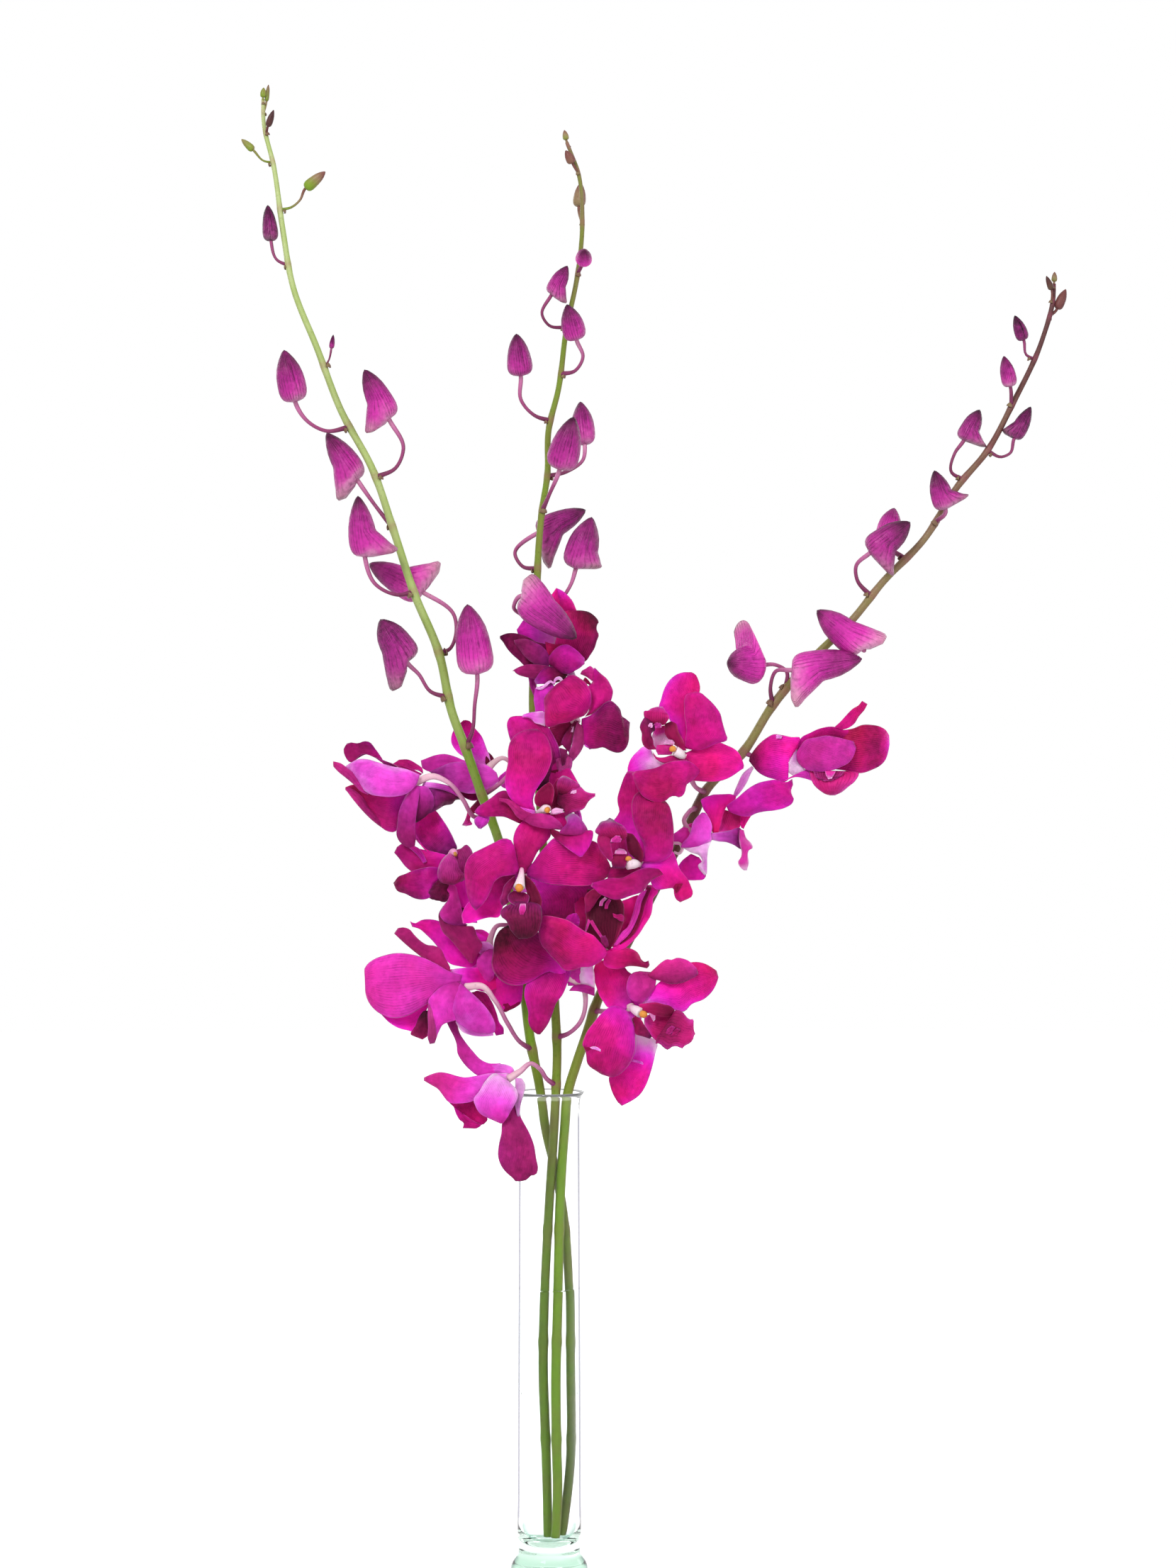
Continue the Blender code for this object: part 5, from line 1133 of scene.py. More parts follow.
        petal((-3.6, -5.4, 0.6, -7.8, 5, -9, 9, -9.6, 15, -10), (-3, -4.4, 0, -3, 5, -2.7, 9, -3.4, 12, -5.2,
          14.6, -7.8, 15.4, -10), (-34, -39, -36), (0.22, 0.34), (0.33, 0.13), bulge=2.2, back=True,
          wave=0.5),
        petal((10, -12.6, 14, -16, 19, -20, 24.4, -23.4), (9, -9.6, 15, -12, 22, -12.4, 27, -11, 30, -11, 30,
          -15, 28, -19.4, 25, -23.3), (-38, -43, -44), (0.08, 0.47), (0.67, 0.03), bulge=1.5, curl=-0.5),
        petal((17, -4, 18, -7, 16, -9.4, 14.4, -12, 17, -13), (19, -2.4, 21.6, -2.8, 24, -5, 26, -7.6, 27.6,
          -10.6, 28, -12.4, 22, -13), (-36, -42, -40), (1, 0), (0.46, 0.38), bulge=4, back=True, wave=0.5),
        petal((21.4, -1, 22, -2.6, 23.6, -4.8, 25, -6.4), (23.6, -0.6, 24.4, -3, 25, -5.4), (-32, -34, -34),
          (0.5, 0.71), (0.1, 0), bulge=0.6, back=True, wave=0.2),
    ), lip=(
        petal((5.6, 0.6, 2.8, 2, 2, 4.6, 2.6, 7, 5, 10, 7.6, 12), (9.6, 1, 10.6, 5, 11, 9, 9.6, 12, 8.4,
          12.6), (-33, -37, -36), (0.1, 0), -0.08, bulge=-1, curl=-0.6),
        petal((9, -1, 10, 5, 11, 11, 13.4, 14.6), (17, -1.4, 18.4, 3, 18.4, 8, 16, 13.4), (-33, -33, -32),
          (0.05, 0.2), (0.1, 0), bulge=-1.5, wave=0.9),
        petal((13.6, 7.6, 13, 12, 14, 14.6, 16, 16, 18, 15.4), (17, 6.6, 21, 8, 23.4, 9.4, 24, 11, 23, 12.6,
          20.4, 14, 18, 15.4), (-35, -37, -35), (0.01, 1), (0.31, 0.36), bulge=1.5, wave=1),
        petal((13.4, 7.6, 18, 9, 21, 10, 24, 10.6, 27, 8, 29.4, 7.2, 31.3, 7), (13, 3, 16, 0, 17.4, -4, 19,
          -2.2, 22.5, -1, 26, 0.4, 27.6, 3, 29, 4.8, 31.3, 6.4), (-34, -38, -36), (0.31, 0.54, 0.45), (0.66,
          -0.08), bulge=1.5, wave=1.1),
        petal((19.6, 7.4, 20.6, 8.6, 22, 8.7), (20, 7, 21, 7.3, 22, 8), (-38, -39), 0.95, 0, bulge=0.6,
          wave=0.2),
        petal((9.6, -2.4, 12, -2.4, 15.4, -1.6), (10, -1, 12, 0, 15.5, -0.6), (-37, -38), 0.92, 0, bulge=0.8,
          wave=0.2),
    ), column=(
        (((2, -2.1, -31, 0.6), (4.6, -1.2, -34, 1.3), (7.4, 0, -37, 2.1), (8.8, 0.2, -38.5, 1.4)),
         (0.15, 0, 0.1)),
        (((7.2, -0.8, -38.6, 0.9), (8.4, -0.6, -40.4, 1.5), (9.1, -0.7, -40.8, 0.8)), (0.72, 0.95)),
    )),
    "middle_4": dict(petals=(
        petal((-6, 6, -6, -2, -4, -8), (6, 6, 6, -2, 4, -8), (-29, -29, -29), 0.7, 0.1, bulge=0.5, wave=0.2),
        petal((4, -1, 7, -7, 8, -13, 9, -19, 13, -23), (7, -0.4, 20, -2.4, 30, -3, 35, -6, 35.5, -12, 32, -18,
          25, -23), (-31, -22, -16), (0.57, 0.18), (-0.08, 0.66), bulge=1.5),
        petal((-2.4, 1, -3, 7, -3.8, 13, -4.4, 18, -3.4, 22, -0.6, 26, 3, 28.4), (1.4, 1, 4.4, 7, 7, 12, 11,
          16.4, 13.4, 20, 12, 25, 7, 28.6), (-34, -34, -29), (0.31, 0.27, 0.31), (0.51, 0.14), bulge=1.5,
          wave=0.8),
        petal((-4, -4, -8, -10, -10.4, -16, -12, -20, -17, -20.3, -22, -21.6, -26, -23, -29.4, -23), (-4, 1,
          -12, 0, -17, -5, -21, -10, -25, -12, -28.4, -16, -30, -20), (-33, -31, -31), (0.36, 0.42), (0.59,
          0.03, -0.04), bulge=-1.5, curl=-0.8),
        petal((2, 0, 9, -2.6, 13, -3.8, 19, -4.4, 27, -4.8, 33, -4.4, 38, -2.6, 42.4, 0.4), (2, 2.6, 5, 6, 8,
          10.4, 12, 15, 15, 18, 23, 18.4, 31, 17.6, 37, 15.4, 39.4, 11, 42, 6.4, 43.4, 2.6), (-34, -37, -33),
          (0.54, 0.3, 0.22, 0.21), (0.5, 0.23, 0.31), bulge=2.5, wave=0.8, tilt=2),
        petal((-3, 1, -7, 0.4, -11, -0.4, -14, -2.6, -16, -7, -18, -11, -21, -14.6, -23.6, -16.5), (-2, 2.4,
          -3.2, 8, -4.6, 14.4, -6, 17, -9.4, 18, -14, 16, -18, 14, -22, 12, -25.6, 10, -28, 6, -28.7, 2,
          -28.3, -3, -27.5, -8, -26.4, -12, -25, -15), (-35, -40, -37), (0.52, 0.28, 0.26, 0.36), (0.29,
          0.34), bulge=3, wave=0.8, tilt=-3),
    ), lip=(
        petal((-4, -0.4, -7, -3, -9, -5.4, -10, -9, -11, -12, -10.4, -14), (-4.2, -3.6, -6, -7, -7, -10, -7.4,
          -13, -10, -14.6), (-36, -40, -42), (0.4, 0.51), 0.45, bulge=0.8, wave=0.5, curl=-0.8),
        petal((0.6, -3.6, 2, -7, 2.4, -10, 2.6, -13, 5, -15.6), (1, 0, 4, -2.6, 6, -5.4, 8, -9.4, 9, -13, 8,
          -16), (-36, -41, -43), (0, 0.02), (-0.06, -0.08), bulge=0.8),
        petal((-4, -13, -8, -15, -10.7, -18, -10, -20.6, -8, -22, -7, -24, -5.6, -27, -3.2, -29.6, -1.6,
          -30.7), (3.6, -13, 8, -14.6, 9, -19, 8.6, -23, 7.6, -26.6, 5, -29.6, 2, -30.6), (-43, -49, -49),
          (0.69, 0.38, 0.13), (0.55, 0.62), wave=1.2, curl=1),
        petal((-4.4, -7.6, -6.8, -9.4, -7, -12, -5, -14, -2.4, -15), (1, -8.6, 2.6, -10, 2.2, -13, 0.4, -15,
          -1.6, -15), (-41, -44, -46), (0.33, 0.63), (0.52, 0.42), bulge=-1.5, wave=0.3, curl=-1.4),
        petal((-1, -14, -1.6, -17, -1, -19), (1, -14, 1, -17, 0, -19), (-47, -50, -50), (0.8, 0.4), 0,
          bulge=0.8, wave=0.3),
    ), column=(
        (((-0.6, 3.4, -35, 1), (-0.8, 0.4, -37.6, 1.5), (-1.3, -3, -40, 2.2), (-1.8, -5.6, -41.8, 2.9)),
         (0.35, 0.05,
          0)),
        (((-2, -5.2, -42.6, 1.6), (-1.8, -6.6, -44.4, 2), (-1.6, -7.8, -44.2, 1.2)), (0.72, 0.95)),
    )),
    "middle_5": dict(petals=(
        petal((-15, 10, -16, 18, -16, 26, -15, 31), (-7, 6, -7, 16, -8, 26, -8, 31), (-22, -20), (0.27, 0.07),
          (0.54, -0.08), bulge=1),
        petal((-20, 12, -20.6, 14, -19.5, 16, -17, 17), (-15, 11, -14.4, 13, -15, 16, -16, 17), (-34, -36),
          0.48, 0.34, bulge=1, wave=0.3),
        petal((2.4, 0.7, 4.4, 5.2, 6.3, 9.7, 7.6, 15, 7.3, 18, 6.3, 22.3, 8, 23.6), (3, 0.4, 8, 5, 12, 11, 14,
          17, 15.5, 23, 15, 26, 11, 24.6), (-27, -24, -22), (0.24, 0.16), -0.01),
        petal((2, 0, 7, 4.5, 12, 9.5, 14.7, 15.5, 16.6, 22.6, 18, 27, 19.6, 31), (1, -0.3, 7, 0, 12, 4, 15.3,
          7.8, 17.3, 11, 21, 17.4, 21.6, 21.3, 22, 25, 24, 27, 24.4, 28.4, 21, 31), (-27, -25, -22), (0.44,
          0.27), -0.08),
        # A thin dark sheet along a fold: painted shade in the crease
        petal((5.7, 2, 12, 8.4, 14.7, 15.5, 16.6, 22.6, 19.6, 30.3), (6, 2, 13, 8, 16, 15, 18, 22, 21, 30),
          (-28, -28, -25), 0.08, 0.5, bulge=0.4, wave=0.2),
        petal((3, 1.4, 7, 7.8, 10, 10.4, 12, 15, 13, 18.7, 14, 22.6, 15.3, 26, 18, 28.4), (4, 1.6, 10, 7.2,
          12, 10.4, 14, 15, 15.3, 18.7, 16, 22.6, 17.4, 26, 18.6, 28.6), (-29, -29, -26), (0.48, 0.36), 0.03,
          bulge=0.8, wave=0.3, back=True),
        petal((-0.5, -1, 1, -0.5, 9.5, 0, 11.5, -0.6, 14, -2, 15.3, -3.8, 16.3, -5.8, 18, -7, 19.7, -6.4),
          (-0.7, -1.6, -2, -5, -2, -7, 7, -9.5, 9.5, -8.5, 14, -8.4, 17.3, -9, 19, -9.4, 20, -7.8), (-26, -24,
          -20), (0.38, 0.18, 0.19), (0, 0.37), wave=1),
        petal((-1, -0.6, -4.6, 3.3, -7.2, 6, -11, 7.8, -15, 10.4, -20, 13.6, -25.3, 15, -29, 15.7, -32.4,
          15.4, -33.6, 13.6), (-0.5, -2, -2.7, -5, -5.3, -7, -8.5, -8.6, -13.7, -9, -16, -10, -20, -10.7, -22,
          -10, -24, -7.6, -28, -3.5, -30, -1, -32.4, 1.7, -34, 7.2, -34, 10.4), (-32, -40, -38), (0.4, 0.22,
          0.18, 0.3), (0.13, 0.3, 0.42), bulge=3, dim=0.2, wave=0.9),
    ), lip=(
        petal((-2, 0.6, -4.5, 3.6, -8, 6.6, -11, 8.6, -10.4, 13, -10.6, 18, -10.5, 24, -9.6, 29), (0.6, -0.4,
          3, 3, 5.5, 8, 7, 13, 7.5, 18, 7.2, 22, 4.4, 25.4, -1, 27, -5, 29), (-28, -31, -30), 0, (-0.08,
          0.38), bulge=1, wave=1.2),
        petal((-11, 17.3, -11, 21.3, -11, 26, -9, 28, -7.2, 29), (-9, 18.7, -7.2, 21.3, -5.3, 24.5, -3.4, 27,
          -6, 29), (-33, -34, -33), (0.56, 0.05), (0.43, -0.07)),
        petal((-9.6, 14.4, -10.4, 11, -11, 8.6), (-9, 14, -10, 11, -11, 8.6), (-34, -34), 0.7, 0.1, bulge=0.3,
          wave=0.1),
        petal((-9, 13.6, -6.4, 9.6, -3.6, 5.8), (-8, 14, -5.7, 10, -3.2, 6.2), (-34, -35), 0.6, 0.1,
          bulge=0.3, wave=0.1),
        petal((-4, 21, -3.6, 23, -1.6, 25), (-3.2, 21, -2.6, 23, -1, 24.6), (-34, -34), 0.8, 0.1, bulge=0.3,
          wave=0.2),
        petal((-1.4, 19.6, -1, 22, 0.4, 24), (-0.6, 19.6, 0, 22, 1, 23.6), (-34, -34), 0.6, 0.1, bulge=0.3,
          wave=0.2),
        petal((2.4, 17, 4.4, 16.4, 6.6, 16.6, 7.6, 15.6), (2.6, 16, 4.4, 15, 6, 14, 7.4, 14), (-34, -33), 0.5,
          0.1, bulge=0.5, wave=0.4),
        petal((-0.7, 0.6, -2.8, 3, -3.3, 5.6), (0, 1.4, -0.6, 4, -1.6, 6), (-33, -35), 0.6, 0.5, bulge=0.8,
          wave=0.2),
    )),
    "right_5": dict(petals=(
        petal((-4, 5, -4, 0, -3, -6), (5, 5, 5, 0, 4, -6), (-20, -20, -20), 0.7, 0.1, bulge=0.5, wave=0.2),
        petal((2, -12.5, 1, -19, 0, -25, -3, -30, -7, -33, -11, -34.3, -10.5, -39, -9, -43, -6.7, -46.8),
          (5.3, -14.3, 9, -15, 12, -18, 11, -22.4, 10, -27, 7.8, -34.6, 6, -39, 3.3, -43, 0, -45.5, -3, -47,
          -5.4, -48), (-22, -20, -18), (0.95, 0.81, 0.37, 0.23, 0.25), (-0.08, 0.13), turn=0.15),
        petal((0.4, -26, 2.6, -26.6, 5.3, -27.3), (0, -26.4, 2.4, -27, 5.2, -28), (-22.6, -22.4), 0.84, 0,
          bulge=0.3, wave=0.1),
        petal((-3, -1, -9, 0, -11.5, 0, -14, 3, -16, 6, -17.3, 10, -18.3, 13, -18.7, 17, -18, 20.7, -16,
          22.6), (-1, 1, -0.5, 4, -1.5, 8, -1, 12, -0.5, 16, -2.5, 17.5, -4.4, 20, -6.3, 21.7, -9.6, 23, -13,
          23), (-23, -18, -14), (0.62, 0.25, 0.07), (0.35, -0.08), bulge=1, dim=0.35, wave=0.8),
        petal((3, 2.5, 9, 8, 17, 15, 25, 20.5, 31, 22, 35, 21.4, 38.8, 19.4, 41.3, 17.5), (3.3, 1, 10, 2,
          14.3, 1.4, 19, 0, 20.7, -1, 24.6, -2, 26.5, -1, 28.5, 1.4, 35.5, 4.6, 39.4, 8.5, 41.3, 12.4, 42,
          15), (-24, -24, -17), (0.85, 0.45, 0.09), (-0.08, 0.19), turn=0.3),
        petal((0, 3.4, -1, 4.6, -2.5, 10, -2, 13, -0.5, 16, 1, 17, 4, 17.4), (4, 1.6, 8, 6, 11, 11, 11, 15, 9,
          17), (-26, -27, -24), (0.44, 0.19), (0.21, 0.27), back=True),
        petal((8.5, 16.7, 11.7, 19.4, 14.3, 21.7, 17.5, 23.3, 19, 23, 22, 24, 25, 23.6, 28, 22.3, 30, 20.4,
          31.4, 19), (7, 15.4, 10.4, 14.3, 14.3, 13.3, 18, 12, 21.4, 12, 26, 13, 29, 14.6, 31, 15.6, 32, 17),
          (-26, -29, -25), (0, 0.33), (0.1, 0.2, 0.18), back=True, dim=0.6, bulge=1.5),
        petal((-5, -0.5, -9, 0.6, -13, -1.5, -16, -4.4, -19, -8, -22, -12, -23.7, -16, -24.4, -18.5, -23, -21,
          -22.3, -25, -22, -27.5, -20.5, -29.4, -18, -31, -15, -32.8), (-2.5, -2, 0, -7.6, 1, -11, 1, -15.3,
          1, -20.4, -0.5, -25.6, -3, -29.4, -6.3, -32.6, -9.6, -34, -12, -33.8), (-25, -31, -28), (0.59, 0.4,
          0.28, 0.32), (0.16, 0.35), bulge=4, turn=0.12, wave=1),
        petal((-20.6, -20, -19, -19.7, -17.4, -20, -16, -21), (-20, -20.4, -18.6, -20.5, -17, -21, -16,
          -21.3), (-33.5, -34.5), 0.84, 0, bulge=0.2, wave=0.1, back=True),
        petal((-24, -19.6, -22, -20, -20, -20), (-23, -21, -22, -21, -20, -20.5), (-32, -33), 0.08, 0.4,
          bulge=0.2, wave=0.1),
    ), lip=(
        petal((4, 0, 3.3, 1, 6.6, 1.5, 11.7, 2, 15.6, 1, 19, 0, 20.4, -1.5), (5, -2, 9, -3, 13, -4, 17, -4.4,
          21, -3.2), (-28, -32, -33), (0.47, 0), (-0.06, -0.08)),
        petal((6, -5, 11, -3, 16, -2.5, 20, -3), (6, -9, 9, -13.5, 13, -17, 19, -18.5), (-29, -28, -32),
          (0.71, 0.39, 0.25), (-0.03, -0.08), bulge=-1, wave=1),
        petal((8.4, -2.6, 9.4, -4.4, 10.6, -6.4), (9.4, -2.2, 11, -4, 11, -6), (-31, -31), 0.9, 0.1,
          bulge=0.4, wave=0.2),
        petal((0, -6, 1.4, -4.7, 4, -6.3, 6, -9.5, 8.5, -13.4, 9, -14.6), (0.4, -8, 1, -9.5, 1.7, -12.7, 5.3,
          -14, 8.6, -15), (-26, -32, -33), (0, 0.56), (-0.08, 0.69), bulge=1),
        petal((17, -9, 19, -5, 21.4, -1.7, 24.6, -2.7, 26.5, -5, 28, -6.3, 30, -6.3, 30, -8, 30, -11, 30.4,
          -13.4), (14, -13, 12.4, -15, 11.7, -17.7, 13.3, -17.5, 15, -19, 17.5, -20.6, 20, -19, 22.7, -19,
          24.6, -20, 26, -18.5, 28, -17.5, 29.4, -16, 30, -14), (-33, -35, -33), (0.43, 0.42, 0.53, 0.48),
          (0.55, -0.01), wave=1.5),
        petal((16.6, -13, 17.6, -11, 19.4, -9.4), (18, -13.4, 19.6, -12, 20.6, -10), (-36, -37), 0.6, 0.2,
          bulge=0.5),
        petal((19.6, -14, 20.4, -12, 22, -10.6), (21, -14, 22, -13, 23, -11), (-36, -37), 0.5, 0.2,
          bulge=0.5),
    ), column=(
        (((-0.7, 0, -25, 1.3), (1.6, -1.4, -28, 2.3), (3.9, -2.7, -30, 2.5)), (0.3, 0.05, 0)),
        (((4.3, -2.8, -31, 1.5), (5.8, -4, -32, 1.9), (6.2, -5, -32, 1)), (0.72, 0.9)),
    )),
    "right_4": dict(petals=(
        petal((-6, 6, -6, 0, -4, -5), (2, 6, 2, 0, 0, -5), (-30, -30, -30), 0.7, 0.1, bulge=0.5, wave=0.2),
        petal((0, 2, -2, 8, -5, 14, -8, 18.5, -12, 21, -10.5, 23, -9, 26, -9.7, 29, -10, 32, -9, 36, -7.8,
          39.5, -6.4, 43, -5, 45), (3, 2, 3.5, 7, 3, 14, 2, 22, 2, 30, 2, 38, 0, 43, -3, 45), (-33, -28, -25),
          (0.51, 0.53, 0.43, 0.18, 0.26), (0.1, 0.1, 0.24, 0.25), bulge=1),
        petal((1, -1, -4, -2, -13, -2, -14.6, -5), (1, -4, -4, -7, -10, -8.5, -15, -7.5), (-33, -35, -34),
          0.28, 0.36),
        petal((2.4, 0.4, 7.2, 1, 12.7, 2.2, 16.4, 6, 18, 3.4, 19, 0, 20, -2.7, 22, -5.5, 24, -8, 25.6, -11.6,
          26.5, -14.7, 26, -16, 23, -17.7), (1, -2, 4, -5, 6, -8, 7.2, -11, 9.3, -12.6, 12.7, -12.4, 15.4,
          -12, 17.4, -12, 18, -15, 19, -17.4, 21, -18.6), (-34, -32, -27), (0.71, 0.4, 0.32, 0.13), (0.15,
          0.09, 0.05)),
        # A small dark sheet in a fold: painted shade
        petal((17.6, -10, 18, -12.4, 18.6, -14.4), (21.6, -10, 20.6, -12, 19, -14), (-32, -31), 0.08, 0.4,
          bulge=0.4, wave=0.3),
        petal((10, -3, 4, -2.6, -1, -4, -4.4, -5.8, -7.8, -7.4, -14.6, -7.7, -18.7, -9, -22.6, -10), (12, -5,
          7.2, -7.5, 4.5, -10, 2, -13.6, -1, -14.7, -4.4, -15.7, -7.8, -17, -12.5, -17.4, -16, -16, -19.4,
          -14.3, -21.4, -12.3, -23, -11), (-37, -43, -44), (0.25, 0.3, 0.41), (0.47, 0.23), bulge=2.5,
          wave=0.8),
        petal((1.6, 1, 3, 5, 3, 9, 0.4, 14.3, -1.6, 19, -2.7, 24, -3, 29.3, -2.3, 32, -1, 34, 1.5, 35.4, 5,
          35), (4.5, 0.7, 10, 1, 12.7, 2, 15.4, 4, 16.6, 6.8, 17, 12, 17, 17, 16.4, 22.5, 15.7, 26, 14.7,
          28.6, 12, 31.5, 8, 34), (-35, -38, -30), (0.42, 0.24, 0.17), (0.27, 0.49), bulge=3.5, wave=0.9),
    ), lip=(
        petal((-14, 13, -14, 8, -13, 2), (-6.5, 14, -5.6, 8, -5.4, 2), (-40, -37, -36), (0.45, 0.57), -0.08,
          bulge=-1),
        petal((-5.7, 15, -5.4, 10, -4.4, 5.5, -1, 2.4), (-3, 14.4, -1, 11.6, 0.4, 9, 2, 3.4, 1, 1), (-40, -41,
          -38), 0, (0.01, -0.01)),
        petal((-14.5, 10, -18, 13.5, -21, 15.6, -19.7, 18.4, -18, 20.5, -15.6, 21, -14, 22), (-9, 11, -6,
          13.6, -6.4, 16.3, -7.8, 18.4, -10, 19.7, -12, 20.6, -13, 21.5), (-43, -49, -49), (0, 0.98), (-0.08,
          0.63), wave=1.1),
        petal((-19.4, 14.3, -20, 11, -18.7, 6.8, -16, 3.4, -13.6, 1.3), (-14, 14, -14, 10, -13.6, 7, -13, 3.8,
          -12.6, 1.6), (-47, -46, -40), (0.28, 0.62), (0.28, -0.04), wave=0.9),
        petal((-13.4, 10.5, -13, 12, -11, 13.4), (-9.4, 10.4, -8.7, 12, -9.6, 13.3), (-48, -49), 0.68, 0.1,
          bulge=1),
        petal((-13, 4, -13, 1, -12.4, -2), (-6.8, 4, -6.2, 1, -7, -2), (-42, -42), (0.09, 0.65), (-0.08,
          0.67), bulge=1.4, wave=0.3),
        petal((-11.4, 4.8, -11, 6.2, -9.4, 7), (-6.2, 4.6, -6.2, 5.6, -7.4, 6.6), (-43, -43), 0.86, 0.1,
          bulge=0.8, wave=0.3),
    ), column=(
        (((0.2, -0.4, -37, 1.3), (-2, -0.2, -40, 2.3), (-5.4, -0.6, -42, 2.5)), (0.2, 0, 0.15)),
        (((-3.8, 2.4, -42, 0.8), (-5.2, 2.4, -43, 1.3), (-5.8, 1.4, -43, 0.8)), (0.8, 0.95)),
    )),
    "right_2": dict(petals=(
        petal((-8, -3.5, -12.7, -2.6, -15, 0, -16, 2.5, -19.6, 3.2, -22.3, 1, -24.3, -1, -26, -3.6, -27, -7),
          (-7, -6, -12, -8, -18, -9.5, -23, -10.5, -27, -9.5), (-27, -25, -22), (1, 0.84, 0.43), (0.01,
          -0.08), bulge=1.5),
        petal((0, 3, -2, 9.3, -4, 12.7, -6.3, 17, -7.6, 19.6, -11.5, 22.6, -10.4, 27, -9.3, 31, -7.3, 35, -5,
          37.6, -2.5, 39.2, 0.6, 40), (2, 2.5, 3, 10, 3, 20, 4, 27, 7.7, 30.4, 8, 33.2, 7.2, 36.2, 5.7, 39,
          3.6, 40), (-27, -23, -19), (0.34, 0.43, 0.36, 0.34), (0.16, 0.11), turn=-0.42, bulge=1.5),
        petal((1, 0, 6.4, 2.5, 11, 3.5, 17, 5.6, 21.3, 4, 25.4, 2, 27.5, 0, 29, -3.6, 29.6, -6), (1, -3, 4,
          -9, 4.6, -12.5, 7.7, -13, 13, -13.3, 18, -13, 21.3, -12, 25, -10, 28, -7.7, 29.5, -6.6), (-26, -25,
          -19), (0.33, 0.21, 0.38), (0.3, 0.06, -0.08), dim=0.12),
        petal((1.4, 3, 1.4, 6, 2, 10.7, 1.6, 15.5, 1, 19.6, 1, 23, 1, 26.4, 2.6, 29.5, 4.8, 30), (3.6, 2.4,
          6.4, 2, 11, 3, 14.5, 4.6, 17, 5.6, 20.7, 6.5, 21.7, 7.3, 21, 9.3, 19, 16, 18, 20, 16, 23, 14, 25.3,
          11, 28, 8.4, 30, 6, 30.3), (-28, -33, -29), (0.42, 0.3, 0.3), (0.28, 0.23), bulge=3, wave=0.8),
        petal((8, -8, 5.7, -5.7, 3, -4, -2, -3.6, -8, -4.6, -13, -7, -19, -8.3, -23.5, -9), (8, -9, 6.4, -11,
          4.3, -13, 2, -14.5, 1, -18, 0, -20, -2, -21, -4, -20.3, -6, -20.6, -8.6, -22.7, -12.7, -23.6, -16,
          -22.7, -19.6, -20.6, -23, -15, -24.6, -9.7), (-31, -37, -33), (0.42, 0.19, 0.28), 0.29, bulge=2.5,
          wave=0.8),
    ), lip=(
        petal((-15, 1, -13, -1.6, -9, -2, -6, -1, -1.5, -2.2, 1.4, -3.2), (-13.6, -2, -11.4, -3.6, -8, -4.3,
          -2.5, -3.7, 1, -3.8), (-31, -32, -30), 0.45, 0.05, bulge=1),
        petal((-8.6, 15, -8.4, 10, -6, 6.6, 0, 2), (-6, 16, -4, 15, -2.5, 10.7, 0, 6, 1, 2), (-32, -31, -28),
          (0, 0.36), (-0.05, -0.08)),
        petal((-13.6, 13, -15, 8, -14.4, 2.6), (-7.2, 14.4, -5.6, 9, -5.6, 3), (-30, -28, -30), (0.39, 0.91,
          0.79), -0.08, bulge=-1),
        petal((-17, 14, -18.4, 17, -18.5, 21.3, -17, 21.3, -15.5, 22.3, -12.7, 23), (-9.3, 14.4, -7.3, 18.7,
          -8, 20, -9.3, 21.6, -10.7, 23), (-34, -38, -37), (0.15, 0.75), (-0.08, 0.2), wave=1.1),
        petal((-14.4, 16, -18, 18.4, -20, 16, -21, 13, -20, 10, -20, 6.6, -19, 4, -17, 2.5), (-14, 12, -15.6,
          10.7, -15, 6.6, -14.6, 4, -13.3, 2.6), (-36, -36, -31), (0.69, 0.26), (0.85, -0.08), wave=1),
        petal((-12.6, 4.4, -13, 2, -12, 0), (-5.4, 4.6, -5, 2.4, -6, 0), (-33, -33), 0.5, 0.08, bulge=1.4,
          wave=0.3),
        petal((-9, 4.8, -8.6, 6.4, -7, 6.8), (-4.8, 4.6, -4.6, 5.8, -5.6, 6.6), (-34, -34), 0.85, 0.1,
          bulge=0.8, wave=0.3),
        petal((-17, 13, -17, 14.4, -16, 15), (-15.5, 13, -15.3, 14, -15.7, 15), (-38, -38), 0.95, 0,
          bulge=0.4, wave=0.2),
        petal((-14.6, 12.6, -14.4, 14.4, -13, 15.4), (-11, 13, -11, 14.6, -12, 15.4), (-36, -37), 0.7, 0.2,
          bulge=0.6),
    ), column=(
        (((0.2, -1.4, -30, 1.4), (-1.4, 0, -33, 2.3), (-3.8, 1.6, -34, 2.4)), (0.25, 0, 0.1)),
        (((-4.4, 2.6, -34.6, 1.4), (-5.4, 2.4, -35.6, 1.6), (-5.8, 1.4, -35.4, 1)), (0.72, 0.95)),
    )),
    "right_3": dict(petals=(
        petal((11, 17, 12, 20, 13.5, 23.5, 16, 28.3, 20, 31.5), (12, 17, 15.5, 21.4, 17.6, 25, 19.3, 29, 20.4,
          31), (-4, -1, 1), 0.8, -0.08, back=True, bulge=1, wave=0.3),
        petal((1, -1, 0, 3, -1.5, 7.8, -3.6, 11, -4.4, 13.6, -4.8, 15, -2.2, 16.7), (3, -1, 4.2, 3, 5.5, 8, 8,
          13, 11, 15, 12, 16.7, 9.4, 18, 6, 18, 1, 17.7), (-9, -6, -2), (0.02, 0.59), (0.06, -0.08),
          bulge=1.5),
        petal((15, 8, 14.6, 5, 15, 2), (19.6, 8, 17.6, 5, 15.6, 1.6), (-5, -6), 0.32, 0.05, bulge=0.6,
          wave=0.4),
        petal((-9.7, -11.4, -12, -13, -14.5, -15.3, -16, -18, -14, -21.5, -12.4, -24), (-6.3, -13, -5, -15.3,
          -6, -17.6, -3.8, -20.3, -3, -21.6, -4, -23.5, -8.3, -24), (-10, -9, -8), (0.38, 0.45), (0.21, 0.1),
          bulge=1.2),
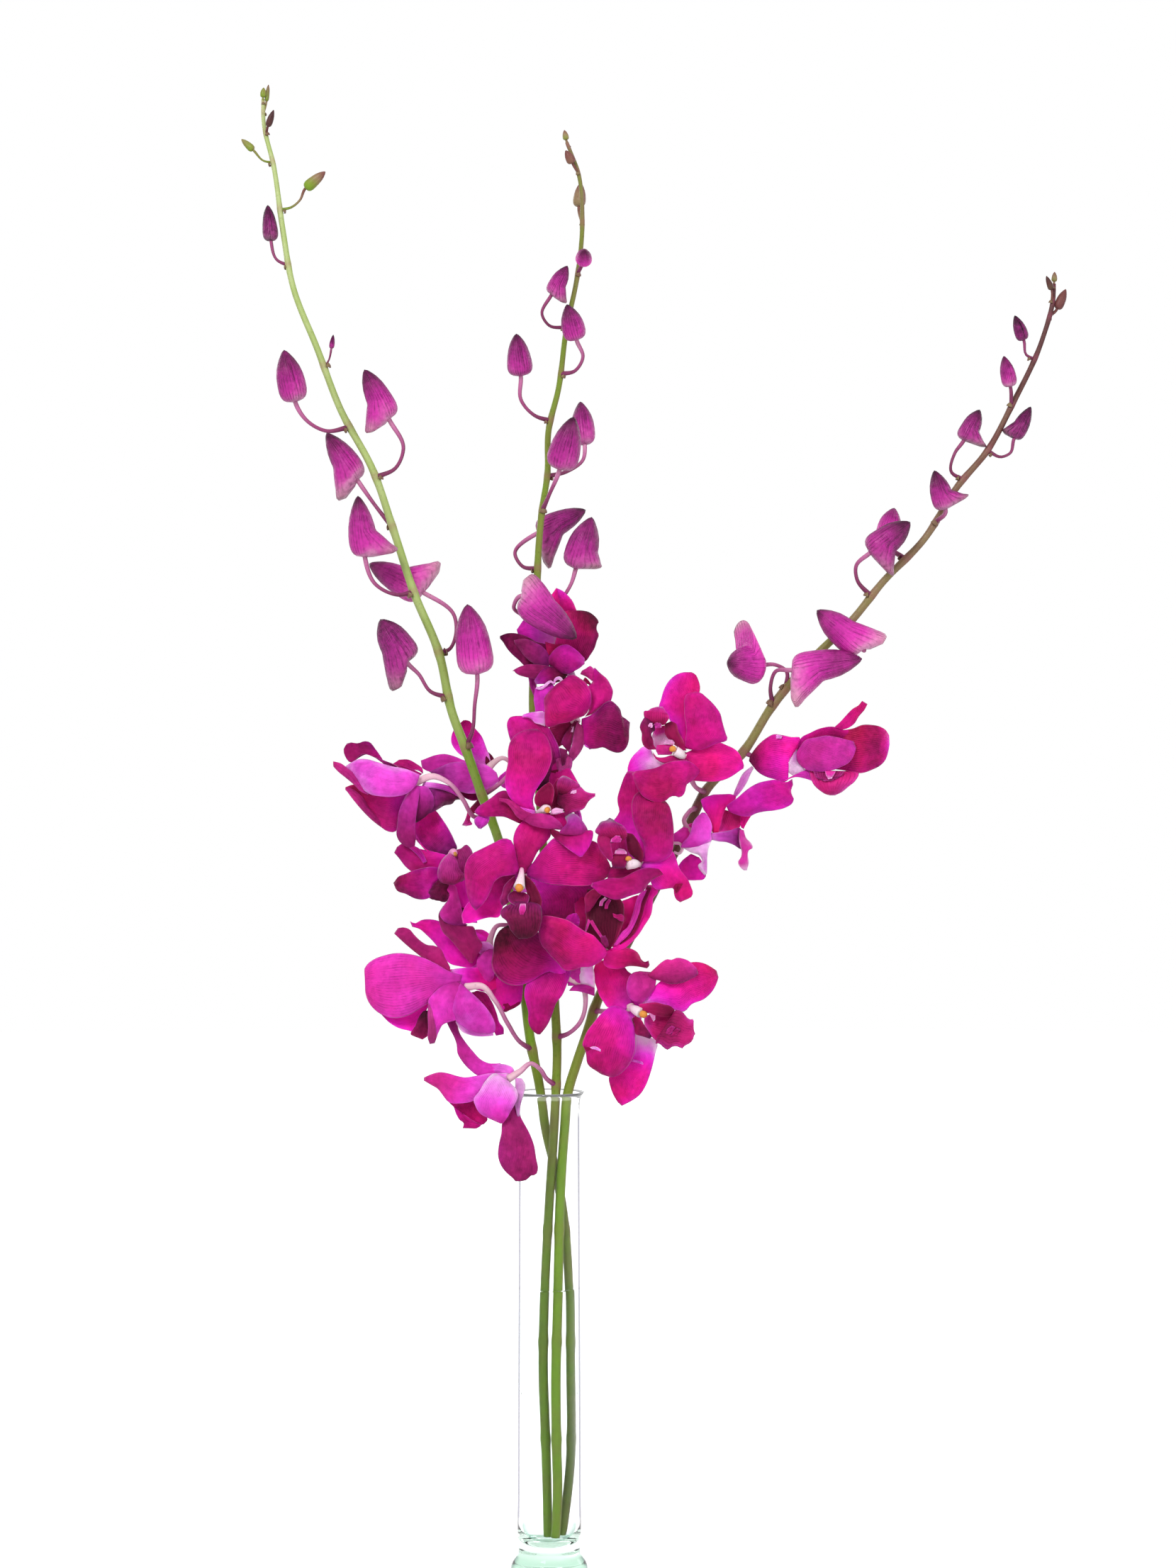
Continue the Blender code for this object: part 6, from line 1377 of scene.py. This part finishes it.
        petal((-9.5, 3.6, -12.4, 2.4, -16.5, -0.4, -19, -2.4, -19, -5.6), (-9, 2, -9.4, -1, -10.4, -3, -14,
          -6.6, -18, -6.2), (-8, -9, -8), (0.3, 0.43), (-0.02, -0.08), back=True, bulge=1.5),
        petal((7.5, 12, 10, 14, 13, 16, 16, 18.7, 19.6, 21.4, 23.7, 23.5, 28, 24.5, 31, 25, 35.3, 24, 37.3,
          23.6, 39.7, 25), (8.5, 10, 12, 8.5, 15, 7.7, 19, 7.7, 21.7, 9, 26, 10, 31, 10.5, 36.7, 12, 39.7, 14,
          40.4, 16, 39.4, 18, 39, 20, 40, 23), (-10, -13, -7), (0.5, 0.53, 0.43), (0.39, 0.14), wave=0.9),
        petal((-14, -8, -9.7, -10.5, -5.6, -12, -4.2, -14.7, -6.2, -17, -5, -19.4, -3, -21.4), (0, -4.2, -1.6,
          -8, -2.4, -12.6, -2.5, -17, -2.7, -21), (-12, -14, -12), (0.89, 0.85), 0.07, back=True, bulge=1.2,
          turn=-0.15),
        petal((0, -1.4, 4, -1, 9.4, 0, 14, 1, 15.5, -1), (0, -4, 4, -4.8, 6.7, -5, 11, -6.5, 14.5, -8.5, 15,
          -4), (-11, -12, -11), (0.78, 0.69, 0.43), (0.23, 0.39, 0.76), back=True, bulge=1.5),
        petal((-4.4, 9, -7, 6.5, -9, 3.7, -9.7, 0.3, -11, -3, -14, -6.4, -14.5, -8), (-3.4, 9, -1.5, 6.5, 0,
          2.4, -0.4, -2.2, 0, -4, -3, -5.8, -6.3, -7.2, -10.4, -8), (-10, -13, -13), (0.61, 0.68, 0.49),
          (0.01, 0.14), back=True),
    ), lip=(
        petal((6.7, 10.4, 4.8, 6.5, 4, 2.4, 4, -1), (14.6, 7.6, 14.4, 4, 13, 1, 8, -0.6), (-5, -4, -8), (0.25,
          0.64), (-0.05, 0), bulge=-1),
        petal((14.4, 0.6, 14, -3, 14.5, -7.2, 15.3, -10, 15, -12.6, 13.5, -15.3, 15, -18, 16.4, -19), (15.6,
          0.4, 17, -3.8, 19, -5.8, 20, -8.5, 18.3, -9.4, 17.6, -11.5, 18, -16, 17, -19), (-13, -15, -13),
          (0.68, 0.75), (0.19, 0.03), wave=0.8),
    ), column=(
        (((-18.8, -5.8, -9, 0.6), (-15.4, -6.4, -11, 0.7), (-14.4, -9.2, -11, 0.8), (-16.2, -11.2, -10, 0.7),
         (-18.4,
          -10.4, -9, 0.6)), (0.35, 0.15)),
    )),
    "middle_2": dict(petals=(
        petal((-16, -3, -18.6, -2, -21, -1.3, -23, 0.7, -27, 1.7), (-16, 4, -20.4, 3.5, -23.7, 3, -26.6, 2.2),
          (-18, -19, -17), (0.91, 0.7), -0.08, back=True, bulge=1),
        petal((-17, 3.6, -20.3, 3.6, -20.7, 6, -21.3, 9.5, -21, 13, -20.4, 15.3), (-12, 4, -10, 8, -10, 13,
          -13, 17.6), (-18, -17, -15), (0.73, 0.54), 0.17, bulge=1, wave=0.4),
        petal((-20.6, 15.6, -18, 15, -15.4, 16.7, -13, 18.4, -11.5, 17.5, -11, 19, -9.3, 20, -8, 19), (-20.4,
          16, -18, 15.6, -16, 17.5, -13.4, 19, -12, 18.4, -11.4, 20, -9, 21, -7.2, 19), (-17, -17, -18), 0.84,
          0, back=True, bulge=0.4, wave=0.2),
        petal((4, 1.6, 5.6, 4, 6.4, 9, 6.2, 13.4, 5, 16, 6.7, 17.3, 8, 19.5, 8, 22.4, 7.4, 24.4), (7.8, 3.2,
          11, 5.7, 15, 7.6, 16.7, 11.7, 17, 14, 16, 16.7, 14, 20, 11, 22.5, 8.4, 25), (-17, -18, -12), (0.29,
          0.26, 0.41), (0.19, 0.32), bulge=2.5, dim=0.1),
        petal((8, 24.6, 6.2, 26, 4, 24.7, 2.3, 23.6, 2, 22.5), (8, 20, 7.3, 19.5, 5.6, 20.6, 3.4, 22), (-13,
          -15, -14), (0.26, 0.14), 0.1, bulge=1, back=True, wave=0.3),
        petal((2.8, 18.6, 3.8, 20.4, 5, 19.4, 6.2, 17.6), (3.6, 18, 4.6, 18, 6, 17.4), (-15, -15), 0.08, 0.4,
          bulge=0.3, wave=0.2),
        petal((2, 0, 6, 1.6, 10, 4.6, 13, 7.6, 16, 9, 19, 7, 21, 4.5, 22, 1, 23.5, 0, 25.4, -2), (2, -7, 3.3,
          -11.7, 6.5, -14, 9, -14, 12.5, -13.3, 16, -15, 19.5, -16, 21.5, -15.7, 23.5, -14, 25, -10, 25, -6),
          (-18, -23, -19), (0.55, 0.32, 0.3, 0.31), (0.19, 0.58, 0.63, 0.53), bulge=3, wave=1),
        petal((3, -11, 4, -13, 6.5, -14.4), (6, -11, 9, -12, 10, -13.7, 8, -14), (-20, -20), 0.67, 0.05,
          back=True, bulge=0.8, wave=0.5),
        petal((3, 2, -0.5, 0.6, -4.3, -1, -9.3, -2, -13, -3.5, -15.4, -3.2, -16, 0, -16, 5, -16, 11, -13,
          14.6), (4.6, 3.6, 6.2, 7.3, 6.5, 10.6, 6.2, 13.4, 5, 16, 3.4, 18.4, 1, 20, -1.6, 21.5, -4.3, 21.5,
          -7, 19.5, -10.4, 17), (-19, -26, -22), (0.4, 0.24, 0.22, 0.31), (0.29, 0.38), bulge=3.5, wave=0.9),
    ), lip=(
        petal((-14, -2.6, -10, -2, -5, -1, -1, 0), (-13, -15, -9, -13, -5, -10, -1, -4), (-14, -15), (0.28,
          0.21), 0.2, bulge=1),
        petal((-8, -12, -6.4, -8, -4, -4.6, -1, -0.6), (-4.4, -16, -3, -11, -2, -6, 0, -1), (-17, -18, -17),
          (0.52, 0.32), 0.41, bulge=1, wave=0.8),
        petal((0, -1.4, -1.5, -7, -2.6, -13, -4, -17, -3, -19.7), (2, -3, 3, -7, 3, -11, 1.5, -15, -0.6, -18,
          -2.6, -20), (-20, -21, -20), (0.35, 0.43), (0.24, 0.11), bulge=1.5, wave=0.9, back=True),
        petal((-3.6, -6.6, -3, -5, -2.6, -3.8), (-2.6, -6.2, -2.4, -5, -2.4, -3.8), (-18.6, -18.8), 1, 0,
          bulge=0.2, wave=0.1, back=True),
        petal((-8, -14.6, -10, -18, -11.3, -22, -12, -26, -10, -28.6), (-5, -17, -3.2, -19, -3, -21.5, -4,
          -25, -7, -28), (-19, -22, -22), (0.41, 0.56), 0.13, bulge=1.5, wave=1.2, back=True),
        petal((-8.6, -14, -8, -18, -7.4, -22.4), (-5.4, -15, -6, -18.4, -6.6, -22), (-23, -24), 0.54, 0.55,
          bulge=0.5, wave=0.4),
        petal((-13, -25.4, -11.6, -27.6, -9.4, -29), (-9, -24.4, -8.4, -26.4, -8.4, -28.4), (-23.6, -23.6),
          0.05, 0.2, bulge=0.5, wave=0.4),
    )),
    "middle_1": dict(petals=(
        petal((-17, 9, -12, 15, -4, 14, 4, 8), (-16, 6, -9, 3, -2, 1, 4, 4), (-3, -3, -3), (0.54, 0.98),
          (0.33, -0.08), bulge=1, wave=0.4),
        petal((-11, -14, -10, -19, -8.5, -22.7), (-7.8, -15, -8, -18, -7.6, -21, -8, -22.6), (-6, -7), 0.52,
          0.3, back=True, bulge=0.8),
        petal((3, 17, -0.4, 17.6, -1.3, 19.3, -1.6, 22, -0.7, 25, 1, 27.3, 2.6, 29.4), (6.4, 17, 6, 19, 4.7,
          22.6, 3.7, 26, 3, 29.3), (-6, -7, -6), (0.25, 0.21), (0.3, 0.03), bulge=0.6, dim=0.25),
        petal((5.4, 17, 5, 20, 4, 24, 3.4, 27, 3, 29.5), (12, 17, 12, 18.7, 11.4, 20.4, 10.3, 23, 8, 26, 5.4,
          28.4), (-6, -7, -6), (0.23, 0.53), (0.35, 0.1), bulge=1.4, dim=-0.25),
        petal((1, -6, 2, 2, 4, 10, 5.6, 18, 9, 18.6, 11.7, 18.5), (14, -7, 16.7, -6, 18.6, -3.4, 21, 0.5, 22,
          3.8, 23, 7, 22, 9.3, 22.3, 12, 23, 13, 22, 15, 20.5, 16.5, 18, 18, 14.7, 18.5), (-8, -11, -10),
          (0.21, 0.17, 0.13), (0.36, 0.36, 0.59), bulge=2.5, dim=0.5),
        petal((1, 1.4, -4, 2.2, -8, 3.2, -11, 5, -15, 6.6, -19, 7.3, -22.3, 7, -25, 5.7), (-3, -9, -9, -9,
          -12.6, -8.4, -15.6, -5.6, -19, -2.6, -21.7, 0.5, -23.7, 3.8, -25, 5.4), (-9, -9, -5), (0.32, 0.24),
          (0.57, 0.72), bulge=1),
        petal((-3, 3, 1, 2, 5, 2), (-2, -2.4, 0, -3, 2, -0.4), (-12, -12), 0.04, 0.25, bulge=0.5),
        petal((-1, -3, -5, 1, -8, 2.7, -11, 4, -16, 4.2, -18, 3.6), (-1, -8.4, -5, -8.4, -9, -6.7, -13, -3.4,
          -15.6, 0, -17.6, 2.4), (-12, -14, -11), (0.55, 0.07), (0.48, 0.52), back=True, dim=0.15),
        petal((7, -12, 3.7, -10.6, -0.7, -9, -5, -8.3, -13, -8.4, -16, -9.5, -18.4, -11), (-1, -13, -7, -14.6,
          -11, -14, -13.4, -13.4, -16, -12.5, -18, -11), (-13, -14, -12), (0.14, 0.2), (0.51, 0.28),
          back=True, bulge=1.2),
        petal((8, -12.5, 3.7, -10.7, -0.7, -9, -3.5, -10, -6.2, -13, -8, -16), (6.6, -15, 3.7, -16, -0.7, -17,
          -5, -17, -7.4, -17), (-14, -16, -15), (0, 0.7), (0.85, 0.32), bulge=1.5),
        petal((7, -13, 8.6, -11.6, 11, -11.7), (7.6, -13.5, 9.6, -13.6, 11.5, -13), (-9, -9), 0.84, 0.1,
          back=True, bulge=0.8, wave=0.3),
        petal((-1, -8, -1, -5, 0.4, -2.3, 2.6, 0, 5.4, 1.5, 8, 1.6, 11, 0, 13.6, -2.2, 16, -5), (2, -10.4, 6,
          -12, 9, -12, 11.4, -10.6, 14, -9, 16, -7), (-14, -18, -14), (0.28, 0.45, 0.49), (0.63, 0.12),
          bulge=2.5, dim=0.2),
    )),
    "right_1": dict(petals=(
        petal((20, 19, 23, 21.7, 26, 25, 29, 28, 32.2, 30, 33.5, 31.7), (22.5, 18, 26, 19, 29, 21, 31.6, 25,
          34.2, 28, 35.5, 30.5), (-8, -6, -2), (0.36, 0.18), (0.23, 0.09), bulge=1, wave=0.4),
        petal((1.3, 8, 3.8, 14, 7.7, 16, 12, 18, 20, 19, 24, 17.6, 27, 17.6, 30, 14.6), (3, 2, 9, 6, 17, 8,
          25, 10, 29.6, 12), (-7, -8, -8), (0.4, 0.28), (0.5, 0.52), dim=0.7, bulge=-1),
        petal((24.5, 17.5, 29, 18.3, 33.5, 20, 38, 20, 42.5, 19, 45, 17.3, 46.4, 14.6), (19, -1, 26, -2, 29.6,
          -3, 33.5, -3, 38, -1.5, 42, 0.5, 44.5, 3, 46, 7, 46.6, 11), (-7, -8, 0), (0.09, 0.11, 0.19, 0.48),
          (0.42, 0.32, 0.46, -0.07), bulge=1, turn=0.3, wave=0.7),
        petal((1, 7, 2, 11, 2.8, 13.6, -1.6, 14, -6.4, 15, -10.5, 15.3, -13, 14, -17.3, 10.6, -20, 7.2, -21.7,
          4.4), (-2.3, 4.4, -4.3, 1, -5.4, -1.7, -4.5, -4, -3, -6.2, -4.3, -7.2, -10, -6, -14, -4.8, -18,
          -2.4, -20.4, 0.6, -22, 3), (-9, -7, 0), (0.3, 0.42, 0.42, 0.28, 0.12), (0.04, 0.07, 0.22, 0.68),
          turn=0.2),
        petal((-9, 15, -7.8, 15, -6.6, 14.6), (-9, 14, -7.6, 14, -6.8, 14), (-9, -9), 0.84, 0, bulge=0.3,
          wave=0.1, back=True),
        petal((-5, -1.6, -3, 2.2, -0.5, 6, 1, 9), (0, -5, 6.4, -3, 3, 0, 2, 5), (-8, -10, -9), (0.96, 0.83),
          (0.12, 0.31), back=True, bulge=1.2),
        petal((-5, -7.2, -2, -5.6, 1.3, -4.2, 5, -2, 9, -3), (-4, -6.6, 1.3, -5, 4.4, -5.5, 8.5, -6.8), (-9,
          -10, -11), 0.5, 0.05, back=True, bulge=1),
        petal((1.4, 3, 1.3, 6.3, 3.2, 9.5, 5, 12, 11.6, 14, 15.5, 14.7, 20.6, 14, 26, 12.6, 29, 11.7), (2.5,
          1, 5, -1, 9, -2.2, 14, -2.4, 18.7, -1.6, 23, 0, 27, 2.4, 29, 5.6, 30, 9), (-11, -17, -12), (0.42,
          0.36, 0.42), (0.25, 0.2), back=True, bulge=4, wave=0.8),
    ), lip=(
        petal((7.7, -2.4, 8.3, -5.4, 9.6, -8.6, 13, -12, 16, -13.7, 18, -14), (29, -2.6, 31.3, -3.4, 29.6,
          -7.3, 26.4, -10, 22.5, -13, 19.6, -14), (-11, -14, -12), (0.35, 0.5, 0.57), (0, 0.24), bulge=2.5,
          wave=0.7, turn=0.15),
        petal((9.6, -2.4, 11, -5.4, 15, -7), (24.6, -2.4, 22.4, -5, 18, -6.8), (-15, -17), (0.47, 0.57), 0.39,
          bulge=0.8, wave=0.9),
        petal((15.5, -2.4, 16, -4.6, 17, -6), (20, -2.6, 19, -4.4, 18, -5.8), (-17.6, -18.6), (0.5, 0.8), 0,
          bulge=0.6),
    )),
}


def make_stalk(name):
    """The stalk of an open flower, which thickens to the ovary behind its petals."""
    side, node, heart, bends = STALKS[name]
    rows = [(*on_stem(side, node)[:3], 1.5)] + [(*bend, 1.1) for bend in bends] + [(*heart, 2.0)]
    if len(rows) > 3:
        rows[-2] = (*rows[-2][:3], 1.5)
    piece = Piece()
    rod(piece, rows, STALK_SIDES, STALK_STEP, (0.9, 0.55, 0.4, 0.3, 0.1, 0.05), (0.05, 0.0), ridges=3,
        ridge=0.07)
    piece.make("stalk_" + name, [STALK], "petal", "bloom_" + name)


def make_leaves(heart, rng, specs, **fineness):
    """One piece with every petal or lobe that is given, set round the flower's heart."""
    piece = Piece()
    for left, right, depth, looks in specs:
        edges = (np.reshape(edge, (-1, 2)) + heart for edge in (left, right))
        leaf(piece, rng, *edges, depth, **looks, **fineness)
    return piece


def make_bloom(name):
    """The petals, lip and column of an open flower."""
    spec = BLOOMS[name]
    heart = np.array(STALKS[name][2][:2])
    rng = np.random.default_rng(sum(map(ord, name)))
    make_leaves(heart, rng, spec["petals"]).make("petals_" + name, [PETAL], "petal", "bloom_" + name)
    if "lip" in spec:
        lobes = make_leaves(heart, rng, spec["lip"], rows=LIP_ROWS, lines=LIP_LINES)
        lobes.make("lip_of_" + name, [LIP], "lip", "lip_" + name)
    if "column" in spec:
        column = Piece()
        for rows, hue, *dark in spec["column"]:
            rod(column, np.array(rows) + (*heart, 0, 0), STALK_SIDES, COLUMN_STEP, hue, dark or (0.0,))
        column.make("column_" + name, [COLUMN], "petal", "bloom_" + name)


def show(name, data):
    """A new object in the scene."""
    thing = bpy.data.objects.new(name, data)
    bpy.context.scene.collection.objects.link(thing)
    return thing


def make_camera():
    """The camera of the photograph."""
    eye = bpy.data.cameras.new("eye")
    eye.lens = CAMERA_LENS
    eye.sensor_width = SENSOR_WIDTH
    eye.sensor_fit = "AUTO"
    eye.clip_start = 0.01
    camera = show("eye", eye)
    camera.location = EYE * MM
    camera.rotation_euler = (math.radians(90.0), 0.0, 0.0)
    bpy.context.scene.camera = camera


def make_lights():
    """A white studio: soft light from all round, with a key, a fill and two rim lights."""
    world = bpy.data.worlds.new("white studio")
    world.use_nodes = True
    bpy.context.scene.world = world
    sky, tree = world.node_tree.nodes["Background"], world.node_tree
    soft = put(tree, "LightPath").outputs["Is Diffuse Ray"]
    feed(tree, sky, {"Color": WHITE, "Strength": ease(tree, soft, 0.0, 1.0, 1.0, SKY_ON_PIECES)})
    for name, place, size, power in (
        ("key softbox", (-0.7, -1.7, 1.6), 0.7, 28.0),
        ("fill softbox", (1.4, -1.5, 1.0), 1.0, 11.0),
        ("rim softbox left", (-1.0, 1.2, 1.0), 0.8, 5.0),
        ("rim softbox right", (1.2, 1.1, 0.9), 0.8, 5.0),
    ):
        lamp = bpy.data.lights.new(name, "AREA")
        lamp.size = size
        lamp.energy = power
        box = show(name, lamp)
        box.location = place
        aim = np.array(AIM) - np.array(place)
        steep = math.acos(aim[2] / np.linalg.norm(aim))
        box.rotation_euler = (steep - math.pi, 0.0, math.atan2(aim[1], aim[0]) + math.pi / 2)


def make_floor():
    """A pale round floor that glows to the eye but lights nothing."""
    material, tree, shader = bare_material("white paper floor", 0.9, 0.0)
    grain = placed(tree, PATCHES, Scale=6.0).outputs["Patch"]
    soft = put(tree, "LightPath").outputs["Is Diffuse Ray"]
    feed(tree, shader, {
        "Base Color": blend(tree, grain, (0.68, 0.68, 0.68, 1.0), (0.70, 0.70, 0.70, 1.0)),
        "Emission Color": blend(tree, soft, WHITE, BLACK),
        "Emission Strength": 0.6,
    })
    ring = [(FLOOR_RADIUS * math.cos(a), FLOOR_RADIUS * math.sin(a), -FLOOR_DROP)
            for a in np.linspace(0, 2 * math.pi, FLOOR_CORNERS, endpoint=False)]
    mesh = bpy.data.meshes.new("floor")
    mesh.from_pydata(ring, [], [tuple(range(FLOOR_CORNERS))])
    mesh.materials.append(material)
    show("floor", mesh)


make_camera()
make_lights()
make_floor()
bpy.context.scene.view_settings.view_transform = "Standard"
make_vase()
make_water()
for side in STEMS:
    make_spray(side)
for name in STALKS:
    make_stalk(name)
    make_bloom(name)
